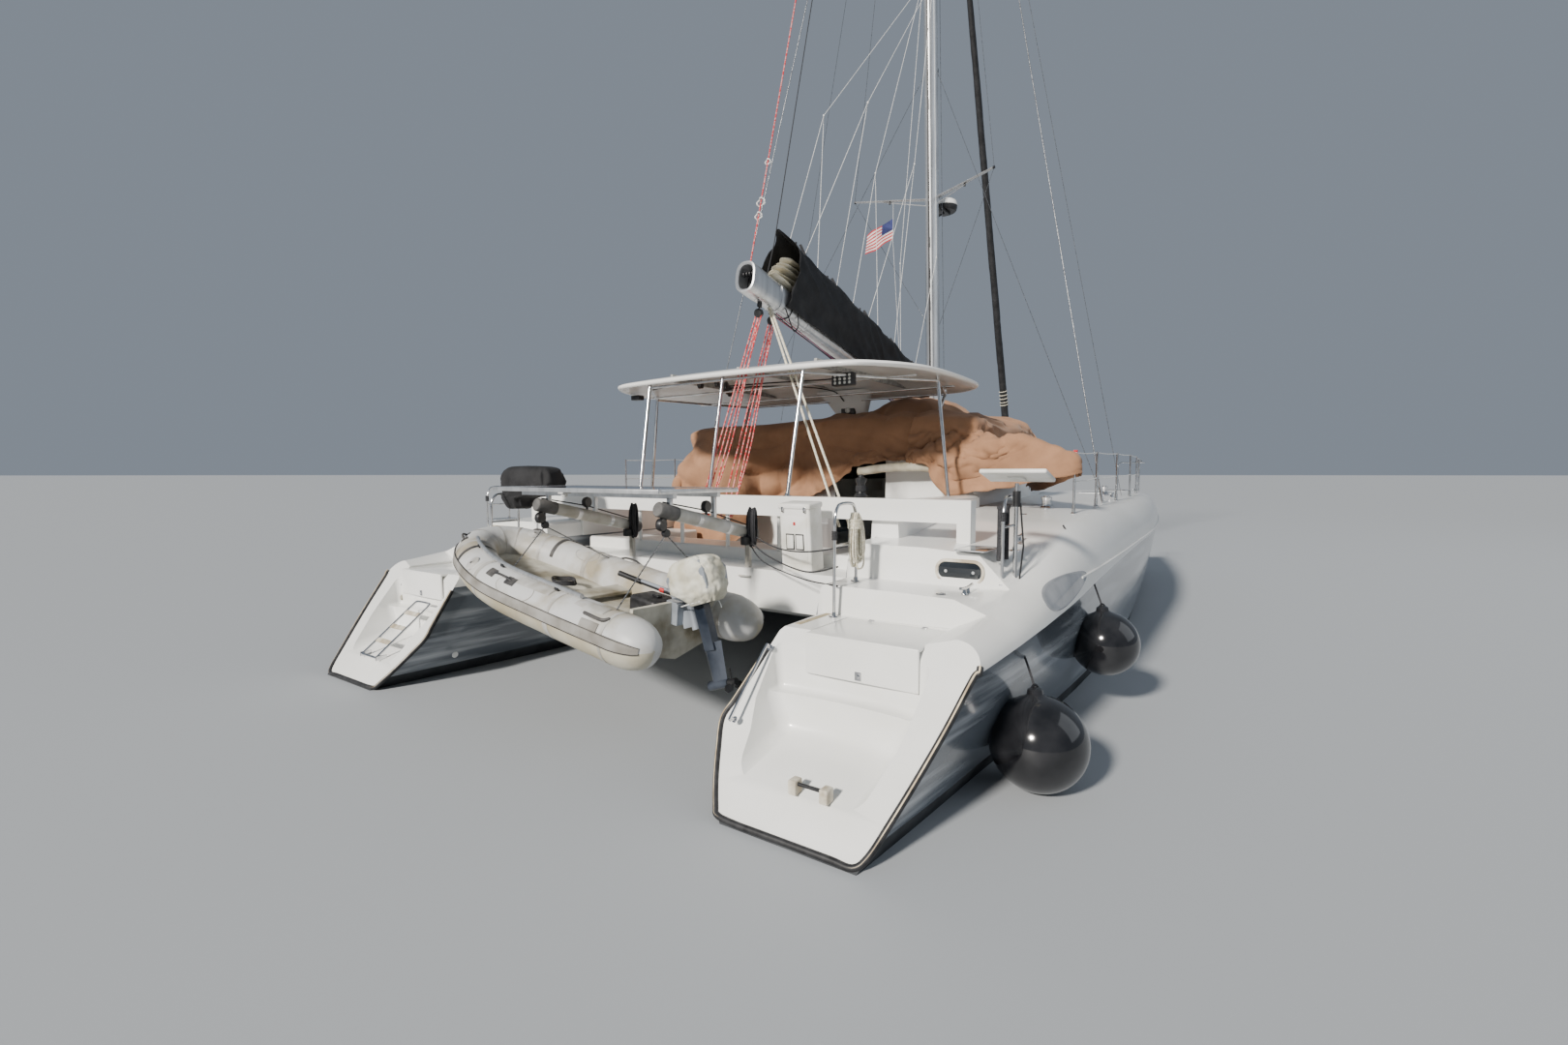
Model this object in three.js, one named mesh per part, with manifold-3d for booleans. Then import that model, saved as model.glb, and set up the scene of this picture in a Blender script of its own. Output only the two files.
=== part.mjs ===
import * as THREE from "three";
import { mergeVertices } from "three/addons/utils/BufferGeometryUtils.js";
import Module from "manifold-3d";

// A 14 metre cruising catamaran afloat, with its dinghy hoisted between the sterns.
// Millimetres. +X starboard, +Y bow, +Z up. The origin is on the waterline, amidships, on the centreline.

const wasm = await Module();
wasm.setup();

// Driving dimensions
const SEAM = 0.3; // between faces that touch
const WELD = 1e-3; // vertices closer than this are one
const HULL_X = 2800; // centre of each hull from the centreline
const TRANSOM_FOOT_Y = -7080; // where the raked transom meets the waterline
const TRANSOM_RAKE = 0.85; // the transom goes this far forward for each unit up
const SOLE_Z = 980; // cockpit and saloon sole
const AFT_DECK_Z = 1270; // deck between the sterns, behind the cockpit
const SADDLE_Z = 1840; // deck between the hulls, ahead of the saloon
const EAVE_Z = 2700; // top of the saloon walls
const MAST_FOOT = [0, 1850, 2905];
const MAST_HEAD = [0, 760, 20450];
const MAST_HALF_X = 110;
const MAST_HALF_Y = 150;
const GOOSENECK = [0, 1600, 3275]; // the boom swings about the vertical through this point
const BOOM_END = [485, -4490, 4230];
const PROP_HUB = [HULL_X, -4870, -830]; // starboard; the port one is its mirror image
const RUDDER_STOCK = [HULL_X, -5780]; // starboard stock, vertical
const LID_HINGE = [-5655, 1064]; // Y and Z of the transom lids' hinge line, along their forward top edge
const WHEEL_HUB = [-1450, -2840, 1780];
const OUTBOARD_PIVOT = [1160, -6105, 1120]; // the motor steers about its own leaning axis through this point
const OUTBOARD_TILT = 18; // degrees, the leg kicked out astern of the dinghy
const LADDER_HINGE = [-2640, -6916, 265]; // middle of the swim ladder's hinge line, at the port scoop's lip
const TENDER_STERN = [1083, -6120, 900]; // middle of the collar's open end
const TENDER_YAW = 5; // degrees, bow towards port and a little forward
const TENDER_PITCH = 6; // degrees, bow up

const lerp = THREE.MathUtils.lerp;
const radians = THREE.MathUtils.degToRad;

// A closed geometry as a solid, turned facing out.
function solid(geometry) {
  const loose = geometry.index ? geometry.toNonIndexed() : geometry;
  const bare = new THREE.BufferGeometry().setAttribute("position", loose.getAttribute("position"));
  const merged = mergeVertices(bare, WELD);
  const points = merged.attributes.position.array;
  const faces = new Uint32Array(merged.index.array);
  const corner = (i) => new THREE.Vector3().fromArray(points, faces[i] * 3);
  let volume = 0;
  for (let i = 0; i < faces.length; i += 3) {
    volume += corner(i).dot(corner(i + 1).cross(corner(i + 2)));
  }
  if (volume < 0) {
    for (let i = 0; i < faces.length; i += 3) {
      [faces[i + 1], faces[i + 2]] = [faces[i + 2], faces[i + 1]];
    }
  }
  return new wasm.Manifold(new wasm.Mesh({ numProp: 3, vertProperties: points, triVerts: faces }));
}

function geometryOf(body) {
  const mesh = body.getMesh();
  const geometry = new THREE.BufferGeometry();
  geometry.setAttribute("position", new THREE.BufferAttribute(new Float32Array(mesh.vertProperties), 3));
  geometry.setIndex(new THREE.BufferAttribute(new Uint32Array(mesh.triVerts), 1));
  geometry.computeVertexNormals();
  return geometry;
}

const join = (...bodies) => bodies.reduce((all, body) => all.add(body));
const cut = (body, ...tools) => tools.reduce((rest, tool) => rest.subtract(tool), body);

function moved(body, [x, y, z]) {
  return solid(geometryOf(body).translate(x, y, z));
}

function mirrored(body) {
  return solid(geometryOf(body).scale(-1, 1, 1));
}

// A body cut back from its neighbours, so that a seam is left along each of the given directions.
function seated(body, neighbours, directions) {
  const tools = [];
  for (const neighbour of neighbours) {
    tools.push(neighbour);
    for (const [x, y, z] of directions) tools.push(moved(neighbour, [x * SEAM, y * SEAM, z * SEAM]));
  }
  return cut(body, ...tools);
}

// The biggest of a body's loose pieces
const largest = (body) => body.decompose().sort((a, b) => b.volume() - a.volume())[0];

const UP = [[0, 0, 1]];
const DOWN = [[0, 0, -1]];
const AROUND = [[1, 0, 0], [-1, 0, 0], [0, 1, 0], [0, -1, 0], [0, 0, 1], [0, 0, -1]];

function block(x0, x1, y0, y1, z0, z1) {
  const box = new THREE.BoxGeometry(x1 - x0, y1 - y0, z1 - z0);
  return solid(box.translate((x0 + x1) / 2, (y0 + y1) / 2, (z0 + z1) / 2));
}

// An outline extruded along an axis. Its points are (y, z) along x, (x, z) along y and (x, y) along z.
function plate(axis, from, to, points) {
  const shape = new THREE.Shape(points.map(([u, v]) => new THREE.Vector2(u, v)));
  const geometry = new THREE.ExtrudeGeometry(shape, { depth: to - from, bevelEnabled: false });
  const [x, y, z] = [new THREE.Vector3(1, 0, 0), new THREE.Vector3(0, 1, 0), new THREE.Vector3(0, 0, 1)];
  if (axis === "x") geometry.translate(0, 0, from).applyMatrix4(new THREE.Matrix4().makeBasis(y, z, x));
  if (axis === "y") geometry.translate(0, 0, -to).applyMatrix4(new THREE.Matrix4().makeBasis(x, z, y.negate()));
  if (axis === "z") geometry.translate(0, 0, from);
  return solid(geometry);
}

// Rings of equal length, skinned one to the next, with a fan over each end.
function loft(rings) {
  const count = rings[0].length;
  const positions = [];
  const face = (...corners) => corners.forEach((corner) => positions.push(...corner));
  for (let i = 0; i + 1 < rings.length; i++) {
    for (let j = 0; j < count; j++) {
      const k = (j + 1) % count;
      face(rings[i][j], rings[i][k], rings[i + 1][k]);
      face(rings[i][j], rings[i + 1][k], rings[i + 1][j]);
    }
  }
  const middle = (ring) => [0, 1, 2].map((a) => ring.reduce((sum, p) => sum + p[a], 0) / count);
  const [first, last] = [rings[0], rings[rings.length - 1]];
  for (let j = 0; j < count; j++) {
    const k = (j + 1) % count;
    face(middle(first), first[k], first[j]);
    face(middle(last), last[j], last[k]);
  }
  const geometry = new THREE.BufferGeometry();
  geometry.setAttribute("position", new THREE.Float32BufferAttribute(positions, 3));
  return solid(geometry);
}

// A straight round bar between two points, with its own radius at each end.
function bar(from, to, radius, sides = 8, endRadius = radius) {
  const [a, b] = [new THREE.Vector3(...from), new THREE.Vector3(...to)];
  const along = b.clone().sub(a);
  const geometry = new THREE.CylinderGeometry(endRadius, radius, along.length(), sides);
  const turn = new THREE.Quaternion().setFromUnitVectors(new THREE.Vector3(0, 1, 0), along.normalize());
  geometry.applyQuaternion(turn).translate((a.x + b.x) / 2, (a.y + b.y) / 2, (a.z + b.z) / 2);
  return solid(geometry);
}

// A round tube along a smooth curve through the points.
function bent(points, radius, steps, sides = 8) {
  const stations = points.map((point) => new THREE.Vector3(...point));
  const path = new THREE.CatmullRomCurve3(stations, false, "catmullrom", 0.4);
  const ring = new THREE.Shape();
  for (let i = 0; i < sides; i++) {
    const turn = (2 * Math.PI * i) / sides;
    const [u, v] = [radius * Math.cos(turn), radius * Math.sin(turn)];
    if (i === 0) ring.moveTo(u, v);
    else ring.lineTo(u, v);
  }
  return solid(new THREE.ExtrudeGeometry(ring, { steps, extrudePath: path }));
}

function ball([x, y, z], radius, across = 14, up = 10) {
  return solid(new THREE.SphereGeometry(radius, across, up).rotateX(Math.PI / 2).translate(x, y, z));
}

// An outline running counterclockwise with each edge moved inwards: one distance, or one for each edge.
function inset(points, distances) {
  const distance = (i) => (Array.isArray(distances) ? distances[i] : distances);
  const edge = (i) => {
    const [from, to] = [points[i], points[(i + 1) % points.length]];
    const normal = new THREE.Vector2(from[1] - to[1], to[0] - from[0]).normalize();
    return { normal, reach: normal.x * from[0] + normal.y * from[1] + distance(i) };
  };
  return points.map((_, i) => {
    const [a, b] = [edge((i + points.length - 1) % points.length), edge(i)];
    const cross = a.normal.x * b.normal.y - a.normal.y * b.normal.x;
    const x = (a.reach * b.normal.y - b.reach * a.normal.y) / cross;
    const y = (b.reach * a.normal.x - a.reach * b.normal.x) / cross;
    return [x, y];
  });
}

// The right half of an outline, from aft to bow, and its mirror image back to the start.
function bothSides(half) {
  const left = half.filter(([x]) => x !== 0).map(([x, y]) => [-x, y]).reverse();
  return [...half, ...left];
}

const level = (points, z) => points.map(([x, y]) => [x, y, z]);

// A level oval, half a step round from its axes
function oval(x, y, halfX, halfY, z, count) {
  return Array.from({ length: count }, (_, i) => {
    const turn = (2 * Math.PI * (i + 0.5)) / count;
    return [x + halfX * Math.cos(turn), y + halfY * Math.sin(turn), z];
  });
}

// Materials
const paint = (color, roughness, metalness = 0) =>
  new THREE.MeshStandardMaterial({ color, roughness, metalness, flatShading: true });
const GELCOAT = paint(0xf1f1ee, 0.3);
const MOULDED = paint(0xe9e9e5, 0.5);
const ANTIFOUL = paint(0x1b1d20, 0.8);
const BRONZE = paint(0x8d7548, 0.4, 0.9);
const CAST = paint(0x7d8083, 0.6, 0.6);
const STAINLESS = paint(0xb9bcbf, 0.2, 1);
const ALLOY = paint(0xc6c8ca, 0.35, 0.9);
const GLASS = paint(0x222a30, 0.1);
const CANVAS = paint(0xa8795a, 0.9);
const SAILCLOTH = paint(0x16171a, 0.85);
const NETTING = paint(0x2b2c2e, 0.9);
const COLLAR_CLOTH = paint(0xb8bab8, 0.7);
const BLACK = paint(0x101113, 0.3);
const SOLAR = paint(0x1d2b44, 0.15);

const boat = new THREE.Group();

function add(name, body, material) {
  const mesh = new THREE.Mesh(geometryOf(body), material);
  mesh.name = name;
  boat.add(mesh);
}

// A starboard piece and its mirror image to port.
function addPair(name, body, material) {
  add(name + "_starboard", body, material);
  add(name + "_port", mirrored(body), material);
}

// Hulls
// Starboard sections: y, then outboard the x at the waterline, the knuckle's x and height and the deck edge's
// x and height, then the deck's height, and inboard the x of the deck edge, of the bulge and at the waterline,
// and last the keel line's height.
const SECTIONS = [
  [-7300, 3230, 3490, 930, 3370, 1030, 1058, 2170, 1990, 2300, -70],
  [-6700, 3280, 3560, 945, 3400, 1075, 1060, 2150, 1975, 2260, -120],
  [-6200, 3320, 3630, 975, 3430, 1120, 1062, 2130, 1965, 2220, -165],
  [-5622, 3360, 3690, 1020, 3450, 1190, 1064, 2110, 1960, 2180, -215],
  [-5600, 3361, 3692, 1022, 3450, 1195, 1290, 2110, 1960, 2180, -217],
  [-5122, 3400, 3730, 1060, 3460, 1300, 1294, 2090, 1960, 2140, -255],
  [-5100, 3401, 3732, 1062, 3460, 1305, 1580, 2090, 1960, 2140, -257],
  [-4300, 3455, 3770, 1120, 3455, 1540, 1600, 2075, 1960, 2110, -310],
  [-3500, 3510, 3790, 1190, 3450, 1690, 1700, 2065, 1965, 2080, -360],
  [-2500, 3550, 3800, 1250, 3455, 1765, 1780, 2055, 1970, 2060, -410],
  [-1000, 3560, 3800, 1310, 3470, 1795, 1815, 2050, 1975, 2060, -470],
  [700, 3500, 3785, 1350, 3460, 1820, 1845, 2055, 1980, 2090, -500],
  [2200, 3390, 3690, 1385, 3380, 1830, 1860, 2090, 2000, 2160, -485],
  [3600, 3260, 3540, 1410, 3260, 1830, 1865, 2180, 2070, 2260, -430],
  [5000, 3100, 3320, 1430, 3110, 1805, 1840, 2340, 2230, 2420, -330],
  [6100, 2950, 3090, 1440, 2970, 1770, 1795, 2530, 2440, 2590, -210],
  [6800, 2855, 2900, 1440, 2880, 1740, 1752, 2700, 2660, 2730, -90],
  [7100, 2815, 2822, 1440, 2825, 1722, 1728, 2778, 2775, 2785, -10],
];
const BULGE_IN_Z = 480;

function hullRing([y, wlOut, kneeOut, kneeZ, edgeOut, edgeOutZ, deckZ, edgeIn, bulgeIn, wlIn, keelZ]) {
  const middle = (wlOut + wlIn) / 2;
  const bilge = (to, across, down) => [lerp(middle, to, across), keelZ * down];
  const shoulder = [0.3, 0.6, 0.85, 1].map((part) => {
    const turn = (part * Math.PI) / 2;
    return [lerp(edgeOut, kneeOut, Math.cos(turn)), lerp(kneeZ, edgeOutZ, Math.sin(turn))];
  });
  const ring = [
    [middle, keelZ],
    bilge(wlOut, 0.45, 0.93),
    bilge(wlOut, 0.82, 0.58),
    [wlOut, 0],
    [lerp(wlOut, kneeOut, 0.62), kneeZ * 0.5],
    [kneeOut - 22, kneeZ - 20],
    [kneeOut, kneeZ],
    ...shoulder,
    [lerp(edgeOut, middle, 0.35), lerp(edgeOutZ, deckZ, 0.9)],
    [middle, deckZ],
    [edgeIn, deckZ],
    [lerp(edgeIn, bulgeIn, 0.45), lerp(deckZ, BULGE_IN_Z, 0.45)],
    [bulgeIn, BULGE_IN_Z],
    [lerp(wlIn, bulgeIn, 0.55), BULGE_IN_Z * 0.4],
    [wlIn, 0],
    bilge(wlIn, 0.82, 0.58),
    bilge(wlIn, 0.45, 0.93),
  ];
  return ring.map(([x, z]) => [x, y, z]);
}

// One column of the section table, between its rows.
function sectionAt(y, column) {
  const next = Math.max(1, SECTIONS.findIndex((row) => row[0] >= y));
  const [low, high] = [SECTIONS[next - 1], SECTIONS[next]];
  return lerp(low[column], high[column], (y - low[0]) / (high[0] - low[0]));
}
const EDGE_X = 4;
const EDGE_Z = 5;

const transomY = (z) => TRANSOM_FOOT_Y + TRANSOM_RAKE * z;
const hullBlank = cut(
  loft(SECTIONS.map(hullRing)),
  plate("x", 1500, 4200, [[-9000, -2000], [transomY(-2000), -2000], [transomY(2600), 2600], [-9000, 2600]]),
);
const blankPort = mirrored(hullBlank);
const hulls = [hullBlank, blankPort];

const SCOOP_FLOOR_Z = 370;
const STEP_Z = 630;
const STEP_NOSE_Y = -6360;
const LOCKER_FACE_Y = -6262;
const LID_THICK = 24;
const LID = { x0: 2390, x1: 3240, front: LID_HINGE[0], foot: 775 };

// The scoop's inside width at each height: z, inboard x, outboard x
const SCOOP_WIDTH = [[SCOOP_FLOOR_Z, 2270, 3160], [STEP_Z, 2170, 3290], [1400, 2110, 3390]];
const SCOOP_AFT_Y = -7900;
const FLOOR_SLOPE = 0.25; // the scoop's floor falls this much for each unit aft
function scoop(forward, from) {
  return loft(SCOOP_WIDTH.slice(from).map(([z, x0, x1]) => {
    const aft = z === SCOOP_FLOOR_Z ? z - FLOOR_SLOPE * (forward - SCOOP_AFT_Y) : z;
    return [[x0, SCOOP_AFT_Y, aft], [x1, SCOOP_AFT_Y, aft], [x1, forward, z], [x0, forward, z]];
  }));
}
const lidGap = 5;
const lidAcross = [LID.x0 - lidGap, LID.x1 + lidGap];
const lidRebate = join(
  block(...lidAcross, LOCKER_FACE_Y - 60, LID.front + lidGap, LID_HINGE[1] - LID_THICK - SEAM, 1200),
  block(...lidAcross, LOCKER_FACE_Y - 60, LOCKER_FACE_Y + LID_THICK + SEAM, LID.foot - lidGap, 1200),
);
const ENGINE_BAY = { x0: 2400, x1: 3200, y0: -6150, y1: -4380, z0: 150, z1: 960 };
const bay = join(
  block(ENGINE_BAY.x0, ENGINE_BAY.x1, ENGINE_BAY.y0, ENGINE_BAY.y1, ENGINE_BAY.z0, ENGINE_BAY.z1),
  block(LID.x0 + 60, LID.x1 - 60, ENGINE_BAY.y0, LID.front - 60, 900, 1200),
  block(LID.x0 + 60, LID.x1 - 60, LOCKER_FACE_Y - 60, ENGINE_BAY.y0 + 50, LID.foot + 40, 1200),
);
const STOCK_R = 30;
const stockHole = bar([...RUDDER_STOCK, -700], [...RUDDER_STOCK, 300], STOCK_R + 0.7, 24);
const hull = cut(hullBlank, scoop(STEP_NOSE_Y, 0), scoop(LOCKER_FACE_Y, 1), lidRebate, bay, stockHole);
add("hull_starboard", hull, GELCOAT);

// The swim ladder's two ears stand on the port lip, each beside an end of the hinge bar.
const [LADDER_X, LADDER_Y, LADDER_Z] = LADDER_HINGE;
const LADDER_HALF = 150; // from the ladder's middle to each rail
const LADDER_END = 162; // and to each end of its hinge bar
const EAR_T = 12;
const ears = [-1, 1].map((side) => {
  const faces = [LADDER_END + SEAM, LADDER_END + EAR_T].map((out) => LADDER_X + side * out);
  return plate("x", Math.min(...faces), Math.max(...faces), [
    [LADDER_Y - 14, LADDER_Z - 10], [LADDER_Y + 60, LADDER_Z - 60], [LADDER_Y + 140, LADDER_Z - 40],
    [LADDER_Y + 140, LADDER_Z + 25], [LADDER_Y, LADDER_Z + 22], [LADDER_Y - 14, LADDER_Z + 12],
  ]);
});
add("hull_port", join(mirrored(hull), ...ears), GELCOAT);

const lid = join(
  block(LID.x0, LID.x1, LOCKER_FACE_Y, LID.front, LID_HINGE[1] - LID_THICK, LID_HINGE[1]),
  block(LID.x0, LID.x1, LOCKER_FACE_Y, LOCKER_FACE_Y + LID_THICK, LID.foot, LID_HINGE[1]),
  block(2790, 2830, LOCKER_FACE_Y - 14, LOCKER_FACE_Y + 5, 790, 850),
);
addPair("transom_lid", lid, MOULDED);

addPair("engine", block(2520, 3080, -5500, -4560, ENGINE_BAY.z0 + SEAM, 800), CAST);

// Underwater gear
// A symmetrical foil in plan: share of the chord from the leading edge, share of the half thickness
const FOIL = [[0, 0], [0.03, 0.4], [0.15, 0.85], [0.35, 1], [0.7, 0.6], [1, 0.04]];
function foil(x, y, z, chord, halfThick) {
  const side = (sign) => FOIL.map(([along, thick]) => [x + sign * thick * halfThick, y - along * chord, z]);
  return [...side(1), ...side(-1).slice(1).reverse()];
}
// Keel sections: leading edge y, z, chord, half thickness
const KEEL = [[1500, -300, 3100, 130], [1400, -700, 2900, 130], [1150, -1350, 2350, 105]];
const keel = loft(KEEL.map((row) => foil(HULL_X, ...row)));
addPair("keel", seated(keel, [hullBlank], DOWN), ANTIFOUL);

const rudderBlade = loft([
  foil(HULL_X, RUDDER_STOCK[1] + 150, -320, 520, 36),
  foil(HULL_X, RUDDER_STOCK[1] + 130, -800, 470, 32),
  foil(HULL_X, RUDDER_STOCK[1] + 90, -1180, 380, 22),
]);
const stock = bar([...RUDDER_STOCK, -420], [...RUDDER_STOCK, 330], STOCK_R, 24);
addPair("rudder", join(rudderBlade, stock), ANTIFOUL);

const [, HUB_Y, HUB_Z] = PROP_HUB;
const DRIVE_Y = -4480;
const DRIVE_NOSE = 60; // from the middle of the propeller's hub to the face behind it
const drive = join(
  loft([foil(HULL_X, DRIVE_Y + 190, -200, 380, 55), foil(HULL_X, DRIVE_Y + 150, HUB_Z, 320, 45)]),
  bar([HULL_X, HUB_Y + DRIVE_NOSE, HUB_Z], [HULL_X, DRIVE_Y + 150, HUB_Z], 62, 12, 40),
  loft([foil(HULL_X, DRIVE_Y + 60, HUB_Z, 220, 26), foil(HULL_X, DRIVE_Y + 20, HUB_Z - 190, 150, 12)]),
);
addPair("saildrive", seated(drive, [hullBlank], DOWN), CAST);

// A propeller about the Y axis, its hub from y0 forward to y1
function propeller([x, y, z], hubRadius, tipRadius, y0, y1, blades) {
  const parts = [bar([x, y0, z], [x, y1, z], hubRadius, 12, hubRadius * 0.95)];
  for (let i = 0; i < blades; i++) {
    const blade = (radius, chord, pitch) => {
      const [c, s] = [(chord / 2) * Math.cos(pitch), (chord / 2) * Math.sin(pitch)];
      return [[-c, -s - 5, radius], [c, s - 5, radius], [c, s + 5, radius], [-c, 5 - s, radius]];
    };
    const rings = [
      blade(hubRadius * 0.6, tipRadius * 0.28, 0.9),
      blade(tipRadius * 0.6, tipRadius * 0.62, 0.6),
      blade(tipRadius, tipRadius * 0.3, 0.4),
    ];
    const turn = new THREE.Matrix4().makeRotationY((2 * Math.PI * i) / blades).setPosition(x, y, z);
    parts.push(solid(geometryOf(loft(rings)).applyMatrix4(turn)));
  }
  return join(...parts);
}
addPair("propeller", propeller(PROP_HUB, 52, 220, HUB_Y - 70, HUB_Y + DRIVE_NOSE - SEAM, 3), BRONZE);

// Bridge deck between the hulls
const bridge = seated(
  plate("x", -2600, 2600, [
    [-5080, 900], [-5080, AFT_DECK_Z], [-4620, AFT_DECK_Z],
    [-4620, SOLE_Z], [2250, SOLE_Z], [2250, SADDLE_Z],
    [3380, SADDLE_Z], [3470, SADDLE_Z - 60], [3470, 1450], [3000, 1000], [2300, 800], [-4700, 780],
  ]),
  hulls,
  AROUND,
);
const bridgeBody = largest(bridge);
add("bridge_deck", bridgeBody, GELCOAT);

// Saloon walls, roof, glass and door. Half outlines are x, y from aft to bow.
const WALL_FOOT = bothSides([[2240, -2300], [2240, 0], [2080, 1500], [1450, 2650], [0, 2900]]);
const LEAN = [0.1, 0.1, 0.45, 0.6, 0.6, 0.45, 0.1, 0.1, 0]; // inwards for each unit up, one for each edge
const WALL = 60;
const WALL_FOOT_Z = 1600;
const GLASS_T = 8;
const BULKHEAD_Y = -2300;
function wallOutline(inwards, z) {
  const distances = LEAN.map((lean) => lean * (z - WALL_FOOT_Z) + inwards);
  return level(inset(WALL_FOOT, distances), z);
}
const wallShell = cut(
  loft([wallOutline(0, WALL_FOOT_Z), wallOutline(0, EAVE_Z)]),
  loft([wallOutline(WALL, WALL_FOOT_Z - 10), wallOutline(WALL, EAVE_Z + 10)]),
);
const DOOR = { x0: 300, x1: 1050, top: 2560 };
const DOOR_OPEN = 760; // the door stands slid this far to port
const TRACK_Z = [DOOR.top + 36, DOOR.top + 70];
const bulkhead = join(
  block(-1900, 1900, BULKHEAD_Y, BULKHEAD_Y + WALL, SOLE_Z + SEAM, EAVE_Z),
  plate("y", BULKHEAD_Y, BULKHEAD_Y + WALL, [[-2200, 1600], [2200, 1600], [2130, EAVE_Z], [-2130, EAVE_Z]]),
  block(-620, 1120, BULKHEAD_Y - 56, BULKHEAD_Y + 10, ...TRACK_Z),
);
// Window openings in the side walls and the front: lowest and highest coordinate, then the two heights
const SIDE_WINDOWS = [[-1950, -700], [-560, 500], [640, 1400]];
const FRONT_WINDOWS = [[-1080, -420], [-330, 330], [420, 1080]];
const WINDOW_Z = [2120, 2560];
const openings = [
  ...SIDE_WINDOWS.map(([y0, y1]) => block(-2600, 2600, y0, y1, ...WINDOW_Z)),
  ...FRONT_WINDOWS.map(([x0, x1]) => block(x0, x1, 1900, 3000, ...WINDOW_Z)),
  block(DOOR.x0, DOOR.x1, BULKHEAD_Y - 100, BULKHEAD_Y + 100, SOLE_Z + 60, DOOR.top),
  block(-1850, -420, BULKHEAD_Y - 100, BULKHEAD_Y + 100, 1900, 2500),
];
const walls = seated(cut(join(wallShell, bulkhead), ...openings), [...hulls, bridgeBody], UP);
const wallsBody = largest(walls);
add("saloon_walls", wallsBody, GELCOAT);

const glassBand = cut(
  loft([wallOutline(WALL + SEAM, 2080), wallOutline(WALL + SEAM, 2620)]),
  loft([wallOutline(WALL + SEAM + GLASS_T, 2070), wallOutline(WALL + SEAM + GLASS_T, 2630)]),
  block(-2600, 2600, -2400, -2100, 1900, 2900),
);
add("saloon_windows", glassBand, GLASS);

const ROOF_EDGE = wallOutline(-70, EAVE_Z).map(([x, y]) => [x, y]);
// The roof's rings: inset of its edge, height
const ROOF = [[0, EAVE_Z + SEAM], [0, 2755], [70, 2815], [260, 2860], [900, 2895]];
const roofRings = ROOF.map(([inwards, z]) => level(inset(ROOF_EDGE, inwards), z));
const roof = join(loft(roofRings), block(-140, 140, 1690, 2010, 2800, MAST_FOOT[2] - SEAM));
add("coachroof", roof, GELCOAT);

const [doorLeft, doorRight] = [DOOR.x0 - 40 - DOOR_OPEN, DOOR.x1 + 40 - DOOR_OPEN];
const doorPanel = cut(
  block(doorLeft, doorRight, BULKHEAD_Y - 36, BULKHEAD_Y - 6, SOLE_Z + 8, TRACK_Z[0] - SEAM),
  block(doorLeft + 110, doorRight - 110, BULKHEAD_Y - 60, BULKHEAD_Y - 16, 1500, DOOR.top - 90),
);
add("saloon_door", doorPanel, ALLOY);

// Cockpit
const seats = join(
  block(-1900, 1900, -4619.7, -4100, SOLE_Z + SEAM, 1400),
  block(1400, 1900, -4200, -2700, SOLE_Z + SEAM, 1400),
  block(-1900, -1400, -4200, -3150, SOLE_Z + SEAM, 1400),
);
add("cockpit_seats", seats, MOULDED);

const BEAM_Z = [1750, 1950];
const COAMING = [[2030, 2330, 1400], [2060, 2300, 1900], [2100, 2260, 1925]]; // inner x, outer x, height
const coaming = join(
  block(-3000, 3000, -4665, -4535, ...BEAM_Z),
  ...[1, -1].flatMap((side) => [
    loft(COAMING.map(([x0, x1, z]) => [
      [side * x0, -4600, z], [side * x1, -4600, z],
      [side * x1, BULKHEAD_Y - 80, z], [side * x0, BULKHEAD_Y - 80, z],
    ])),
    block(side > 0 ? 2880 : -3000, side > 0 ? 3000 : -2880, -4665, -4535, 1400, 1800),
    bar([side * 1000, -4600, 1200], [side * 1000, -4600, 1800], 22),
    bar([side * 330, -4600, 1200], [side * 330, -4600, 1800], 22),
  ]),
);
add("cockpit_coaming", seated(coaming, [...hulls, bridgeBody, seats], [[0, 0, 1], [0, -1, 0]]), GELCOAT);

const [WHEEL_X, WHEEL_Y, WHEEL_Z] = WHEEL_HUB;
const WHEEL_R = 360;
const console = join(
  plate("x", WHEEL_X - 260, WHEEL_X + 260, [
    [-2650, SOLE_Z + SEAM], [-2700, 1850], [-2620, 1990], [-2310, 2060], [-2310, SOLE_Z + SEAM],
  ]),
  bar([WHEEL_X, -2640, WHEEL_Z], [WHEEL_X, WHEEL_Y + 41, WHEEL_Z], 45, 12),
);
add("helm_console", console, MOULDED);
const rim = new THREE.TorusGeometry(WHEEL_R, 14, 6, 32).rotateX(Math.PI / 2).translate(...WHEEL_HUB);
const wheel = join(
  solid(rim),
  bar([WHEEL_X, WHEEL_Y - 30, WHEEL_Z], [WHEEL_X, WHEEL_Y + 40.7, WHEEL_Z], 38, 12),
  ...[0, 1, 2, 3, 4].map((i) => {
    const turn = (i * 2 * Math.PI) / 5;
    const end = [WHEEL_X + WHEEL_R * Math.cos(turn), WHEEL_Y, WHEEL_Z + WHEEL_R * Math.sin(turn)];
    return bar(WHEEL_HUB, end, 8, 6);
  }),
);
add("steering_wheel", wheel, STAINLESS);

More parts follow.
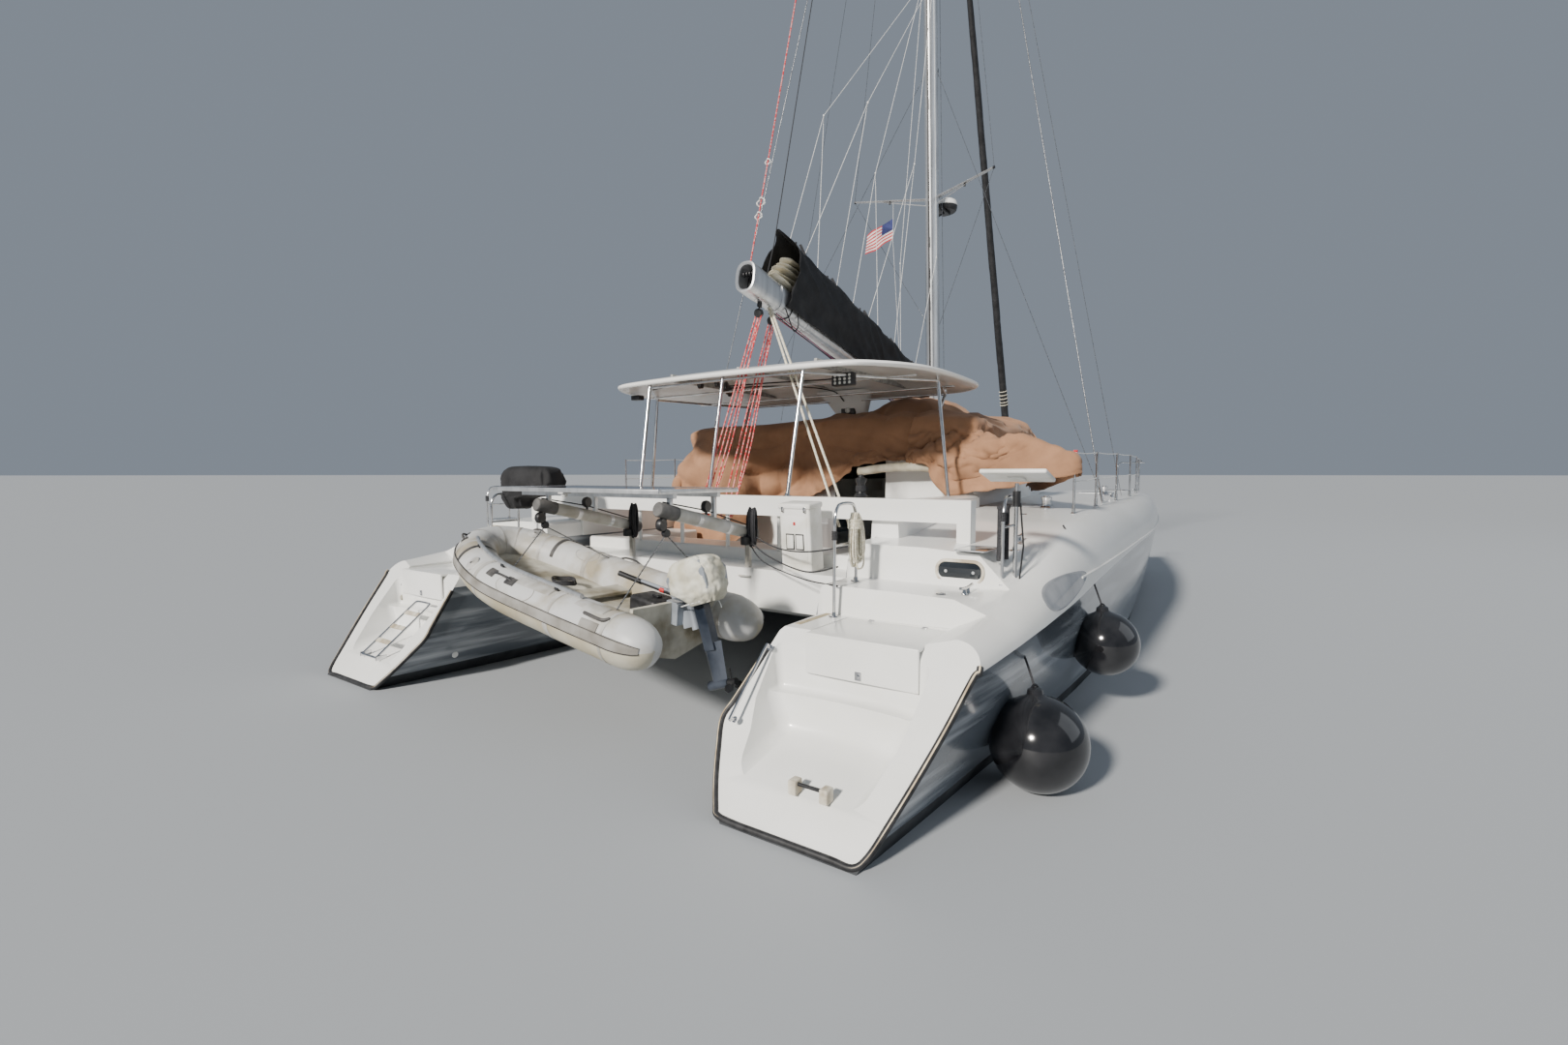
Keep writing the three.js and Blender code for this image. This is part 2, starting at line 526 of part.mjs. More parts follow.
// Bimini: a hard top on a frame of tubes
const BIMINI_EDGE = bothSides([
  [1500, -4330], [1900, -4060], [2120, -3600], [2175, -3000],
  [2120, -2000], [1900, -1600], [1500, -1440], [0, -1400],
]).concat([[0, -4420]]);
const BIMINI_MIDDLE_Y = -2900;
const BIMINI = [[1, 3235], [1.006, 3262], [1, 3285], [0.77, 3370], [0.45, 3425]]; // share of the outline, height
const BIMINI_SHELL = 38;
const BIMINI_LIP = 0.03; // the rim under the edge, as a share of the outline
function biminiRing(share, z) {
  return BIMINI_EDGE.map(([x, y]) => [x * share, BIMINI_MIDDLE_Y + (y - BIMINI_MIDDLE_Y) * share, z]);
}
const biminiHollow = BIMINI.slice(2).map(([share, z]) => biminiRing(share - BIMINI_LIP, z - BIMINI_SHELL));
const biminiTop = cut(
  loft(BIMINI.map((row) => biminiRing(...row))),
  loft([biminiRing(1 - BIMINI_LIP, 3200), ...biminiHollow]),
);
add("bimini_top", biminiTop, GELCOAT);

// Posts: foot x, y, z, then head x, y. The heads meet the rail under the hard top.
const RAIL_Z = 3205;
const POSTS = [
  [2140, -2920, 1700, 2000, -2950],
  [1100, -4600, 1800, 1150, -4170],
  [70, -4600, 1800, 70, -4260],
  [-1000, -4600, 1800, -1150, -4170],
  [-2140, -3300, 1700, -2000, -3300],
  [-1550, -1900, 2600, -1600, -1700],
  [1550, -1900, 2600, 1600, -1700],
];
const RAIL = POSTS.map(([, , , x, y]) => [x, y, RAIL_Z]);
const POST_R = 20;
const rawFrame = join(
  ...POSTS.map(([x, y, z, headX, headY]) => bar([x, y, z], [headX, headY, RAIL_Z + 12], POST_R, 6)),
  ...RAIL.map(([x, y]) => bar([x, y, RAIL_Z - 16], [x, y, RAIL_Z + 80], POST_R, 6)),
  ...RAIL.map((point, i) => bar(point, RAIL[(i + 1) % RAIL.length], 16, 6)),
  ...[-2400, -3500].map((y) => bar([-1985, y, RAIL_Z], [1985, y, RAIL_Z], 14, 6)),
);
const frame = seated(rawFrame, [...hulls, bridgeBody, roof, coaming, biminiTop], AROUND);
add("bimini_frame", largest(frame), STAINLESS);

// Canvas cover over the coachroof, with a fold over the helm
const COVER_T = 12;
const COVER_FOOT_Z = 1960;
const SKIRT = 60; // the cover hangs this far off the walls at its foot
const coverRings = (out, foot) => [
  wallOutline(-out - SKIRT, foot),
  level(inset(ROOF_EDGE, -out), EAVE_Z),
  ...ROOF.slice(1).map(([inwards, z]) => level(inset(ROOF_EDGE, inwards - out), z + out)),
];
// The fold over the helm: port x, starboard x, aft y, height
const HELM_TENT = [[-1960, -880, -3020, 2300], [-1900, -950, -2400, 2640]];
function helmTent(out, foot) {
  const rows = [[-1990, -850, -3060, foot - out], ...HELM_TENT];
  return loft(rows.map(([port, starboard, aft, z]) => {
    const [x0, x1, y] = [port - out, starboard + out, aft - out];
    return level([[x0, y], [x1, y], [x1, BULKHEAD_Y + 100], [x0, BULKHEAD_Y + 100]], z + out);
  }));
}
// The cover stands up over gear on the roof: half width and length about its middle, height
const HUMP_AT = [930, -900];
const HUMP = [[640, 900, 2820], [520, 700, 3060], [330, 420, 3200], [150, 200, 3240]];
const hump = loft(HUMP.map(([halfX, halfY, z]) => oval(...HUMP_AT, halfX, halfY, z, 12)));
const ENTRY = { x0: 0, x1: 1900, top: 2640 }; // the cover is rolled up over the saloon door
const cover = cut(
  join(loft(coverRings(COVER_T + SEAM, COVER_FOOT_Z)), helmTent(COVER_T, 1420), hump),
  loft(coverRings(SEAM, COVER_FOOT_Z - 60)),
  helmTent(0, 1300),
  block(ENTRY.x0, ENTRY.x1, -2600, BULKHEAD_Y + 30, 1500, ENTRY.top),
  bar([0, 1850, 2700], [0, 1850, 3100], 240, 16),
  ...POSTS.map(([x, y, z, headX, headY]) => bar([x, y, z], [headX, headY, RAIL_Z], POST_R + 12, 6)),
);
add("canvas_cover", largest(seated(cover, [wallsBody], AROUND)), CANVAS);

// Mast, spreaders and radar
const mastPoint = (z) => {
  const part = (z - MAST_FOOT[2]) / (MAST_HEAD[2] - MAST_FOOT[2]);
  return [0, lerp(MAST_FOOT[1], MAST_HEAD[1], part), z];
};
const mastRing = (z, grow = 0) => {
  const [x, y] = mastPoint(z);
  return oval(x, y, MAST_HALF_X + grow, MAST_HALF_Y + grow, z, 16);
};
const mast = loft([mastRing(MAST_FOOT[2]), mastRing(MAST_HEAD[2])]);
add("mast", mast, ALLOY);
const SPREADER_Z = 7080;
const SPREADER_TIP = [1270, 1060, SPREADER_Z + 40];
const spreaderRoot = mastPoint(SPREADER_Z);
const collar = cut(
  loft([mastRing(SPREADER_Z - 70, 26), mastRing(SPREADER_Z + 70, 26)]),
  loft([mastRing(SPREADER_Z - 90, SEAM), mastRing(SPREADER_Z + 90, SEAM)]),
);
const mastSleeve = loft([mastRing(SPREADER_Z - 900, SEAM), mastRing(SPREADER_Z + 900, SEAM)]);
const arms = [1, -1].flatMap((side) => [
  bar(spreaderRoot, [side * SPREADER_TIP[0], SPREADER_TIP[1], SPREADER_TIP[2]], 34, 8, 22),
  bar([side * 115, spreaderRoot[1] + 30, SPREADER_Z], [side * 560, 1340, SPREADER_Z + 12], 12, 6),
]);
add("spreaders", join(collar, cut(join(...arms), mastSleeve)), ALLOY);

const RADAR_Z = 7080;
const radarAt = [40, mastPoint(RADAR_Z)[1] + 520, RADAR_Z - 80];
// The dome's profile: radius, height
const DOME = [[0, 0], [190, 0], [215, 40], [225, 110], [200, 180], [120, 215], [0, 222]];
const dome = new THREE.LatheGeometry(DOME.map((point) => new THREE.Vector2(...point)), 20);
const radar = join(
  solid(dome.rotateX(Math.PI / 2).translate(...radarAt)),
  cut(block(-60, 60, mastPoint(RADAR_Z)[1], radarAt[1] + 60, RADAR_Z - 130, RADAR_Z - 76), mastSleeve),
);
add("radar", radar, MOULDED);

// Standing rigging: a shroud each side, and the forestay with the furled headsail
const SHROUD_FOOT = [3400, -900];
const SHROUD_TOP_Z = 18000;
const shroudFootZ = 1700;
const shroud = join(
  bar([...SHROUD_FOOT, shroudFootZ + 60], [MAST_HALF_X - 30, mastPoint(SHROUD_TOP_Z)[1], SHROUD_TOP_Z], 9, 6),
  bar([...SHROUD_FOOT, shroudFootZ], [3340, -870, 2100], 17, 8),
);
addPair("shroud", seated(shroud, [hullBlank, mast], [[0, 0, 1], [1, 0, 0]]), STAINLESS);

const FORESTAY = { foot: [0, 6850, 1800], head: [0, 990, 17700] };
const stayPoint = (part) => FORESTAY.foot.map((value, i) => lerp(value, FORESTAY.head[i], part));
// A body turned about the stay: part of the stay's length, radius
function aboutStay(profile, sides) {
  const [from, to] = [new THREE.Vector3(...stayPoint(0)), new THREE.Vector3(...stayPoint(1))];
  const along = to.sub(from);
  const outline = [[profile[0][0], 0], ...profile, [profile[profile.length - 1][0], 0]];
  const line = outline.map(([part, radius]) => new THREE.Vector2(radius, part * along.length()));
  const lathe = new THREE.LatheGeometry(line, sides);
  const turn = new THREE.Quaternion().setFromUnitVectors(new THREE.Vector3(0, 1, 0), along.clone().normalize());
  return solid(lathe.applyQuaternion(turn).translate(...FORESTAY.foot));
}
const HEADSAIL = [[0.022, 14], [0.03, 40], [0.05, 82], [0.5, 64], [0.95, 26], [0.97, 10], [1, 10]];
const headsail = aboutStay(HEADSAIL, 8);
add("headsail_furled", seated(headsail, [mast], [[0, 1, 0]]), SAILCLOTH);
const DRUM = [
  [0, 24], [0.004, 30], [0.004, 100], [0.0055, 100], [0.0055, 34], [0.0105, 34],
  [0.0105, 100], [0.012, 100], [0.012, 30], [0.02198, 30],
];
const drum = aboutStay(DRUM, 16);
add("furler_drum", drum, ALLOY);

// Foredeck: crossbeam with its striker, the longeron with the anchor, and the net
const BEAM_Y = 6850;
const crossbeam = seated(
  join(
    bar([-2900, BEAM_Y - 50, 1600], [2900, BEAM_Y - 50, 1600], 90, 12),
    block(-60, 60, BEAM_Y - 90, BEAM_Y + 60, 1600, FORESTAY.foot[2]),
  ),
  [...hulls, drum],
  AROUND,
);
const crossbeamBody = largest(crossbeam);
add("crossbeam", crossbeamBody, ALLOY);
const longeron = seated(block(-90, 90, 3400, BEAM_Y, 1520, 1640), [bridgeBody, crossbeamBody], AROUND);
add("longeron", largest(longeron), ALLOY);
const net = seated(
  plate("z", 1640 + SEAM, 1652, bothSides([[2600, 3300], [2600, BEAM_Y - 60]])),
  [...hulls, bridgeBody, crossbeamBody],
  AROUND,
);
add("trampoline", largest(net), NETTING);
const anchor = join(
  block(120, 150, 5900, 6900, 1655, 1720),
  plate("x", 60, 210, [[6870, 1655], [6980, 1340], [7100, 1300], [7040, 1520], [6930, 1720], [6870, 1720]]),
);
add("anchor", largest(seated(anchor, [crossbeamBody], AROUND)), CAST);

// Guard rails: stanchions, two wires and the pulpit in one piece
const STANCHIONS = [-2640, -1500, -100, 1400, 2900, 4400];
const railAt = (y, height) => [sectionAt(y, EDGE_X) - 60, y, sectionAt(y, EDGE_Z) + height];
const RAIL_TOP = 640;
const RAIL_MID = 330;
const PULPIT_Y = 5650;
const tops = [...STANCHIONS, PULPIT_Y];
const guard = join(
  ...STANCHIONS.map((y) => bar(railAt(y, -60), railAt(y, RAIL_TOP), 13, 6)),
  ...[RAIL_TOP - 12, RAIL_MID].flatMap((height) =>
    tops.slice(1).map((y, i) => bar(railAt(tops[i], height), railAt(y, height), 5, 5)),
  ),
  bent([
    railAt(PULPIT_Y, -60), railAt(PULPIT_Y, 500), railAt(PULPIT_Y + 150, RAIL_TOP), [2960, 6500, 2420],
    [2800, 6900, 2430],
    [2660, 6500, 2420], [2600, 5900, 2420], [2560, 5700, 2330], [2560, 5680, 1700],
  ], 14, 24, 6),
  bar([2800, 6600, 1650], [2800, 6890, 2425], 12, 6),
);
addPair("guard_rail", largest(seated(guard, [hullBlank], UP)), STAINLESS);

// A hoop with one foot at each end: x, aft y, forward y, then the heights of its feet and its top
function hoop(x, aft, forward, foot, top) {
  const points = [
    [aft, foot], [aft, top - 130], [aft + 70, top], [forward - 80, top], [forward, top - 130], [forward, foot],
  ];
  return largest(seated(bent(points.map(([y, z]) => [x, y, z]), 13, 16, 6), [hullBlank], UP));
}
addPair("stern_rail_inboard", hoop(2290, -5690, -5350, 1000, 1930), STAINLESS);
const outerRail = hoop(3390, -5060, -4750, 1100, 1990);
addPair("stern_rail_outboard", outerRail, STAINLESS);

// Dinghy: an inflatable collar round a rigid floor, with an outboard on its transom
const tenderFrame = new THREE.Matrix4()
  .makeTranslation(...TENDER_STERN)
  .multiply(new THREE.Matrix4().makeRotationZ(radians(180 - TENDER_YAW)))
  .multiply(new THREE.Matrix4().makeRotationY(radians(-TENDER_PITCH)));
const inTender = (body) => solid(geometryOf(body).applyMatrix4(tenderFrame));
const TUBE_R = 205;
const TUBE_OUT = 575; // from the dinghy's centreline to the middle of each tube
const sidePath = [
  [40, TUBE_OUT, 0], [900, TUBE_OUT, 0], [1900, TUBE_OUT - 10, 20], [2600, TUBE_OUT - 130, 90], [2980, 240, 150],
];
const tenderPath = [...sidePath, [3080, 0, 170], ...sidePath.map(([x, y, z]) => [x, -y, z]).reverse()];
const collarTube = join(
  bent(tenderPath, TUBE_R, 26, 12),
  ...[1, -1].map((side) => bar([60, side * TUBE_OUT, 0], [-330, side * TUBE_OUT, -5], TUBE_R, 12, 70)),
);
const floor = loft([
  [[60, -470, -60], [60, 470, -60], [60, 330, -200], [60, 0, -290], [60, -330, -200]],
  [[1600, -470, -50], [1600, 470, -50], [1600, 330, -200], [1600, 0, -310], [1600, -330, -200]],
  [[2500, -330, 40], [2500, 330, 40], [2500, 240, -110], [2500, 0, -240], [2500, -240, -110]],
  [[2950, -60, 110], [2950, 60, 110], [2950, 40, 20], [2950, 0, -40], [2950, -40, 20]],
]);
const TRANSOM_U = [60, 100]; // faces of the dinghy's transom, from the collar's open end
const TRANSOM_TOP = 210;
const tenderTransom = block(...TRANSOM_U, -470, 470, -200, TRANSOM_TOP);
add("tender_collar", inTender(collarTube), COLLAR_CLOTH);
const tenderHull = seated(join(floor, tenderTransom), [collarTube], AROUND);
add("tender_hull", inTender(largest(tenderHull)), MOULDED);

// Davits with the solar panel on them. From each, a bridle goes down to both tubes of the dinghy.
const DAVIT_X = [-670, 940];
const BRIDLE_TOP = [-6150, 1840]; // y and z
const bridleFoot = (x, side) => {
  const along = (TENDER_STERN[0] - x) / Math.cos(radians(TENDER_YAW));
  return new THREE.Vector3(along, side * TUBE_OUT, 0).applyMatrix4(tenderFrame).toArray();
};
const davits = join(
  ...DAVIT_X.flatMap((x) => [
    bar([x, -4950, 1590], [x, -6230, 1880], 60, 12),
    block(x - 25, x + 25, -5060, -5010, 1200, 1640),
    block(x - 20, x + 20, -5560, -5520, 1700, 2000),
    block(x - 20, x + 20, -6120, -6080, 1840, 2000),
    ...[-1, 1].map((side) => bar([x, ...BRIDLE_TOP], bridleFoot(x, side), 6, 6)),
  ]),
  block(DAVIT_X[0] - 400, DAVIT_X[1] + 60, -5560, -5520, 1965, 2005),
  block(DAVIT_X[0] - 400, DAVIT_X[1] + 60, -6120, -6080, 1965, 2005),
);
add("davits", largest(seated(davits, [bridgeBody, inTender(collarTube)], UP)), ALLOY);
const PANEL = bothSides([[1090, -520], [1150, -460], [1150, 460], [1090, 520]]);
const panelAt = PANEL.map(([x, y]) => [x - 150, y - 5775]);
add("solar_panel", plate("z", 2005 + SEAM, 2045, panelAt), SOLAR);

// The motor is drawn upright about its steering axis, then leant. x runs astern of the dinghy.
const outboardFrame = new THREE.Matrix4()
  .makeTranslation(...OUTBOARD_PIVOT)
  .multiply(new THREE.Matrix4().makeRotationY(radians(-OUTBOARD_TILT)));
const outboard = (body) => solid(geometryOf(body).applyMatrix4(outboardFrame));
const LEG_X = 110;
const GEARCASE_Z = -700;
const swivel = join(bar([0, 0, -230], [0, 0, -30], 34, 16), block(-110, 0, -28, 28, -200, -60));
const hook = join(
  block(-15, TRANSOM_U[0] - SEAM, -75, 75, 30, TRANSOM_TOP),
  block(0, TRANSOM_U[1] + 25, -75, 75, TRANSOM_TOP, TRANSOM_TOP + 8),
  block(TRANSOM_U[1] + SEAM, TRANSOM_U[1] + 25, -75, 75, 110, TRANSOM_TOP + 8),
);
const tenderBodies = [inTender(tenderHull), inTender(collarTube)];
add("outboard_clamp", seated(join(outboard(swivel), inTender(hook)), tenderBodies, AROUND), BLACK);
const LEG = [foil(0, 0, 0, 150, 22), foil(0, 0, 340, 190, 30)];
const motor = join(
  block(LEG_X - 45, LEG_X + 60, -40, 40, -420, 60),
  loft(LEG.map((ring) => ring.map(([x, y, z]) => [LEG_X - 70 - y, x, z + GEARCASE_Z]))),
  bar([0, 0, -30 + SEAM], [0, 0, 40], 34, 16),
  block(0, LEG_X, -30, 30, -24, 40),
  loft([[100, 80, 10], [170, 130, 60], [180, 140, 210], [130, 110, 300]].map(([u, v, z]) => [
    [LEG_X - u, -v, z], [LEG_X + u + 60, -v, z], [LEG_X + u + 60, v, z], [LEG_X - u, v, z],
  ])),
  bar([0, 0, 30], [-640, -80, 400], 19, 8),
  bar([LEG_X - 110, 0, GEARCASE_Z], [LEG_X + 90, 0, GEARCASE_Z], 40, 12, 34),
);
add("outboard_motor", outboard(motor), CAST);
const motorBlades = geometryOf(propeller([0, 0, 0], 30, 110, -40, 40, 3)).rotateZ(Math.PI / 2);
add("outboard_propeller", outboard(solid(motorBlades.translate(LEG_X + 131, 0, GEARCASE_Z))), CAST);

// Swim ladder folded into the port scoop
const LADDER_RISE = 0.8; // the folded ladder slopes up this much for each unit forward
const LADDER_RUN = 590;
const ladderAt = (x, along) => [x, LADDER_Y + along, LADDER_Z + LADDER_RISE * along];
const ladder = join(
  ...[-1, 1].map((side) => {
    const x = LADDER_X + side * LADDER_HALF;
    return bar(ladderAt(x, 0), ladderAt(x, LADDER_RUN), 12, 6);
  }),
  ...[0.24, 0.5, 0.76, 0.98].map((part) => {
    const along = part * LADDER_RUN;
    return bar(ladderAt(LADDER_X - LADDER_HALF, along), ladderAt(LADDER_X + LADDER_HALF, along), 13, 6);
  }),
  bar([LADDER_X - LADDER_END, LADDER_Y, LADDER_Z], [LADDER_X + LADDER_END, LADDER_Y, LADDER_Z], 12, 12),
);
add("swim_ladder", ladder, STAINLESS);

// Loose gear that stays aboard
const FENDERS = [[3790, -5480, 330, 330], [3880, -3560, 640, 290]];
FENDERS.forEach(([x, y, z, radius], i) => {
  const fender = seated(ball([x, y, z], radius, 20, 14), [hullBlank], [[1, 0, 0]]);
  add("fender_" + (i + 1), fender, BLACK);
});
const BOX = { wide: 330, deep: 220, high: 640, lean: radians(5) };
const boxLift = (BOX.high / 2) * Math.cos(BOX.lean) + (BOX.deep / 2) * Math.sin(BOX.lean) + SEAM;
const locker = new THREE.BoxGeometry(BOX.wide, BOX.deep, BOX.high).rotateX(-BOX.lean)
  .translate(1480, -4890, AFT_DECK_Z + boxLift);
add("storage_box", seated(solid(locker), [bridgeBody], UP), MOULDED);
const aerial = join(
  bar([3440, -4900, 1200], [3440, -4900, 2140], 16),
  solid(new THREE.BoxGeometry(500, 300, 40).rotateX(radians(-14)).translate(3440, -4900, 2160)),
);
add("aerial_panel", largest(seated(aerial, [hullBlank, outerRail], AROUND)), MOULDED);

// Boom with the stowed mainsail in its bag
const boomAim = new THREE.Vector3(...BOOM_END).sub(new THREE.Vector3(...GOOSENECK));
const BOOM_LENGTH = boomAim.length();
const boomX = new THREE.Vector3().crossVectors(boomAim, new THREE.Vector3(0, 0, 1)).normalize();
const boomUp = new THREE.Vector3().crossVectors(boomX, boomAim).normalize();
const boomFrame = new THREE.Matrix4().makeBasis(boomX, boomAim.normalize(), boomUp).setPosition(...GOOSENECK);
const onBoom = (body) => solid(geometryOf(body).applyMatrix4(boomFrame));
// The boom's section: half width, half height, and the height of its straight sides
const BOOM_HALF = [115, 160, 100];
const boomCorners = [[1, -1], [1, 1], [-1, 1], [-1, -1]];
const boomOutline = boomCorners.flatMap(([right, up], i) => {
  const [x, z, side] = BOOM_HALF;
  const [flank, face] = [[right * x, up * side], [right * x * 0.6, up * z]];
  return i % 2 ? [flank, face] : [face, flank];
});
const boom = join(
  plate("y", 150, BOOM_LENGTH, boomOutline),
  block(-26, 26, 0, 160, -24, 24),
);
const KNUCKLE = 45; // half the height of the boom's knuckle between the bracket's cheeks
const [, PIN_Y, PIN_Z] = GOOSENECK;
const knuckle = bar([0, PIN_Y, PIN_Z - KNUCKLE], [0, PIN_Y, PIN_Z + KNUCKLE], 30, 16);
add("boom", join(onBoom(boom), knuckle), ALLOY);
const mastBracket = seated(
  join(
    block(-38, 38, PIN_Y - 36, 1800, PIN_Z + KNUCKLE + SEAM, PIN_Z + 90),
    block(-38, 38, PIN_Y - 36, 1800, PIN_Z - 90, PIN_Z - KNUCKLE - SEAM),
    block(-38, 38, PIN_Y + 50, 1800, PIN_Z - 90, PIN_Z + 90),
  ),
  [mast],
  [[0, -1, 0]],
);
add("gooseneck", largest(mastBracket), ALLOY);
// The bag: distance along the boom, half width, height above the boom's top
const BAG = [
  [420, 120, 300], [1200, 190, 420], [3200, 210, 520], [4700, 215, 560], [5500, 200, 620], [5560, 160, 640],
];
const bag = loft(BAG.map(([along, half, high]) => {
  const [foot, shoulder, ridge] = [BOOM_HALF[1] + SEAM, BOOM_HALF[1] + high * 0.7, BOOM_HALF[1] + high];
  return [
    [-half * 0.7, along, foot], [half * 0.7, along, foot], [half, along, foot + 100], [half * 0.75, along, shoulder],
    [0, along, ridge], [-half * 0.75, along, shoulder], [-half, along, foot + 100],
  ];
}));
add("sail_bag", onBoom(bag), SAILCLOTH);

export default boat;
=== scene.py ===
import math
import random

import bmesh
import bpy
from mathutils import Matrix, Vector, noise
from mathutils.bvhtree import BVHTree


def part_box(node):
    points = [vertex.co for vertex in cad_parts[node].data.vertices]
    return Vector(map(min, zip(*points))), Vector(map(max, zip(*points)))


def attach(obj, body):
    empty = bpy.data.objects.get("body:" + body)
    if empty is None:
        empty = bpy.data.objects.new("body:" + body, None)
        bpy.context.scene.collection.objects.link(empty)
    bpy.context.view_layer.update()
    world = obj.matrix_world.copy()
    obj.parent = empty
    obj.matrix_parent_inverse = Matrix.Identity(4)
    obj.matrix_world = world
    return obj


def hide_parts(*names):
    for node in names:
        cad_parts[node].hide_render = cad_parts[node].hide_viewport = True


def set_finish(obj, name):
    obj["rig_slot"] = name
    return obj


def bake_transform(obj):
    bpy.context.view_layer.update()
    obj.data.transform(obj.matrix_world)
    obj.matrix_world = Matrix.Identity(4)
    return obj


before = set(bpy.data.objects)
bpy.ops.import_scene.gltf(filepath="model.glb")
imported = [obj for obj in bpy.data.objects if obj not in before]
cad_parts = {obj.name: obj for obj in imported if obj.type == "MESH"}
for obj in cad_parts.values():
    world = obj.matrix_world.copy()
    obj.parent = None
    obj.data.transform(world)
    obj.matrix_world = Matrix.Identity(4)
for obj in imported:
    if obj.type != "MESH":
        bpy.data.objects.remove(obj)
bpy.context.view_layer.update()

# The photographer's place: a standing person on the pontoon at the starboard quarter, with a very wide lens,
# looking forward across both sterns.
EYE = Vector((4.93, -10.2, 2.17))
LOOK_DOWN = 4.09
LOOK_TO_PORT = 34.65
LENS_MM = 15.56
camera = bpy.data.cameras.new("camera")
camera.lens = LENS_MM
camera.sensor_width = 36
camera.clip_end = 2000
eye = bpy.data.objects.new("camera", camera)
eye.location = EYE
eye.rotation_euler = (math.radians(90 - LOOK_DOWN), 0, math.radians(LOOK_TO_PORT))
bpy.context.scene.collection.objects.link(eye)
bpy.context.scene.camera = eye

# A plain pale floor at the waterline, a pale sky round it, and soft lamps: the key comes from astern as the
# low sun does on the boat.
KEY_AT = Vector((-2.0, -28.0, 15.5))
FILL_AT = Vector((26.0, 6.0, 16.0))
FLOOR_HALF = 1500


def node_material(name, color, roughness, metallic=0.0):
    """A new principled material: the material, its node tree and its shader."""
    material = bpy.data.materials.new(name)
    material.use_nodes = True
    tree = material.node_tree
    shader = tree.nodes["Principled BSDF"]
    shader.inputs["Base Color"].default_value = (*color, 1)
    shader.inputs["Roughness"].default_value = roughness
    shader.inputs["Metallic"].default_value = metallic
    return material, tree, shader


def lamp(name, place, size, watts, color):
    light = bpy.data.lights.new(name, "AREA")
    light.size = size
    light.energy = watts
    light.color = color
    obj = bpy.data.objects.new(name, light)
    obj.location = place
    obj.rotation_euler = (Vector((0, -2, 1)) - place).to_track_quat("-Z", "Y").to_euler()
    bpy.context.scene.collection.objects.link(obj)


key = bpy.data.lights.new("key", "SUN")
key.energy = 6.2
key.angle = math.radians(6)
key.color = (1.0, 0.95, 0.88)
key_lamp = bpy.data.objects.new("key", key)
key_lamp.rotation_euler = (-KEY_AT).to_track_quat("-Z", "Y").to_euler()
bpy.context.scene.collection.objects.link(key_lamp)
lamp("fill", FILL_AT, 22, 1200, (0.9, 0.95, 1.0))
world = bpy.data.worlds.new("sky")
world.use_nodes = True
world.node_tree.nodes["Background"].inputs["Color"].default_value = (0.66, 0.76, 0.9, 1)
world.node_tree.nodes["Background"].inputs["Strength"].default_value = 0.34
bpy.context.scene.world = world
floor_bm = bmesh.new()
bmesh.ops.create_grid(floor_bm, x_segments=1, y_segments=1, size=FLOOR_HALF)
floor_mesh = bpy.data.meshes.new("floor")
floor_bm.to_mesh(floor_mesh)
floor_bm.free()
floor_mesh.materials.append(node_material("floor_pale", (0.4, 0.42, 0.44), 0.7)[0])
floor = bpy.data.objects.new("floor", floor_mesh)
bpy.context.scene.collection.objects.link(floor)

# The two hulls: glass fibre, white above the chine and glossy slate below it, with an open scoop in each raked
# stern. Each is skinned over its sections, cut off along the transom and hollowed with rounded tools.
HULL_X = 2.8
TRANSOM_FOOT_Y = -7.08
TRANSOM_RAKE = 0.85
# y; outboard x at the waterline and at the chine, chine height, deck edge x and height; deck height;
# inboard x of the deck edge, of the bulge and at the waterline; keel height
SECTIONS = [
    (-7.300, 3.230, 3.490, 0.930, 3.370, 1.030, 1.058, 2.170, 1.990, 2.300, -0.070),
    (-6.700, 3.280, 3.560, 0.945, 3.400, 1.075, 1.060, 2.150, 1.975, 2.260, -0.120),
    (-6.200, 3.320, 3.630, 0.975, 3.430, 1.120, 1.062, 2.130, 1.965, 2.220, -0.165),
    (-5.622, 3.360, 3.690, 1.020, 3.450, 1.190, 1.064, 2.110, 1.960, 2.180, -0.215),
    (-5.600, 3.361, 3.692, 1.022, 3.450, 1.195, 1.290, 2.110, 1.960, 2.180, -0.217),
    (-5.122, 3.400, 3.730, 1.060, 3.460, 1.300, 1.294, 2.090, 1.960, 2.140, -0.255),
    (-5.100, 3.401, 3.732, 1.062, 3.460, 1.305, 1.580, 2.090, 1.960, 2.140, -0.257),
    (-4.300, 3.455, 3.770, 1.120, 3.455, 1.540, 1.600, 2.075, 1.960, 2.110, -0.310),
    (-3.500, 3.510, 3.790, 1.190, 3.450, 1.690, 1.700, 2.065, 1.965, 2.080, -0.360),
    (-2.500, 3.550, 3.800, 1.250, 3.455, 1.765, 1.780, 2.055, 1.970, 2.060, -0.410),
    (-1.000, 3.560, 3.800, 1.310, 3.470, 1.795, 1.815, 2.050, 1.975, 2.060, -0.470),
    (0.700, 3.500, 3.785, 1.350, 3.460, 1.820, 1.845, 2.055, 1.980, 2.090, -0.500),
    (2.200, 3.390, 3.690, 1.385, 3.380, 1.830, 1.860, 2.090, 2.000, 2.160, -0.485),
    (3.600, 3.260, 3.540, 1.410, 3.260, 1.830, 1.865, 2.180, 2.070, 2.260, -0.430),
    (5.000, 3.100, 3.320, 1.430, 3.110, 1.805, 1.840, 2.340, 2.230, 2.420, -0.330),
    (6.100, 2.950, 3.090, 1.440, 2.970, 1.770, 1.795, 2.530, 2.440, 2.590, -0.210),
    (6.800, 2.855, 2.900, 1.440, 2.880, 1.740, 1.752, 2.700, 2.660, 2.730, -0.090),
    (7.100, 2.815, 2.822, 1.440, 2.825, 1.722, 1.728, 2.778, 2.775, 2.785, -0.010),
]
DECK_COLUMN = 6
BULGE_Z = 0.48
STATION_STEP = 0.24
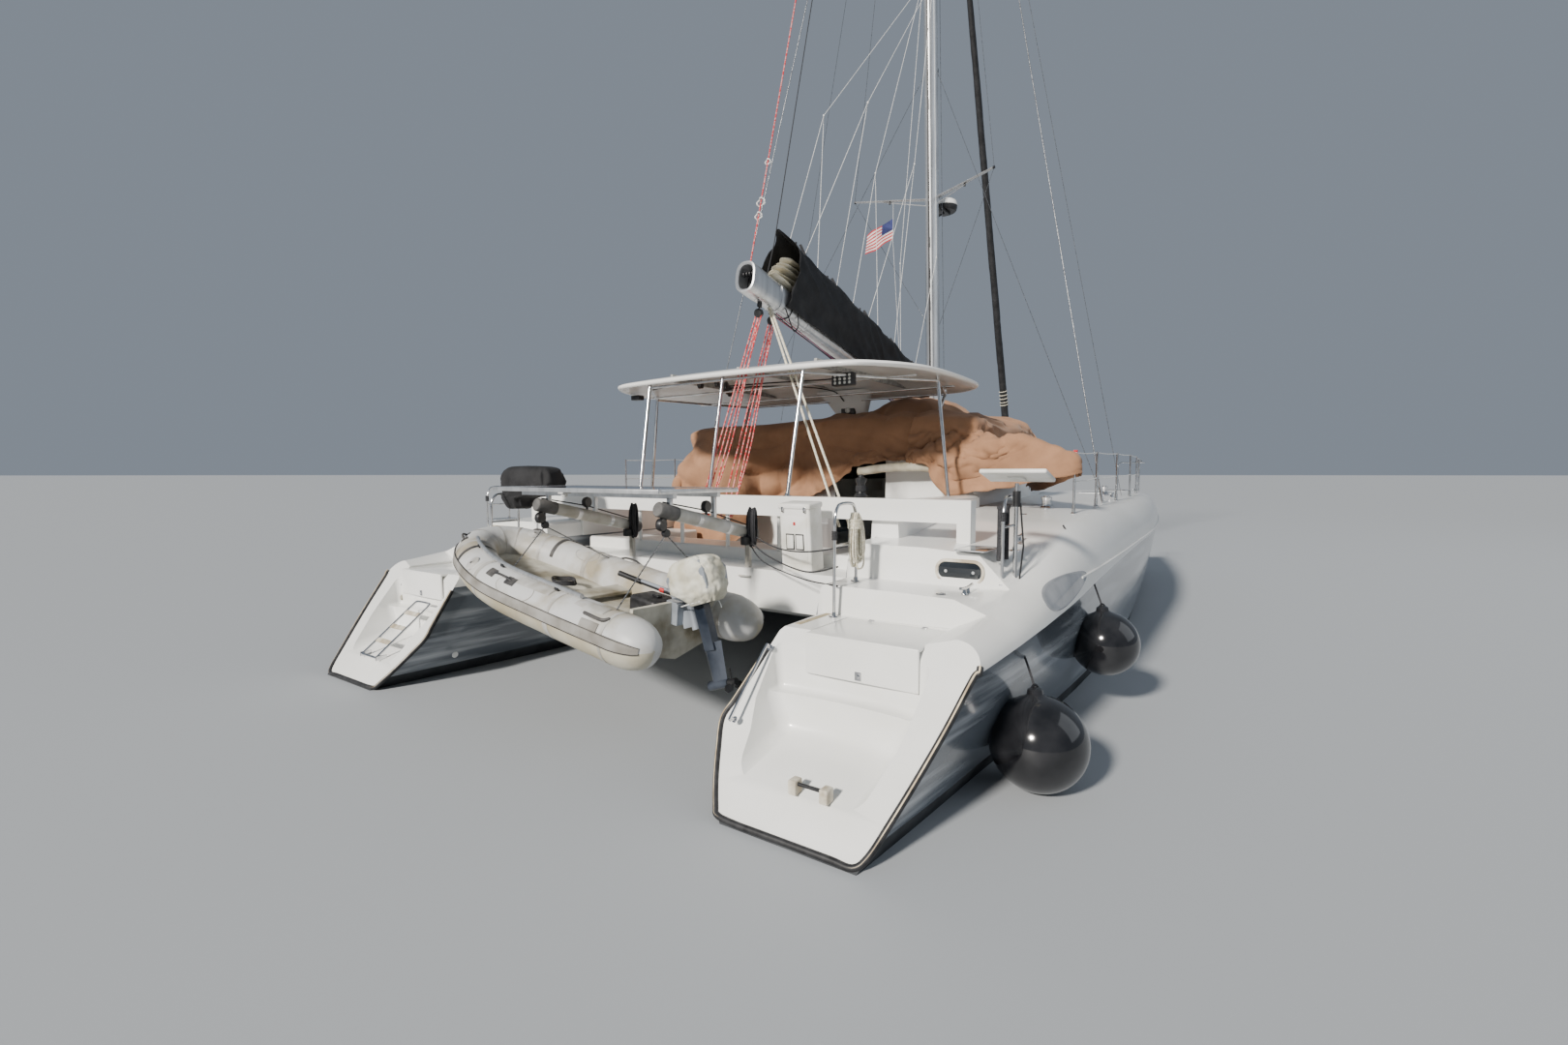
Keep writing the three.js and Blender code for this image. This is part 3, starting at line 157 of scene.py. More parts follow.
RING_SLATE = (6, 11)  # the ring's points from the waterline to the chine, outboard
RING_SLATE_IN = (25, 33)  # and from the inboard colour change down to the waterline
GELCOAT, SLATE, ANTIFOUL = range(3)


def lerp(a, b, part):
    return a + (b - a) * part


def curve_between(a, b, rise_a, rise_b, t):
    """Part of the way from a to b on a smooth curve that has the given rises at its ends."""
    return (a * (2 * t**3 - 3 * t**2 + 1) + rise_a * (t**3 - 2 * t**2 + t)
            + b * (3 * t**2 - 2 * t**3) + rise_b * (t**3 - t**2))


def section(y):
    """The section table's row at any y: smooth curves through its columns, and a stepped deck."""
    last = len(SECTIONS) - 2
    i = max(k for k in range(last + 1) if SECTIONS[k][0] <= y or k == 0)
    before, low, high, after = (SECTIONS[min(max(k, 0), last + 1)] for k in (i - 1, i, i + 1, i + 2))
    span = high[0] - low[0]
    part = (y - low[0]) / span
    row = [y]
    for column in range(1, len(low)):
        a, b = low[column], high[column]
        if column == DECK_COLUMN:
            row.append(lerp(a, b, part))
            continue
        rise_a = span * (b - before[column]) / max(high[0] - before[0], 1e-6)
        rise_b = span * (after[column] - a) / max(after[0] - low[0], 1e-6)
        row.append(curve_between(a, b, rise_a, rise_b, part))
    return row


def hull_ring(y):
    """Points round the starboard hull at one station, from the keel up the outboard side and down inboard."""
    _, water, chine, chine_z, edge, edge_z, deck, edge_in, bulge, water_in, keel = section(y)
    middle = (water + water_in) / 2
    bilge = [(math.sin(k * math.pi / 12), keel * math.cos(k * math.pi / 12)) for k in range(7)]
    ring = [(lerp(middle, water, out), z) for out, z in bilge]
    ring += [(lerp(water, chine - 0.022, s + 0.45 * s * (1 - s)), (chine_z - 0.02) * s) for s in (0.25, 0.5, 0.75, 1)]
    quarter = [k * math.pi / 16 for k in range(9)]
    ring += [(lerp(edge, chine, math.cos(turn)), lerp(chine_z, edge_z, math.sin(turn))) for turn in quarter]
    ring += [(lerp(edge, middle, 0.35), lerp(edge_z, deck, 0.9)), (middle, deck), (edge_in + 0.03, deck)]
    ring += [(edge_in, deck - 0.03)]
    ring += [(lerp(edge_in, bulge, s), lerp(deck - 0.03, BULGE_Z, s)) for s in (0.15, 0.3, 0.6, 0.8, 1)]
    ring += [(lerp(water_in, bulge, s), BULGE_Z * s**1.4) for s in (0.75, 0.5, 0.25)]
    ring += [(lerp(middle, water_in, out), z) for out, z in reversed(bilge)][:-1]
    return [Vector((x, y, z)) for x, z in ring]


def painted(bm, slot):
    """Gives the faces that were added since the last call their material slot."""
    done = bm.faces.layers.int.get("painted") or bm.faces.layers.int.new("painted")
    for face in bm.faces:
        if not face[done]:
            if slot is not None:
                face.material_index = slot
            face[done] = 1


def loft(bm, rings, caps=True, materials=None, slot=0):
    """Closed rings of equal length bridged one to the next. materials gives a slot for each side of the ring."""
    loops = []
    for ring in rings:
        verts = [bm.verts.new(point) for point in ring]
        loops.append([bm.edges.new((verts[i - 1], verts[i])) for i in range(len(verts))])
    for near, far in zip(loops, loops[1:]):
        made = bmesh.ops.bridge_loops(bm, edges=near + far)["faces"]
        if materials:
            side = {edge: i for i, edge in enumerate(near)}
            for face in made:
                face.material_index = materials[next(side[e] for e in face.edges if e in side)]
    if caps:
        for loop in (loops[0], loops[-1]):
            bmesh.ops.contextual_create(bm, geom=loop)
    painted(bm, None if materials else slot)
    return loops


SAME_POINT = 1e-5


def piece(name, bm, materials, slot, body="root", stands_for=(), angle=35, recalculate=True):
    """A finished bmesh as an object that rides on a body and takes the place of CAD nodes."""
    if recalculate:
        bmesh.ops.remove_doubles(bm, verts=bm.verts, dist=SAME_POINT)
        bmesh.ops.recalc_face_normals(bm, faces=bm.faces)
    if "painted" in bm.faces.layers.int:
        bm.faces.layers.int.remove(bm.faces.layers.int["painted"])
    mesh = bpy.data.meshes.new(name)
    bm.to_mesh(mesh)
    bm.free()
    for material in materials:
        mesh.materials.append(material)
    mesh.shade_smooth()
    mesh.set_sharp_from_angle(angle=math.radians(angle))
    obj = bpy.data.objects.new(name, mesh)
    bpy.context.scene.collection.objects.link(obj)
    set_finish(obj, slot)
    if body:
        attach(obj, body)
    if stands_for:
        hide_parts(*stands_for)
    return obj


def applied(obj):
    """The piece with its modifiers made part of its mesh."""
    bpy.context.view_layer.update()
    done = bpy.data.meshes.new_from_object(obj.evaluated_get(bpy.context.evaluated_depsgraph_get()))
    obj.modifiers.clear()
    old = obj.data
    obj.data = done
    bpy.data.meshes.remove(old)
    return obj


def carve(obj, tool_bm, material_index=0):
    """Cuts a closed bmesh out of the piece."""
    bmesh.ops.recalc_face_normals(tool_bm, faces=tool_bm.faces)
    for face in tool_bm.faces:
        face.material_index = material_index
    mesh = bpy.data.meshes.new("tool")
    tool_bm.to_mesh(mesh)
    tool_bm.free()
    tool = bpy.data.objects.new("tool", mesh)
    bpy.context.scene.collection.objects.link(tool)
    cut = obj.modifiers.new("cut", "BOOLEAN")
    cut.operation = "DIFFERENCE"
    cut.solver = "EXACT"
    cut.object = tool
    applied(obj)
    bpy.data.objects.remove(tool)
    bpy.data.meshes.remove(mesh)


def tinted_noise(tree, shader, colors, scale, stretch=(1, 1, 1), detail=4, turn=(0, 0, 0), spread=(0.35, 0.65)):
    """Base colour from a noise between two colours, read on the object's own coordinates."""
    place = tree.nodes.new("ShaderNodeTexCoord")
    mapping = tree.nodes.new("ShaderNodeMapping")
    mapping.inputs["Rotation"].default_value = turn
    mapping.inputs["Scale"].default_value = stretch
    patches = tree.nodes.new("ShaderNodeTexNoise")
    patches.inputs["Scale"].default_value = scale
    patches.inputs["Detail"].default_value = detail
    ramp = tree.nodes.new("ShaderNodeValToRGB")
    for stop, position, color in zip(ramp.color_ramp.elements, spread, colors):
        stop.position = position
        stop.color = (*color, 1)
    tree.links.new(place.outputs["Object"], mapping.inputs["Vector"])
    tree.links.new(mapping.outputs["Vector"], patches.inputs["Vector"])
    tree.links.new(patches.outputs["Fac"], ramp.inputs["Fac"])
    tree.links.new(ramp.outputs["Color"], shader.inputs["Base Color"])
    return place


def mottled(name, color, roughness, tints, scale, metallic=0.0, coat=0.0, coat_roughness=0.03, **more):
    """A material in soft patches of two tints. more goes on to tinted_noise."""
    material, tree, shader = node_material(name, color, roughness, metallic)
    shader.inputs["Coat Weight"].default_value = coat
    shader.inputs["Coat Roughness"].default_value = coat_roughness
    tinted_noise(tree, shader, tints, scale, **more)
    return material


def bumped(tree, shader, texture, strength, distance, output="Fac"):
    bump = tree.nodes.new("ShaderNodeBump")
    bump.inputs["Strength"].default_value = strength
    bump.inputs["Distance"].default_value = distance
    tree.links.new(texture.outputs[output], bump.inputs["Height"])
    tree.links.new(bump.outputs["Normal"], shader.inputs["Normal"])
    return bump


def gelcoat_material(name, clean, worn, roughness):
    """Sprayed gelcoat: hardly a tint of its own, faint chalking in patches and long soft waves in the gloss."""
    material, tree, shader = node_material(name, clean, roughness)
    shader.inputs["Coat Weight"].default_value = 0.35
    shader.inputs["Coat Roughness"].default_value = 0.08
    place = tinted_noise(tree, shader, (worn, clean), 1.3, stretch=(1, 0.6, 2.2), detail=7)
    waves = tree.nodes.new("ShaderNodeTexNoise")
    waves.inputs["Scale"].default_value = 1.6
    tree.links.new(place.outputs["Object"], waves.inputs["Vector"])
    bumped(tree, shader, waves, 0.12, 0.02)
    return material


gelcoat = gelcoat_material("gelcoat_white", (0.86, 0.86, 0.84), (0.79, 0.79, 0.755), 0.3)

# Slate topsides: pale streaks run up and forward over the gloss. They are a painted reflection of the rippling water
# on the dark paint.
slate = mottled("slate_gloss_reflection_streaks", (0.1, 0.115, 0.135), 0.2, ((0.13, 0.15, 0.175), (0.5, 0.53, 0.56)), 1.5, coat=0.6,
                coat_roughness=0.05, stretch=(1.2, 0.5, 7.0), detail=8, turn=(math.radians(-34), 0, 0),
                spread=(0.48, 0.76))

# Below the boot band the hulls are antifouled: a dull blue-black paint, rubbed thin in places.
antifoul = mottled("antifouling", (0.02, 0.022, 0.027), 0.75, ((0.012, 0.014, 0.018), (0.05, 0.055, 0.06)), 3.5,
                   detail=8)

# Walking surfaces are moulded with a fine non-skid pattern.
nonskid, nonskid_tree, nonskid_shader = node_material("nonskid_moulded", (0.74, 0.74, 0.72), 0.55)
nonskid_place = tinted_noise(nonskid_tree, nonskid_shader, ((0.66, 0.66, 0.63), (0.77, 0.77, 0.75)), 2.0)
diamonds = nonskid_tree.nodes.new("ShaderNodeTexVoronoi")
diamonds.inputs["Scale"].default_value = 160
nonskid_tree.links.new(nonskid_place.outputs["Object"], diamonds.inputs["Vector"])
bumped(nonskid_tree, nonskid_shader, diamonds, 0.35, 0.002, output="Distance")

stations = sorted(
    {row[0] for row in SECTIONS}
    | {
        round(low[0] + k * (high[0] - low[0]) / math.ceil((high[0] - low[0]) / STATION_STEP), 4)
        for low, high in zip(SECTIONS, SECTIONS[1:])
        for k in range(1, math.ceil((high[0] - low[0]) / STATION_STEP))
    }
)
ring_count = len(hull_ring(0.0))
side_finish = []
for side in range(ring_count):
    if RING_SLATE[0] < side < RING_SLATE[1] or RING_SLATE_IN[0] <= side < RING_SLATE_IN[1]:
        side_finish.append(SLATE)
    elif side <= RING_SLATE[0] or side >= RING_SLATE_IN[1]:
        side_finish.append(ANTIFOUL)
    else:
        side_finish.append(GELCOAT)

SCOOP_AFT_Y = -7.9
SCOOP_FLOOR_Z = 0.37
FLOOR_SLOPE = 0.25
STEP_Z = 0.63
STEP_NOSE_Y = -6.36
LOCKER_FACE_Y = -6.262
# height, inboard x and outboard x of the scoop's inside
SCOOP_WIDTH = [(SCOOP_FLOOR_Z, 2.27, 3.16), (STEP_Z, 2.17, 3.29), (1.4, 2.11, 3.39)]
SCOOP_BOW = 0.05


def scoop_tool(forward, rows, radius):
    """A tool with rounded corners: a floor that falls aft, and a front wall bowed a little forward."""
    bm = bmesh.new()
    rings = []
    for z, inboard, outboard in rows:
        aft_z = z - FLOOR_SLOPE * (forward - SCOOP_AFT_Y) if z == SCOOP_FLOOR_Z else z
        ring = [Vector((inboard, SCOOP_AFT_Y, aft_z)), Vector((outboard, SCOOP_AFT_Y, aft_z))]
        for k in range(8, -1, -1):
            part = k / 8
            bow = SCOOP_BOW * (1 - (2 * part - 1) ** 2)
            ring.append(Vector((lerp(inboard, outboard, part), forward + bow, z)))
        rings.append(ring)
    loft(bm, rings)
    bmesh.ops.recalc_face_normals(bm, faces=bm.faces)
    rounded = [
        edge for edge in bm.edges
        if len(edge.link_faces) == 2 and edge.calc_face_angle(0) > 0.6
        and min(v.co.z for v in edge.verts) < STEP_Z + 0.01 or edge_is_corner(edge, forward)
    ]
    bmesh.ops.bevel(
        bm, geom=rounded, offset=radius, segments=6, profile=0.5, affect="EDGES", material=-1, clamp_overlap=True,
    )
    return bm


def edge_is_corner(edge, forward):
    """True for an upright corner of the scoop, between its side and its front wall."""
    a, b = (vert.co for vert in edge.verts)
    upright = abs(a.z - b.z) > 0.15 and abs(a.y - forward) < 0.01
    return upright and len(edge.link_faces) == 2 and edge.calc_face_angle(0) > 0.6


def box(bm, x0, x1, y0, y1, z0, z1):
    """A block between two corners, added to the bmesh."""
    made = bmesh.ops.create_cube(bm, size=1)
    bmesh.ops.scale(bm, vec=(x1 - x0, y1 - y0, z1 - z0), verts=made["verts"])
    bmesh.ops.translate(bm, vec=((x0 + x1) / 2, (y0 + y1) / 2, (z0 + z1) / 2), verts=made["verts"])
    return made["verts"]


LID = {"x0": 2.39, "x1": 3.24, "hinge": (-5.655, 1.064), "foot": 0.775, "thick": 0.024, "gap": 0.005}
STOCK_HOLE = 0.031
BOOT_TOP = 0.125
WATER_BAND = 0.028
hull_bm = bmesh.new()
loft(hull_bm, [hull_ring(y) for y in stations], materials=side_finish)
bmesh.ops.recalc_face_normals(hull_bm, faces=hull_bm.faces)
bmesh.ops.bisect_plane(
    hull_bm, geom=hull_bm.verts[:] + hull_bm.edges[:] + hull_bm.faces[:],
    plane_co=(0, TRANSOM_FOOT_Y, 0), plane_no=(0, -1, TRANSOM_RAKE), clear_outer=True,
)
open_edges = [edge for edge in hull_bm.edges if edge.is_boundary]
for face in bmesh.ops.holes_fill(hull_bm, edges=open_edges)["faces"]:
    face.material_index = GELCOAT
for band in (BOOT_TOP, WATER_BAND):
    bmesh.ops.bisect_plane(
        hull_bm, geom=hull_bm.verts[:] + hull_bm.edges[:] + hull_bm.faces[:], plane_co=(0, 0, band),
        plane_no=(0, 0, 1),
    )
for face in hull_bm.faces:
    middle = face.calc_center_median()
    if middle.z < WATER_BAND or middle.z < BOOT_TOP and face.material_index == SLATE:
        face.material_index = ANTIFOUL
hull = piece("hull_starboard_shell", hull_bm, [gelcoat, slate, antifoul, nonskid], "gelcoat", body=None)
carve(hull, scoop_tool(STEP_NOSE_Y, SCOOP_WIDTH, 0.075))
carve(hull, scoop_tool(LOCKER_FACE_Y, SCOOP_WIDTH[1:], 0.05))
lid_y, lid_z = LID["hinge"]
gap = LID["gap"]
rebate = bmesh.new()
box(rebate, LID["x0"] - gap, LID["x1"] + gap, LOCKER_FACE_Y - 0.06, lid_y + gap, lid_z - LID["thick"] - 0.001, 1.2)
carve(hull, rebate)
rebate = bmesh.new()
box(
    rebate, LID["x0"] - gap, LID["x1"] + gap,
    LOCKER_FACE_Y - 0.06, LOCKER_FACE_Y + LID["thick"] + 0.001, LID["foot"] - gap, 1.1,
)
carve(hull, rebate)
BAY = {"x": (2.4, 3.2), "y": (-6.15, -4.38), "z": (0.15, 0.96)}
bay = bmesh.new()
box(bay, *BAY["x"], *BAY["y"], *BAY["z"])
carve(hull, bay)
bay_mouth = bmesh.new()
box(bay_mouth, LID["x0"] + 0.06, LID["x1"] - 0.06, BAY["y"][0], lid_y - 0.06, 0.9, 1.2)
carve(hull, bay_mouth)
stock_hole = bmesh.new()
bmesh.ops.create_cone(stock_hole, cap_ends=True, segments=32, radius1=STOCK_HOLE, radius2=STOCK_HOLE, depth=1.0)
bmesh.ops.translate(stock_hole, vec=(HULL_X, -5.78, -0.2), verts=stock_hole.verts)
carve(hull, stock_hole)
hull.data.shade_smooth()
hull.data.set_sharp_from_angle(angle=math.radians(38))


def bevelled(obj, width, segments=3, angle=38):
    """Rounds the piece's sharp edges and lets the flats stay flat."""
    bevel = obj.modifiers.new("edges", "BEVEL")
    bevel.width = width
    bevel.segments = segments
    bevel.limit_method = "ANGLE"
    bevel.angle_limit = math.radians(angle)
    bevel.harden_normals = True
    bevel.use_clamp_overlap = True
    return obj


def mirror_copy(obj, name, body="root", stands_for=()):
    """The piece's mirror image on the other side of the boat."""
    mesh = obj.data.copy()
    mesh.transform(Matrix.Scale(-1, 4, (1, 0, 0)))
    mesh.flip_normals()
    twin = bpy.data.objects.new(name, mesh)
    bpy.context.scene.collection.objects.link(twin)
    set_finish(twin, obj["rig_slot"])
    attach(twin, body)
    if stands_for:
        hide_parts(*stands_for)
    return twin


mirror_copy(hull, "hull_port_shell", stands_for=("hull_port",))
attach(hull, "root")
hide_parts("hull_starboard")


# The rest of the moulded glass fibre: bridge deck, saloon walls, roof, cockpit seats, coaming and helm console.
# Each is a white moulding with eased edges, and its flats are walked or sat on.
def finished(node, material, slot, width, body="root", segments=3, angle=30, name=None, extra=()):
    """A CAD solid's own shape as one merged skin, its flats whole and its edges rounded."""
    bm = bmesh.new()
    bm.from_mesh(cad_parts[node].data)
    bmesh.ops.remove_doubles(bm, verts=bm.verts, dist=2e-5)
    bmesh.ops.dissolve_limit(bm, angle_limit=math.radians(0.6), verts=bm.verts, edges=bm.edges)
    for face in bm.faces:
        face.material_index = 0
    obj = piece(
        name or node + "_finished", bm, [material, *extra], slot, body=body, stands_for=(node,), angle=angle,
        recalculate=False,
    )
    return bevelled(obj, width, segments, angle) if width else obj


finished("bridge_deck", gelcoat, "gelcoat", 0.012)
finished("saloon_walls", gelcoat, "gelcoat", 0.006)
finished("coachroof", gelcoat, "gelcoat", 0.02)
finished("cockpit_seats", gelcoat, "moulded", 0.03, segments=4)
finished("cockpit_coaming", gelcoat, "gelcoat", 0.02)
finished("helm_console", gelcoat, "moulded", 0.02)

# The saloon's tinted band is dark acrylic glued over the window openings.
tinted = mottled("tinted_acrylic", (0.012, 0.015, 0.018), 0.06, ((0.009, 0.012, 0.015), (0.02, 0.024, 0.028)), 5.0,
                 coat=0.5, detail=6)
finished("saloon_windows", tinted, "tinted_glass", 0.002, segments=2)

# Metals. Stainless tube is polished, spars are satin grey anodised alloy, castings are painted.
stainless = mottled("stainless_polished", (0.62, 0.63, 0.64), 0.16, ((0.5, 0.5, 0.5), (0.68, 0.69, 0.7)), 9.0,
                    metallic=1.0, detail=8)
alloy, alloy_tree, alloy_shader = node_material("alloy_anodised", (0.6, 0.61, 0.62), 0.36, 0.85)
alloy_place = tinted_noise(
    alloy_tree, alloy_shader, ((0.55, 0.56, 0.57), (0.74, 0.75, 0.76)), 4.0, stretch=(3, 3, 0.3), detail=6,
)
drawn = alloy_tree.nodes.new("ShaderNodeTexNoise")
drawn.inputs["Scale"].default_value = 60
alloy_tree.links.new(alloy_place.outputs["Object"], drawn.inputs["Vector"])
bumped(alloy_tree, alloy_shader, drawn, 0.06, 0.001)
cast = mottled("painted_casting", (0.2, 0.21, 0.22), 0.5, ((0.13, 0.14, 0.15), (0.28, 0.29, 0.3)), 7.0, metallic=0.3,
               detail=9)
bronze = mottled("bronze_dull", (0.32, 0.22, 0.1), 0.45, ((0.2, 0.16, 0.09), (0.42, 0.29, 0.13)), 14.0, metallic=0.9,
                 detail=8)
black = mottled("black_plastic", (0.01, 0.01, 0.011), 0.4, ((0.007, 0.007, 0.008), (0.022, 0.022, 0.024)), 12.0,
                detail=7)

finished("saloon_door", alloy, "alloy", 0.003, body="door", segments=2)
for side in ("starboard", "port"):
    finished("engine_" + side, cast, "cast_paint", 0.03)
for side in ("starboard", "port"):
    finished("keel_" + side, antifoul, "antifouling", 0.01, angle=45)
    finished("rudder_" + side, antifoul, "antifouling", 0.004, body="rudder_" + side, angle=45)
    finished("saildrive_" + side, cast, "cast_paint", 0.006, angle=40)
    finished("propeller_" + side, bronze, "bronze", 0.002, body="prop_" + side, segments=2, angle=40)


# Each transom's edge carries a black rubber moulding with a thin pale line let into it. It is pressed on along
# the rim, up both sides and under the lip.
rubber = mottled("black_rubber", (0.012, 0.012, 0.013), 0.5, ((0.008, 0.008, 0.009), (0.03, 0.03, 0.032)), 18.0,
                 detail=8)
inlay = mottled("inlay_cream", (0.72, 0.58, 0.38), 0.4, ((0.5, 0.38, 0.24), (0.8, 0.68, 0.48)), 9.0, detail=7)


def transom_y(z):
    return TRANSOM_FOOT_Y + TRANSOM_RAKE * z


def on_transom(place):
    """The point of the hull's ring, counted from the keel, where it meets the transom's plane."""
    y = TRANSOM_FOOT_Y
    low, part = int(place), place - int(place)
    for _ in range(8):
        ring = hull_ring(y)
        point = ring[low].lerp(ring[(low + 1) % len(ring)], part)
        y = transom_y(point.z)
    return point


def smooth_path(points, per=8, closed=False, pull=0.5):
    """A smooth line through the points, with some steps between each two."""
    points = [Vector(p) for p in points]
    count = len(points)
    line = []
    for i in range(count if closed else count - 1):
        a, b = points[i], points[(i + 1) % count]
        before = points[i - 1] if closed or i else a
        after = points[(i + 2) % count] if closed or i + 2 < count else b
        for k in range(per):
            line.append(curve_between(a, b, (b - before) * pull, (after - a) * pull, k / per))
    return line if closed else line + [points[-1]]


UP = Vector((0, 0, 1))
SIDES = (("starboard", 1), ("port", -1))


def around(steps, closed=False):
    """Angles evenly round a circle, with the first once more at the end if it is closed."""
    return [k * math.tau / steps for k in range(steps + closed)]


def loop_of(centre, a, b, steps):
    """A closed line round an ellipse with the half axes a and b."""
    return [centre + a * math.cos(t) + b * math.sin(t) for t in around(steps, closed=True)]


def level_loop(centre, half_x, half_y, steps):
    return loop_of(centre, Vector((half_x, 0, 0)), Vector((0, half_y, 0)), steps)


def sweep(bm, path, radius, sides=12, section=None, up=None, slot=0):
    """A tube along a path, of one radius or one for each point. section gives another outline than a circle."""
    path = [Vector(p) for p in path]
    radii = radius if isinstance(radius, (list, tuple)) else [radius] * len(path)
    outline = section or [(math.cos(t), math.sin(t)) for t in around(sides)]
    rings = []
    normal = Vector(up) if up else None
    for i, (point, size) in enumerate(zip(path, radii)):
        along = (path[min(i + 1, len(path) - 1)] - path[max(i - 1, 0)]).normalized()
        if normal is None:
            normal = along.orthogonal()
        normal = (normal - along * normal.dot(along)).normalized()
        across = along.cross(normal)
        rings.append([point + (normal * u + across * v) * size for u, v in outline])
    loft(bm, rings, slot=slot)


def turned(bm, profile, centre, axis=(0, 0, 1), steps=32, slot=0):
    """A profile of radius and height turned about an axis through the centre."""
    axis = Vector(axis).normalized()
    out = axis.orthogonal().normalized()
    centre = Vector(centre)
    verts = [bm.verts.new(centre + out * r + axis * h) for r, h in profile]
    edges = [bm.edges.new(pair) for pair in zip(verts, verts[1:])]
    bmesh.ops.spin(
        bm, geom=verts + edges, cent=centre, axis=axis, angle=math.tau, steps=steps, use_merge=True, dvec=(0, 0, 0),
    )
    bmesh.ops.remove_doubles(bm, verts=bm.verts, dist=SAME_POINT)
    painted(bm, slot)


def slab(bm, x0, x1, y0, y1, z0, z1, radius=0.0, segments=3, slot=0):
    """A block with rounded edges, added to the bmesh."""
    verts = box(bm, x0, x1, y0, y1, z0, z1)
    if radius:
        edges = list({edge for vert in verts for edge in vert.link_edges})
        bmesh.ops.bevel(
            bm, geom=edges, offset=radius, segments=segments, profile=0.5, affect="EDGES", material=-1,
        )
    painted(bm, slot)


def absorbed(bm, part, place=None):
    """Adds another bmesh, moved into place, and lets go of it."""
    if place:
        part.transform(place)
    bmesh.ops.recalc_face_normals(part, faces=part.faces)
    loose = bpy.data.meshes.new("part")
    part.to_mesh(loose)
    part.free()
    bm.from_mesh(loose)
    bpy.data.meshes.remove(loose)
    painted(bm, None)


MOULD_R = 0.021
outboard_rim = [on_transom(k) for k in (12.2, 11, 10, 9, 8, 7, 6.35)]
inboard_rim = [on_transom(k) for k in (31.55, 31, 30, 29, 28, 27, 26, 25, 24.4)]
LIP_Z = 0.022
under_lip = [Vector((x, transom_y(LIP_Z), LIP_Z)) for x in (3.215, 3.08, 2.92, 2.75, 2.55, 2.4)]
rim_path = smooth_path(outboard_rim + under_lip + inboard_rim, per=5)
rim_middle = Vector((2.75, transom_y(0.5), 0.5))
moulding_bm = bmesh.new()
sweep(moulding_bm, rim_path, MOULD_R, 12)
inlay_path = []
for point in rim_path:
    outward = point - rim_middle
    outward = (outward - Vector((0, 1, 0)) * outward.y).normalized()
    inlay_path.append(point + (Vector((0, -1, 0.85)).normalized() * 0.8 + outward * 0.25) * (MOULD_R - 0.001))
sweep(moulding_bm, inlay_path, 0.0065, 6, slot=1)
moulding = piece("transom_moulding_starboard", moulding_bm, [rubber, inlay], "black_gloss", angle=60)
mirror_copy(moulding, "transom_moulding_port")

# The locker lids in the scoops: thin white mouldings with a chrome latch in the lower edge and two small hinges.
LATCH_X = 2.81
chrome = mottled("chrome", (0.7, 0.7, 0.71), 0.1, ((0.6, 0.6, 0.61), (0.74, 0.74, 0.75)), 22.0, metallic=1.0,
                 detail=6)
for side, sign in SIDES:
    body = "lid_" + side
    bm = bmesh.new()
    slab(bm, LID["x0"], LID["x1"], LOCKER_FACE_Y, LID["hinge"][0] - 0.001, LID["hinge"][1] - LID["thick"],
         LID["hinge"][1], 0.009)
    slab(bm, LID["x0"], LID["x1"], LOCKER_FACE_Y, LOCKER_FACE_Y + LID["thick"], LID["foot"],
         LID["hinge"][1] - 0.012, 0.009)
    slab(bm, LATCH_X - 0.024, LATCH_X + 0.024, LOCKER_FACE_Y - 0.008, LOCKER_FACE_Y + 0.004, 0.79, 0.85, 0.004,
         slot=1)
    turned(bm, [(0.0, 0.0), (0.011, 0.0), (0.013, 0.004), (0.009, 0.008), (0.0, 0.009)],
           (LATCH_X, LOCKER_FACE_Y - 0.007, 0.82), (0, -1, 0), 16, slot=1)
    for x in (2.6, 3.03):
        slab(bm, x - 0.02, x + 0.02, LID["hinge"][0] - 0.03, LID["hinge"][0] - 0.003, LID["hinge"][1] - 0.002,
             LID["hinge"][1] + 0.003, 0.0015, 2, slot=1)
        sweep(bm, [(x - 0.02, LID["hinge"][0] - 0.004, LID["hinge"][1] + 0.002),
                   (x + 0.02, LID["hinge"][0] - 0.004, LID["hinge"][1] + 0.002)], 0.004, 10, slot=1)
    bm.transform(Matrix.Scale(sign, 4, (1, 0, 0)))
    piece("locker_lid_" + side, bm, [gelcoat, chrome], "gelcoat", body=body, stands_for=("transom_lid_" + side,))

# Fittings in the scoops: the two ladder blocks on the starboard lip with their dark bar, the chrome grab rail on
# each inboard rim, the lip's drain and the chrome skin fittings.
worn_cream = mottled("moulded_cream_worn", (0.6, 0.55, 0.44), 0.6, ((0.36, 0.3, 0.21), (0.7, 0.66, 0.56)), 11.0,
                     detail=9)


def handrail(bm, start, end, stand_off, radius=0.011, slot=0):
    """A straight grab rail on two feet."""
    start, end, stand_off = Vector(start), Vector(end), Vector(stand_off)
    along = (end - start).normalized() * 0.03
    sweep(bm, smooth_path([start, start + stand_off * 0.7, start + stand_off + along,
                           end + stand_off - along, end + stand_off * 0.7, end], 6), radius, 10, slot=slot)
    for foot in (start, end):
        turned(bm, [(0.0, 0.007), (radius + 0.01, 0.006), (radius + 0.013, 0.0), (0.0, 0.0)], foot,
               stand_off, 16, slot=slot)


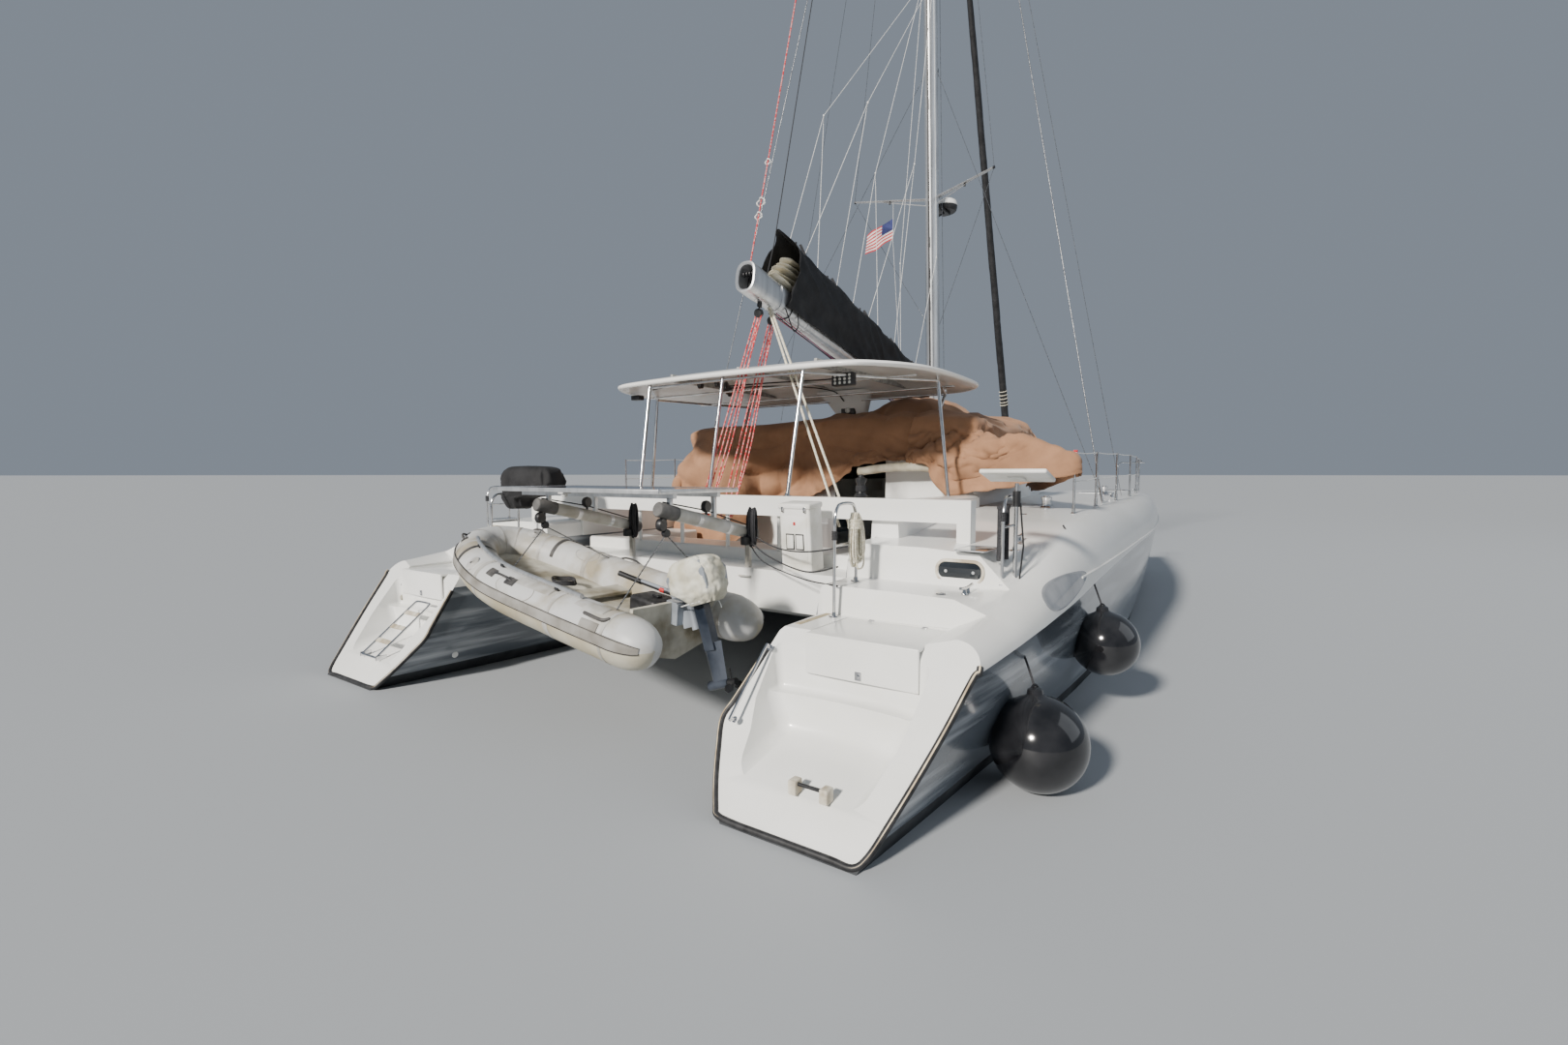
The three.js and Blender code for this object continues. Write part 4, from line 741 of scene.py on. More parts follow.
fit_bm = bmesh.new()
for x in (2.72, 2.94):
    slab(fit_bm, x - 0.028, x + 0.028, -6.925, -6.845, 0.24, 0.33, 0.008, slot=1)
sweep(fit_bm, [(2.72, -6.89, 0.305), (2.94, -6.89, 0.305)], 0.012, 12, slot=2)
handrail(fit_bm, (2.135, -6.33, 0.93), (2.12, -6.72, 0.52), (-0.01, -0.035, 0.02))
turned(fit_bm, [(0, 0.008), (0.03, 0.007), (0.034, 0), (0, 0)], (3.365, -6.2, 0.3), (1, 0, 0.05), 24)
piece("scoop_fittings_starboard", fit_bm, [chrome, worn_cream, black], "stainless")
fit_bm = bmesh.new()
turned(fit_bm, [(0, 0.006), (0.026, 0.006), (0.034, 0.003), (0.036, 0), (0, 0)], (-3.262, -6.25, 0.72),
       (1, 0, 0.18), 24, slot=1)
handrail(fit_bm, (-3.285, -6.1, 0.87), (-3.275, -6.24, 0.87), (0.035, 0, 0.01), 0.008)
turned(fit_bm, [(0, 0.01), (0.028, 0.009), (0.034, 0), (0, 0)], (-1.99, -6.35, 0.25), (1, 0, -0.1), 24, slot=2)
piece("scoop_fittings_port", fit_bm, [chrome, worn_cream, gelcoat], "stainless")

# The swim ladder: bent stainless tube with flat cream treads, folded up into the port scoop.
ladder_bm = bmesh.new()
LADDER = {"hinge": (-2.64, -6.916, 0.265), "half": 0.15, "end": 0.162, "run": 0.59, "rise": 0.8}
ladder_x, ladder_y, ladder_z = LADDER["hinge"]


def on_ladder(across, along):
    return Vector((ladder_x + across, ladder_y + along, ladder_z + LADDER["rise"] * along))


half, run = LADDER["half"], LADDER["run"]
ladder_bend = [(half, 0), (half, run * 0.5), (half, run * 0.95), (half - 0.03, run)]
ladder_line = [on_ladder(-across, along) for across, along in ladder_bend]
ladder_line += [on_ladder(across, along) for across, along in reversed(ladder_bend)]
sweep(ladder_bm, smooth_path(ladder_line, 6, pull=0.3), 0.0125, 12)
ladder_ends = [(ladder_x + sign * LADDER["end"], ladder_y, ladder_z) for sign in (-1, 1)]
sweep(ladder_bm, ladder_ends, 0.012, 12)
tilt = Matrix.Rotation(math.atan(LADDER["rise"]), 4, "X")
for part in (0.26, 0.52, 0.78):
    tread = bmesh.new()
    slab(tread, -half + 0.008, half - 0.008, -0.026, 0.026, -0.008, 0.011, 0.007, slot=1)
    middle = on_ladder(0, part * run)
    absorbed(ladder_bm, tread, Matrix.Translation(middle) @ tilt)
piece("swim_ladder_finished", ladder_bm, [chrome, worn_cream], "stainless", body="ladder",
      stands_for=("swim_ladder",))
ears_bm = bmesh.new()
for sign in (-1, 1):
    x = ladder_x + sign * (LADDER["end"] + 0.0063)
    slab(ears_bm, x - 0.006, x + 0.006, ladder_y - 0.014, ladder_y + 0.1, ladder_z - 0.03, ladder_z + 0.02, 0.004)
piece("ladder_ears", ears_bm, [chrome], "stainless")

# Ball fenders: glossy black inflatable balls with a moulded eye at the top, hung along the starboard side.
gloss = mottled("black_vinyl", (0.006, 0.006, 0.007), 0.12, ((0.005, 0.005, 0.006), (0.018, 0.018, 0.02)), 5.0,
                coat=0.5, detail=9)
rope_dark = mottled("rope_black", (0.015, 0.015, 0.017), 0.85, ((0.008, 0.008, 0.01), (0.05, 0.05, 0.055)), 160.0,
                    detail=3)
FENDERS = [
    ("fender_1", Vector((3.79, -5.48, 0.33)), 0.33, (3.45, -5.3, 1.16)),
    ("fender_2", Vector((3.88, -3.56, 0.64)), 0.29, (3.5, -3.6, 1.7)),
]
for name, centre, radius, hang in FENDERS:
    bm = bmesh.new()
    lean = Vector(hang) - centre
    profile = [(radius * math.sin(k * math.pi / 28), -radius * math.cos(k * math.pi / 28)) for k in range(26)]
    profile = [(max(r, 0.0), h) for r, h in profile] + [
        (0.075, radius * 0.972), (0.055, radius + 0.004), (0.05, radius + 0.035), (0.028, radius + 0.05),
        (0, radius + 0.05),
    ]
    lift = (lean * Vector((0.25, 0.25, 1))).normalized()
    turned(bm, profile, centre, lift, 48)
    turned(bm, [(0.0, -radius - 0.002), (0.03, -radius - 0.002), (0.04, -radius + 0.004), (0.0, -radius + 0.006)],
           centre, lift, 24)
    top = centre + lift * (radius + 0.045)
    across = lift.orthogonal().normalized()
    sweep(bm, loop_of(top, across * 0.022, lift * 0.022, 20), 0.008, 8)
    piece(name + "_ball", bm, [gloss], "black_gloss", stands_for=(name,))
    line_bm = bmesh.new()
    sweep(line_bm, smooth_path([top, top.lerp(Vector(hang), 0.5) + Vector((0.035, 0, 0)), hang], 10), 0.008, 8)
    piece(name + "_line", line_bm, [rope_dark], "sailcloth")


# The bimini is a hard top over the cockpit: one crowned white moulding with a rolled rim, a forward leg down to
# the coachroof, and a stainless frame of posts and rails under it.
BIMINI_HALF = [
    (1.5, -4.33), (1.9, -4.06), (2.12, -3.6), (2.175, -3.0), (2.12, -2.0), (1.9, -1.6), (1.5, -1.44), (0.0, -1.4),
]
BIMINI_Y = -2.9
# share of the outline and height, from the middle of the underside out over the rim to the crown
BIMINI_RINGS = [
    (0.04, 3.4), (0.2, 3.398), (0.42, 3.387), (0.6, 3.362), (0.74, 3.332), (0.88, 3.283), (0.955, 3.25),
    (0.972, 3.243), (0.976, 3.236), (0.99, 3.233), (1.0, 3.24), (1.006, 3.262), (1.002, 3.28), (0.99, 3.29),
    (0.9, 3.325), (0.77, 3.37), (0.6, 3.402), (0.45, 3.422), (0.25, 3.435), (0.05, 3.44),
]
bimini_corners = [(x, y, 0) for x, y in BIMINI_HALF] + [(-x, y, 0) for x, y in BIMINI_HALF[-2::-1]] + [(0, -4.42, 0)]
bimini_outline = smooth_path(bimini_corners, 6, closed=True, pull=0.42)
bm = bmesh.new()
loft(bm, [[Vector((p.x * s, BIMINI_Y + (p.y - BIMINI_Y) * s, z)) for p in bimini_outline] for s, z in BIMINI_RINGS])


def boxy(value, power):
    """A sine or cosine drawn out towards its ends, which makes a squarish round."""
    return math.copysign(abs(value) ** power, value)


LEG_X = 0.12
# height, middle y, half width and half length of the forward leg
LEG = [(3.33, -1.75, 0.42, 0.16), (3.22, -1.62, 0.34, 0.13), (3.05, -1.52, 0.25, 0.1), (2.86, -1.5, 0.27, 0.12)]
loft(bm, [
    [Vector((LEG_X + half_x * boxy(math.cos(t), 0.6), y + half_y * boxy(math.sin(t), 0.6), z)) for t in around(28)]
    for z, y, half_x, half_y in LEG
])
slab(bm, 0.02, 0.24, -1.66, -1.6, 3.02, 3.14, 0.012, slot=1)
turned(bm, [(0, 0.02), (0.03, 0.02), (0.042, 0.008), (0.044, 0), (0, 0)], (0.13, -1.655, 3.08), (0, -1, 0), 24,
       slot=2)
# strips along the joints of the underside, two lamps, and the cluster of black blocks and cable under it
for x in (-1.05, 0.0, 1.05):
    slab(bm, x - 0.018, x + 0.018, -4.0, -1.75, 3.29 + 0.07 * (1 - abs(x) / 1.5), 3.4, 0.004, slot=3)
slab(bm, 1.2, 1.46, -3.92, -3.84, 3.1, 3.235, 0.012, slot=1)
for row in range(3):
    for column in range(4):
        turned(bm, [(0, 0.006), (0.012, 0.006), (0.016, 0), (0, 0)],
               (1.245 + column * 0.058, -3.921, 3.13 + row * 0.038), (0, -1, 0), 12, slot=4)
slab(bm, -2.02, -1.86, -3.78, -3.68, 3.16, 3.225, 0.012, slot=1)
for x, y, size in ((-0.62, -3.95, 0.05), (-0.5, -3.62, 0.06), (-0.68, -3.35, 0.055), (-0.85, -3.1, 0.05),
                   (-0.4, -3.9, 0.04)):
    turned(bm, [(0, size * 0.5), (size, size * 0.45), (size, -size * 0.45), (0, -size * 0.5)], (x, y, 3.25),
           (1, 0.3, 0.1), 20, slot=1)
for line in (
    [(-1.5, -3.9, 3.25), (-0.9, -3.92, 3.29), (-0.4, -3.75, 3.3), (0.4, -3.8, 3.3), (1.3, -3.88, 3.24)],
    [(-0.62, -3.6, 3.26), (-0.2, -3.1, 3.33), (0.5, -2.9, 3.34), (1.2, -3.3, 3.28)],
    [(-0.7, -3.3, 3.28), (-0.3, -2.6, 3.35), (0.05, -2.0, 3.33), (0.12, -1.75, 3.2)],
):
    sweep(bm, smooth_path(line, 8), 0.009, 6, slot=1)
lens = mottled("lamp_lens", (0.6, 0.6, 0.55), 0.1, ((0.45, 0.45, 0.42), (0.75, 0.75, 0.7)), 40.0)
joint_grey = mottled("sealant_grey", (0.3, 0.3, 0.29), 0.7, ((0.22, 0.22, 0.21), (0.42, 0.42, 0.4)), 20.0)
piece("bimini_moulding", bm, [gelcoat, black, lens, joint_grey, lens], "gelcoat", stands_for=("bimini_top",),
      angle=50)

# Posts of the frame, foot then head: they stand on the aft beam, the coamings and the roof, each in a round flange.
POST_R = 0.02
FRAME_Z = 3.205
POSTS = [
    ((2.14, -2.92, 1.86), (2.0, -2.95)), ((1.1, -4.6, 1.95), (1.1, -4.32)), ((0.07, -4.6, 1.95), (0.07, -4.36)),
    ((-1.0, -4.6, 1.95), (-1.1, -4.32)), ((-2.14, -3.3, 1.86), (-2.0, -3.3)), ((-1.55, -1.9, 2.84), (-1.6, -1.7)),
    ((1.55, -1.9, 2.84), (1.6, -1.7)),
]
bm = bmesh.new()
for foot, (head_x, head_y) in POSTS:
    sweep(bm, smooth_path([foot, Vector(foot).lerp(Vector((head_x, head_y, FRAME_Z)), 0.5),
                           (head_x, head_y, FRAME_Z), (head_x, head_y, FRAME_Z + 0.058)], 4, pull=0.3), POST_R, 16)
    turned(bm, [(0, 0.03), (POST_R + 0.006, 0.028), (POST_R + 0.008, 0.01), (0.045, 0.006), (0.045, 0), (0, 0)],
           foot, (0, 0, 1), 24)
heads = [(x, y, FRAME_Z) for _, (x, y) in POSTS]
for i, head in enumerate(heads):
    sweep(bm, [head, heads[(i + 1) % len(heads)]], 0.016, 12)
for y in (-2.4, -3.5):
    sweep(bm, [(-1.985, y, FRAME_Z), (1.985, y, FRAME_Z)], 0.014, 12)
piece("bimini_tubes", bm, [stainless], "stainless", stands_for=("bimini_frame",), angle=50)


# A loose tan canvas cover lies over the coachroof and the gear on it. It hangs down the saloon walls in folds,
# covers the helm to port, is rolled up over the door, and its starboard corner is tied out to a stanchion.
COVER_MIDDLE = Vector((0.0, 0.2, 0.0))
COVER_COUNT = 330
ROOF_EDGE = [
    (2.19, -2.37), (2.19, 0.02), (1.78, 1.19), (1.16, 1.98), (0.0, 2.25), (-1.16, 1.98), (-1.78, 1.19), (-2.19, 0.02),
    (-2.19, -2.37),
]
# roof height over the eave by the distance in from the roof's edge
ROOF_RISE = [(0.0, 2.77), (0.07, 2.83), (0.26, 2.876), (0.9, 2.912), (9.0, 2.912)]
GEAR = [  # middle x, y; half width and length; rise of what the cover lies on
    (0.93, -0.9, 0.66, 0.92, 0.34), (0.2, -1.55, 0.5, 0.4, 0.09), (-0.6, -0.5, 0.9, 0.7, 0.1),
    (1.5, 0.5, 0.6, 0.9, 0.09),
]
ROOF_Z = 2.9
TIE_OUT = Vector((3.43, -2.71, 2.36))
HOUSE_AFT_Y = -2.2  # aft of this the cover hangs clear of the saloon's bulkhead
EAVE_CLEAR = 0.028  # how far the cover starts off the roof


def table_at(table, key):
    for (a, low), (b, high) in zip(table, table[1:]):
        if key <= b:
            return lerp(low, high, (key - a) / (b - a))
    return table[-1][1]


def eased(t):
    t = min(max(t, 0.0), 1.0)
    return t * t * (3 - 2 * t)


def evenly(points, count):
    """A closed line's points, spaced evenly along it."""
    lengths = [(b - a).length for a, b in zip(points, points[1:] + points[:1])]
    total = sum(lengths)
    spaced, i, passed = [], 0, 0.0
    for k in range(count):
        want = total * k / count
        while passed + lengths[i] < want:
            passed += lengths[i]
            i += 1
        a, b = points[i], points[(i + 1) % len(points)]
        spaced.append(a.lerp(b, (want - passed) / lengths[i]))
    return spaced


corner_path = []
for i, (x, y) in enumerate(ROOF_EDGE):
    before, after = Vector((*ROOF_EDGE[i - 1], 0)), Vector((*ROOF_EDGE[(i + 1) % len(ROOF_EDGE)], 0))
    here = Vector((x, y, 0))
    near, far = here + (before - here).normalized() * 0.14, here + (after - here).normalized() * 0.14
    for k in range(6):
        t = k / 5
        corner_path.append(near * (1 - t) ** 2 + here * 2 * t * (1 - t) + far * t**2)
eave = evenly(corner_path, COVER_COUNT)


def inside_distance(point):
    """How far a point lies in from the roof's edge."""
    best = 9.0
    for i, corner in enumerate(ROOF_EDGE):
        a, b = Vector(corner), Vector(ROOF_EDGE[(i + 1) % len(ROOF_EDGE)])
        part = min(max((point - a).dot(b - a) / (b - a).length_squared, 0), 1)
        best = min(best, (point - a.lerp(b, part)).length)
    return best


def roof_cover_z(x, y):
    z = table_at(ROOF_RISE, inside_distance(Vector((x, y))))
    lifted = 0.0
    for gx, gy, half_x, half_y, rise in GEAR:
        reach = math.hypot((x - gx) / half_x, (y - gy) / half_y)
        lifted = max(lifted, rise * eased(1.25 - reach * 1.15) if reach < 1.1 else 0.0)
    spread = 0.022 * noise.noise(Vector((x * 1.6, y * 1.6, 3.1))) + 0.012 * noise.noise(Vector((x * 4, y * 4, 8.2)))
    gear_x, gear_y = x - GEAR[0][0], y - GEAR[0][1]
    ridges = 0.02 * (1 - abs(math.sin(5 * math.atan2(gear_y, gear_x)))) ** 3 * eased(math.hypot(gear_x, gear_y))
    return z + lifted + max(spread, -0.01) + ridges


def hem_z(x, y):
    """Height of the cover's lower edge, by where it hangs."""
    ragged = 0.035 * noise.noise(Vector((x * 1.7, y * 1.7, 5.0)))
    if y < HOUSE_AFT_Y:
        return table_at([(-2.3, 2.12), (-2.02, 2.02), (-1.9, 1.32), (-0.95, 1.4), (-0.78, 1.88), (0.0, 1.97),
                         (0.25, 2.08), (0.7, 2.26), (1.2, 2.34), (1.7, 2.3), (1.86, 1.9), (2.3, 1.93)], x) + ragged
    return table_at([(-2.2, 1.96), (0.0, 2.02), (1.6, 2.1), (2.4, 2.2)], y) + ragged


def helm_bulge(x, z):
    """How far aft of the bulkhead the cover stands where it goes over the helm."""
    across = eased((x + 2.08) / 0.16) * eased((-0.76 - x) / 0.2)
    return across * table_at([(1.2, 0.75), (1.5, 0.73), (2.3, 0.69), (2.64, 0.12), (2.8, 0.0), (3.0, 0.0)], z)


rows = []
TOP_ROWS, SIDE_ROWS = 22, 26
for k in range(TOP_ROWS):
    share = 0.03 + 0.97 * (k / (TOP_ROWS - 1)) ** 0.85
    row = []
    for point in eave:
        flat = COVER_MIDDLE + (point - COVER_MIDDLE) * share
        row.append(Vector((flat.x, flat.y, roof_cover_z(flat.x, flat.y))))
    rows.append(row)
perimeter = 0.0
along = []
for i, point in enumerate(eave):
    along.append(perimeter)
    perimeter += (eave[(i + 1) % COVER_COUNT] - point).length
for k in range(1, SIDE_ROWS + 1):
    v = k / SIDE_ROWS
    row = []
    for i, point in enumerate(eave):
        ahead, behind = eave[(i + 1) % COVER_COUNT], eave[i - 1]
        outward = Vector(((ahead - behind).y, -(ahead - behind).x, 0)).normalized()
        if outward.dot(point - COVER_MIDDLE) < 0:
            outward = -outward
        low = hem_z(point.x, point.y)
        z = lerp(2.765, low, v)
        u = along[i]
        round_u = Vector((math.cos(u * math.tau / perimeter), math.sin(u * math.tau / perimeter), 0))
        pleats = noise.noise(round_u * 9.0 + Vector((0, 0, v * 0.5)))
        fine = noise.noise(round_u * 26.0 + Vector((0, 0, 4 + v * 0.9)))
        swag = noise.noise(round_u * 3.0 + Vector((0, 0, 9 + v * 5.0)))
        folds = eased(v * 1.6) * (0.085 * (1 - abs(pleats) * 2.4) + 0.035 * (1 - abs(fine) * 2.4)) + 0.03 * swag * v
        stand = 0.02 + 0.075 * eased(v * 2) + max(folds, -0.03)
        spot = point + outward * stand
        if point.y < HOUSE_AFT_Y:
            spot.y -= helm_bulge(point.x, z)
        spot.z = z + 0.012 * noise.noise(round_u * 14 + Vector((0, 0, 2 + v * 3)))
        wing = 0.0
        if point.x > 1.3 and point.y < 0.2:
            reach = abs(point.y + 2.37) / 2.5 if point.x > 2.1 else abs(point.x - 2.19) / 0.42
            wing = max(0.0, 1 - reach)
        if wing:
            pulled = point.lerp(TIE_OUT, min(v / 0.86, 1.0))
            pulled.z = lerp(2.77, TIE_OUT.z, min(v / 0.86, 1.0)) - max(v - 0.86, 0) * 1.5
            reachout = wing ** 1.15
            sagging = Vector((0, 0, -0.1 * math.sin(math.pi * v) * (1 - wing)))
            crease = 0.03 * (1 - abs(noise.noise(Vector((u * 6.0, v * 0.6, 1.0)))) * 3)
            crease *= math.sin(math.pi * min(v, 0.98))
            spot = spot.lerp(pulled + sagging + outward * crease, eased(reachout) if wing < 1 else 1.0)
        row.append(spot)
    rows.append(row)


def solid_copy(*nodes):
    """CAD solids merged in one bmesh, for the cover to lie against."""
    bm = bmesh.new()
    for node in nodes:
        bm.from_mesh(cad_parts[node].data)
    bmesh.ops.remove_doubles(bm, verts=bm.verts, dist=2e-5)
    return bm


def relaxed(bm, factor, times=1, from_y=-99.0):
    """Smooths the sheet ahead of a station, but not its edge."""
    inner = [vert for vert in bm.verts if not vert.is_boundary and vert.co.y > from_y]
    for _ in range(times):
        bmesh.ops.smooth_vert(bm, verts=inner, factor=factor, use_axis_x=True, use_axis_y=True, use_axis_z=True)


# The cover starts clear of the roof and of what shows outside the walls.
house = solid_copy("coachroof", "saloon_walls", "saloon_windows")
house_tree = BVHTree.FromBMesh(house)
roof = solid_copy("coachroof")
roof_tree = BVHTree.FromBMesh(roof)
roof.free()
for k, row in enumerate(rows):
    for i, spot in enumerate(row):
        near, normal, _, distance = roof_tree.find_nearest(spot)
        if (spot - near).dot(normal) < 0 or distance < EAVE_CLEAR:
            spot = near + normal * EAVE_CLEAR
        if k >= TOP_ROWS:
            outward = Vector((spot.x - COVER_MIDDLE.x, spot.y - COVER_MIDDLE.y, 0)).normalized()
            hit = house_tree.ray_cast(spot + outward * 1.2, -outward, 1.2)[0]
            if hit:
                spot = hit + outward * 0.03
        rows[k][i] = spot
bm = bmesh.new()
loft(bm, rows, caps=False)
bmesh.ops.contextual_create(bm, geom=[edge for edge in bm.edges if edge.is_boundary and edge.calc_length() < 0.02
                                      and edge.verts[0].co.z > 2.85])
bmesh.ops.remove_doubles(bm, verts=bm.verts, dist=0.016)
bmesh.ops.triangulate(bm, faces=bm.faces)
relaxed(bm, 0.35, times=2)


def woven(tree, shader, place, threads, strength, wrinkle=0.35):
    """Two crossed sets of threads and a soft crumple, as bump on the object's own coordinates."""

    def wave(direction):
        texture = tree.nodes.new("ShaderNodeTexWave")
        texture.wave_type = "BANDS"
        texture.bands_direction = direction
        texture.inputs["Scale"].default_value = threads
        texture.inputs["Distortion"].default_value = 1.5
        texture.inputs["Detail"].default_value = 2
        tree.links.new(place.outputs["Object"], texture.inputs["Vector"])
        return texture

    crumple = tree.nodes.new("ShaderNodeTexNoise")
    crumple.inputs["Scale"].default_value = 9
    crumple.inputs["Detail"].default_value = 10
    crumple.inputs["Distortion"].default_value = 0.6
    tree.links.new(place.outputs["Object"], crumple.inputs["Vector"])
    previous = bumped(tree, shader, crumple, wrinkle, 0.03)
    for direction in ("X", "Z"):
        threads_bump = tree.nodes.new("ShaderNodeBump")
        threads_bump.inputs["Strength"].default_value = strength
        threads_bump.inputs["Distance"].default_value = 0.0012
        tree.links.new(wave(direction).outputs["Fac"], threads_bump.inputs["Height"])
        tree.links.new(previous.outputs["Normal"], threads_bump.inputs["Normal"])
        previous = threads_bump
    tree.links.new(previous.outputs["Normal"], shader.inputs["Normal"])


def woven_cloth(name, color, roughness, tints, scale, weave, sheen=0.0, **more):
    """A cloth material. weave gives the threads' number, their strength and that of the wrinkles."""
    material, tree, shader = node_material(name, color, roughness)
    shader.inputs["Sheen Weight"].default_value = sheen
    woven(tree, shader, tinted_noise(tree, shader, tints, scale, **more), *weave)
    return material


canvas = woven_cloth("canvas_tan", (0.44, 0.21, 0.11), 0.88, ((0.27, 0.138, 0.072), (0.41, 0.218, 0.118)), 2.4,
                     (90, 0.25), sheen=0.08, detail=9, spread=(0.3, 0.7))
cover = piece("canvas_sheet", bm, [canvas], "canvas", body=None, stands_for=("canvas_cover",), angle=180)


def solid_for_cloth(name, bm, friction=15):
    mesh = bpy.data.meshes.new(name)
    bm.to_mesh(mesh)
    bm.free()
    obj = bpy.data.objects.new(name, mesh)
    bpy.context.scene.collection.objects.link(obj)
    obj.modifiers.new("collision", "COLLISION")
    obj.collision.thickness_outer = 0.012
    obj.collision.cloth_friction = friction
    return obj


def settled(obj, solids, frames, slack, held, loose):
    """Lets a sheet cut larger than its shape hang and crease over solids.

    held gives how firmly each vertex is kept and loose where it has the second of the two slacks.
    """
    for name, share in (("held", held), ("loose", loose)):
        group = obj.vertex_groups.new(name=name)
        for vert in obj.data.vertices:
            weight = share(vert.co)
            if weight:
                group.add([vert.index], weight, "REPLACE")
    cloth = obj.modifiers.new("cloth", "CLOTH")
    cloth.settings.quality = 6
    cloth.settings.mass = 0.4
    cloth.settings.tension_stiffness = 20
    cloth.settings.compression_stiffness = 20
    cloth.settings.shear_stiffness = 8
    cloth.settings.bending_stiffness = 0.35
    cloth.settings.air_damping = 1
    cloth.settings.effector_weights.gravity = 2.5
    cloth.settings.shrink_min = -slack[0]
    cloth.settings.shrink_max = -slack[1]
    cloth.settings.vertex_group_shrink = "loose"
    cloth.settings.vertex_group_mass = "held"
    cloth.settings.pin_stiffness = 1
    cloth.collision_settings.collision_quality = 3
    cloth.collision_settings.distance_min = 0.012
    cloth.point_cache.frame_end = frames
    for step in range(1, frames + 1):
        bpy.context.scene.frame_set(step)
    applied(obj)
    bpy.context.scene.frame_set(1)
    for solid in solids:
        mesh = solid.data
        bpy.data.objects.remove(solid)
        bpy.data.meshes.remove(mesh)


# Solids under the cover: the house, lumps of gear on the roof, and the helm with its wheel.
gear_bm = bmesh.new()
for gx, gy, half_x, half_y, rise in GEAR:
    lump = bmesh.new()
    turned(lump, [(0, rise - 0.03), (0.3, rise - 0.035), (0.62, rise * 0.72), (0.9, rise * 0.3), (1.1, 0.0), (0, 0)],
           (0, 0, 0), (0, 0, 1), 28)
    absorbed(gear_bm, lump, Matrix.Translation((gx, gy, ROOF_Z)) @ Matrix.Diagonal((half_x, half_y, 1, 1)))
helm_bm = bmesh.new()
slab(helm_bm, -1.93, -0.92, -2.95, -2.34, 1.35, 2.24, 0.05)
slab(helm_bm, -1.88, -0.98, -2.6, -2.34, 2.2, 2.5, 0.08)


WING_ROOT = Vector((2.2, -2.38, 2.79))


def cover_hold(spot):
    """Held along the taut fold to the tied corner, and where the cover is rolled up over the door."""
    along = (spot - WING_ROOT).dot(TIE_OUT - WING_ROOT) / (TIE_OUT - WING_ROOT).length_squared
    on_fold = 0.1 < along < 1.05 and (spot - WING_ROOT.lerp(TIE_OUT, min(along, 1))).length < 0.035
    if on_fold or (spot - TIE_OUT).length < 0.1:
        return 1.0
    if spot.y < -2.3 and 0.7 < spot.x < 1.86 and spot.z < 2.36:
        return 1.0
    return 0.0


def cover_loose(spot):
    """Most slack over the helm, where the cover hangs in deep swags, and down the sides."""
    if spot.y < -2.3 and spot.x < 0.4:
        return 1.0
    return 0.45 if spot.z < 2.6 else 0.0


settled(cover, [solid_for_cloth("house_under", house), solid_for_cloth("gear_under", gear_bm),
                solid_for_cloth("helm_under", helm_bm)], 30, (0.03, 0.13), cover_hold, cover_loose)


def ridged(phase, soft=1.0):
    """Rounded folds with a crease between them."""
    return abs(math.sin(math.pi * phase)) ** soft


def fold_at(spot):
    """How far the cloth stands up in the folds that hang from its held points."""
    wander = noise.noise(spot * 1.1) * 0.9
    lift = 0.0
    if spot.y < -2.25:
        helm = eased((0.1 - spot.x) / 0.5) * eased((2.72 - spot.z) / 0.2)
        sag = spot.z - 0.42 * ((spot.x + 1.0) / 1.0) ** 2
        lift += 0.09 * helm * ridged(sag / 0.36 + 0.5 * wander, 0.8) * (0.6 + 0.4 * noise.noise(spot * 1.7))
        flap = eased((spot.x - 0.1) / 0.3) * eased((1.75 - spot.x) / 0.2) * eased((2.74 - spot.z) / 0.1)
        lift += 0.025 * flap * ridged((spot.x * 0.5 + spot.z * 1.6) / 0.3 + wander)
    if spot.x > 1.45 and spot.y < 0.3 and spot.z < 2.82:
        for anchor in (Vector((1.78, -2.38, 2.8)), WING_ROOT):
            from_anchor = spot - anchor
            turn = math.atan2(-from_anchor.z, from_anchor.x + 0.4 * from_anchor.y + 1e-6)
            lift += 0.045 * ridged(turn * 2.9 + wander, 0.8) * eased(from_anchor.length / 0.35)
    elif spot.z < 2.74 and spot.y > -2.25:
        around = math.atan2(spot.y - COVER_MIDDLE.y, spot.x) * 13
        lift += 0.055 * eased((2.74 - spot.z) / 0.3) * ridged(around + wander * 1.6)
    elif spot.z >= 2.82:
        gear = spot - Vector((*GEAR[0][:2], ROOF_Z))
        turn = math.atan2(gear.y, gear.x)
        reach = gear.xy.length
        lift += 0.045 * ridged(turn * 1.75 + 0.8 * wander, 0.7) * eased(reach / 0.5) * eased((2.6 - reach) / 1.2)
    return max(lift, 0.0)


def kept_clear(bm):
    """Moves what dips into the roof or the walls back out, to lie on them."""
    for vert in bm.verts:
        near, normal, _, distance = roof_tree.find_nearest(vert.co)
        if distance < 0.03 or (vert.co - near).dot(normal) < 0 and distance < 0.2:
            vert.co = near + normal * 0.03
        outward = Vector((vert.co.x - COVER_MIDDLE.x, vert.co.y - COVER_MIDDLE.y, 0)).normalized()
        hit = house_tree.ray_cast(vert.co + outward * 1.2, -outward, 1.222)[0] if vert.co.z < 2.75 else None
        if hit:
            vert.co = hit + outward * 0.022


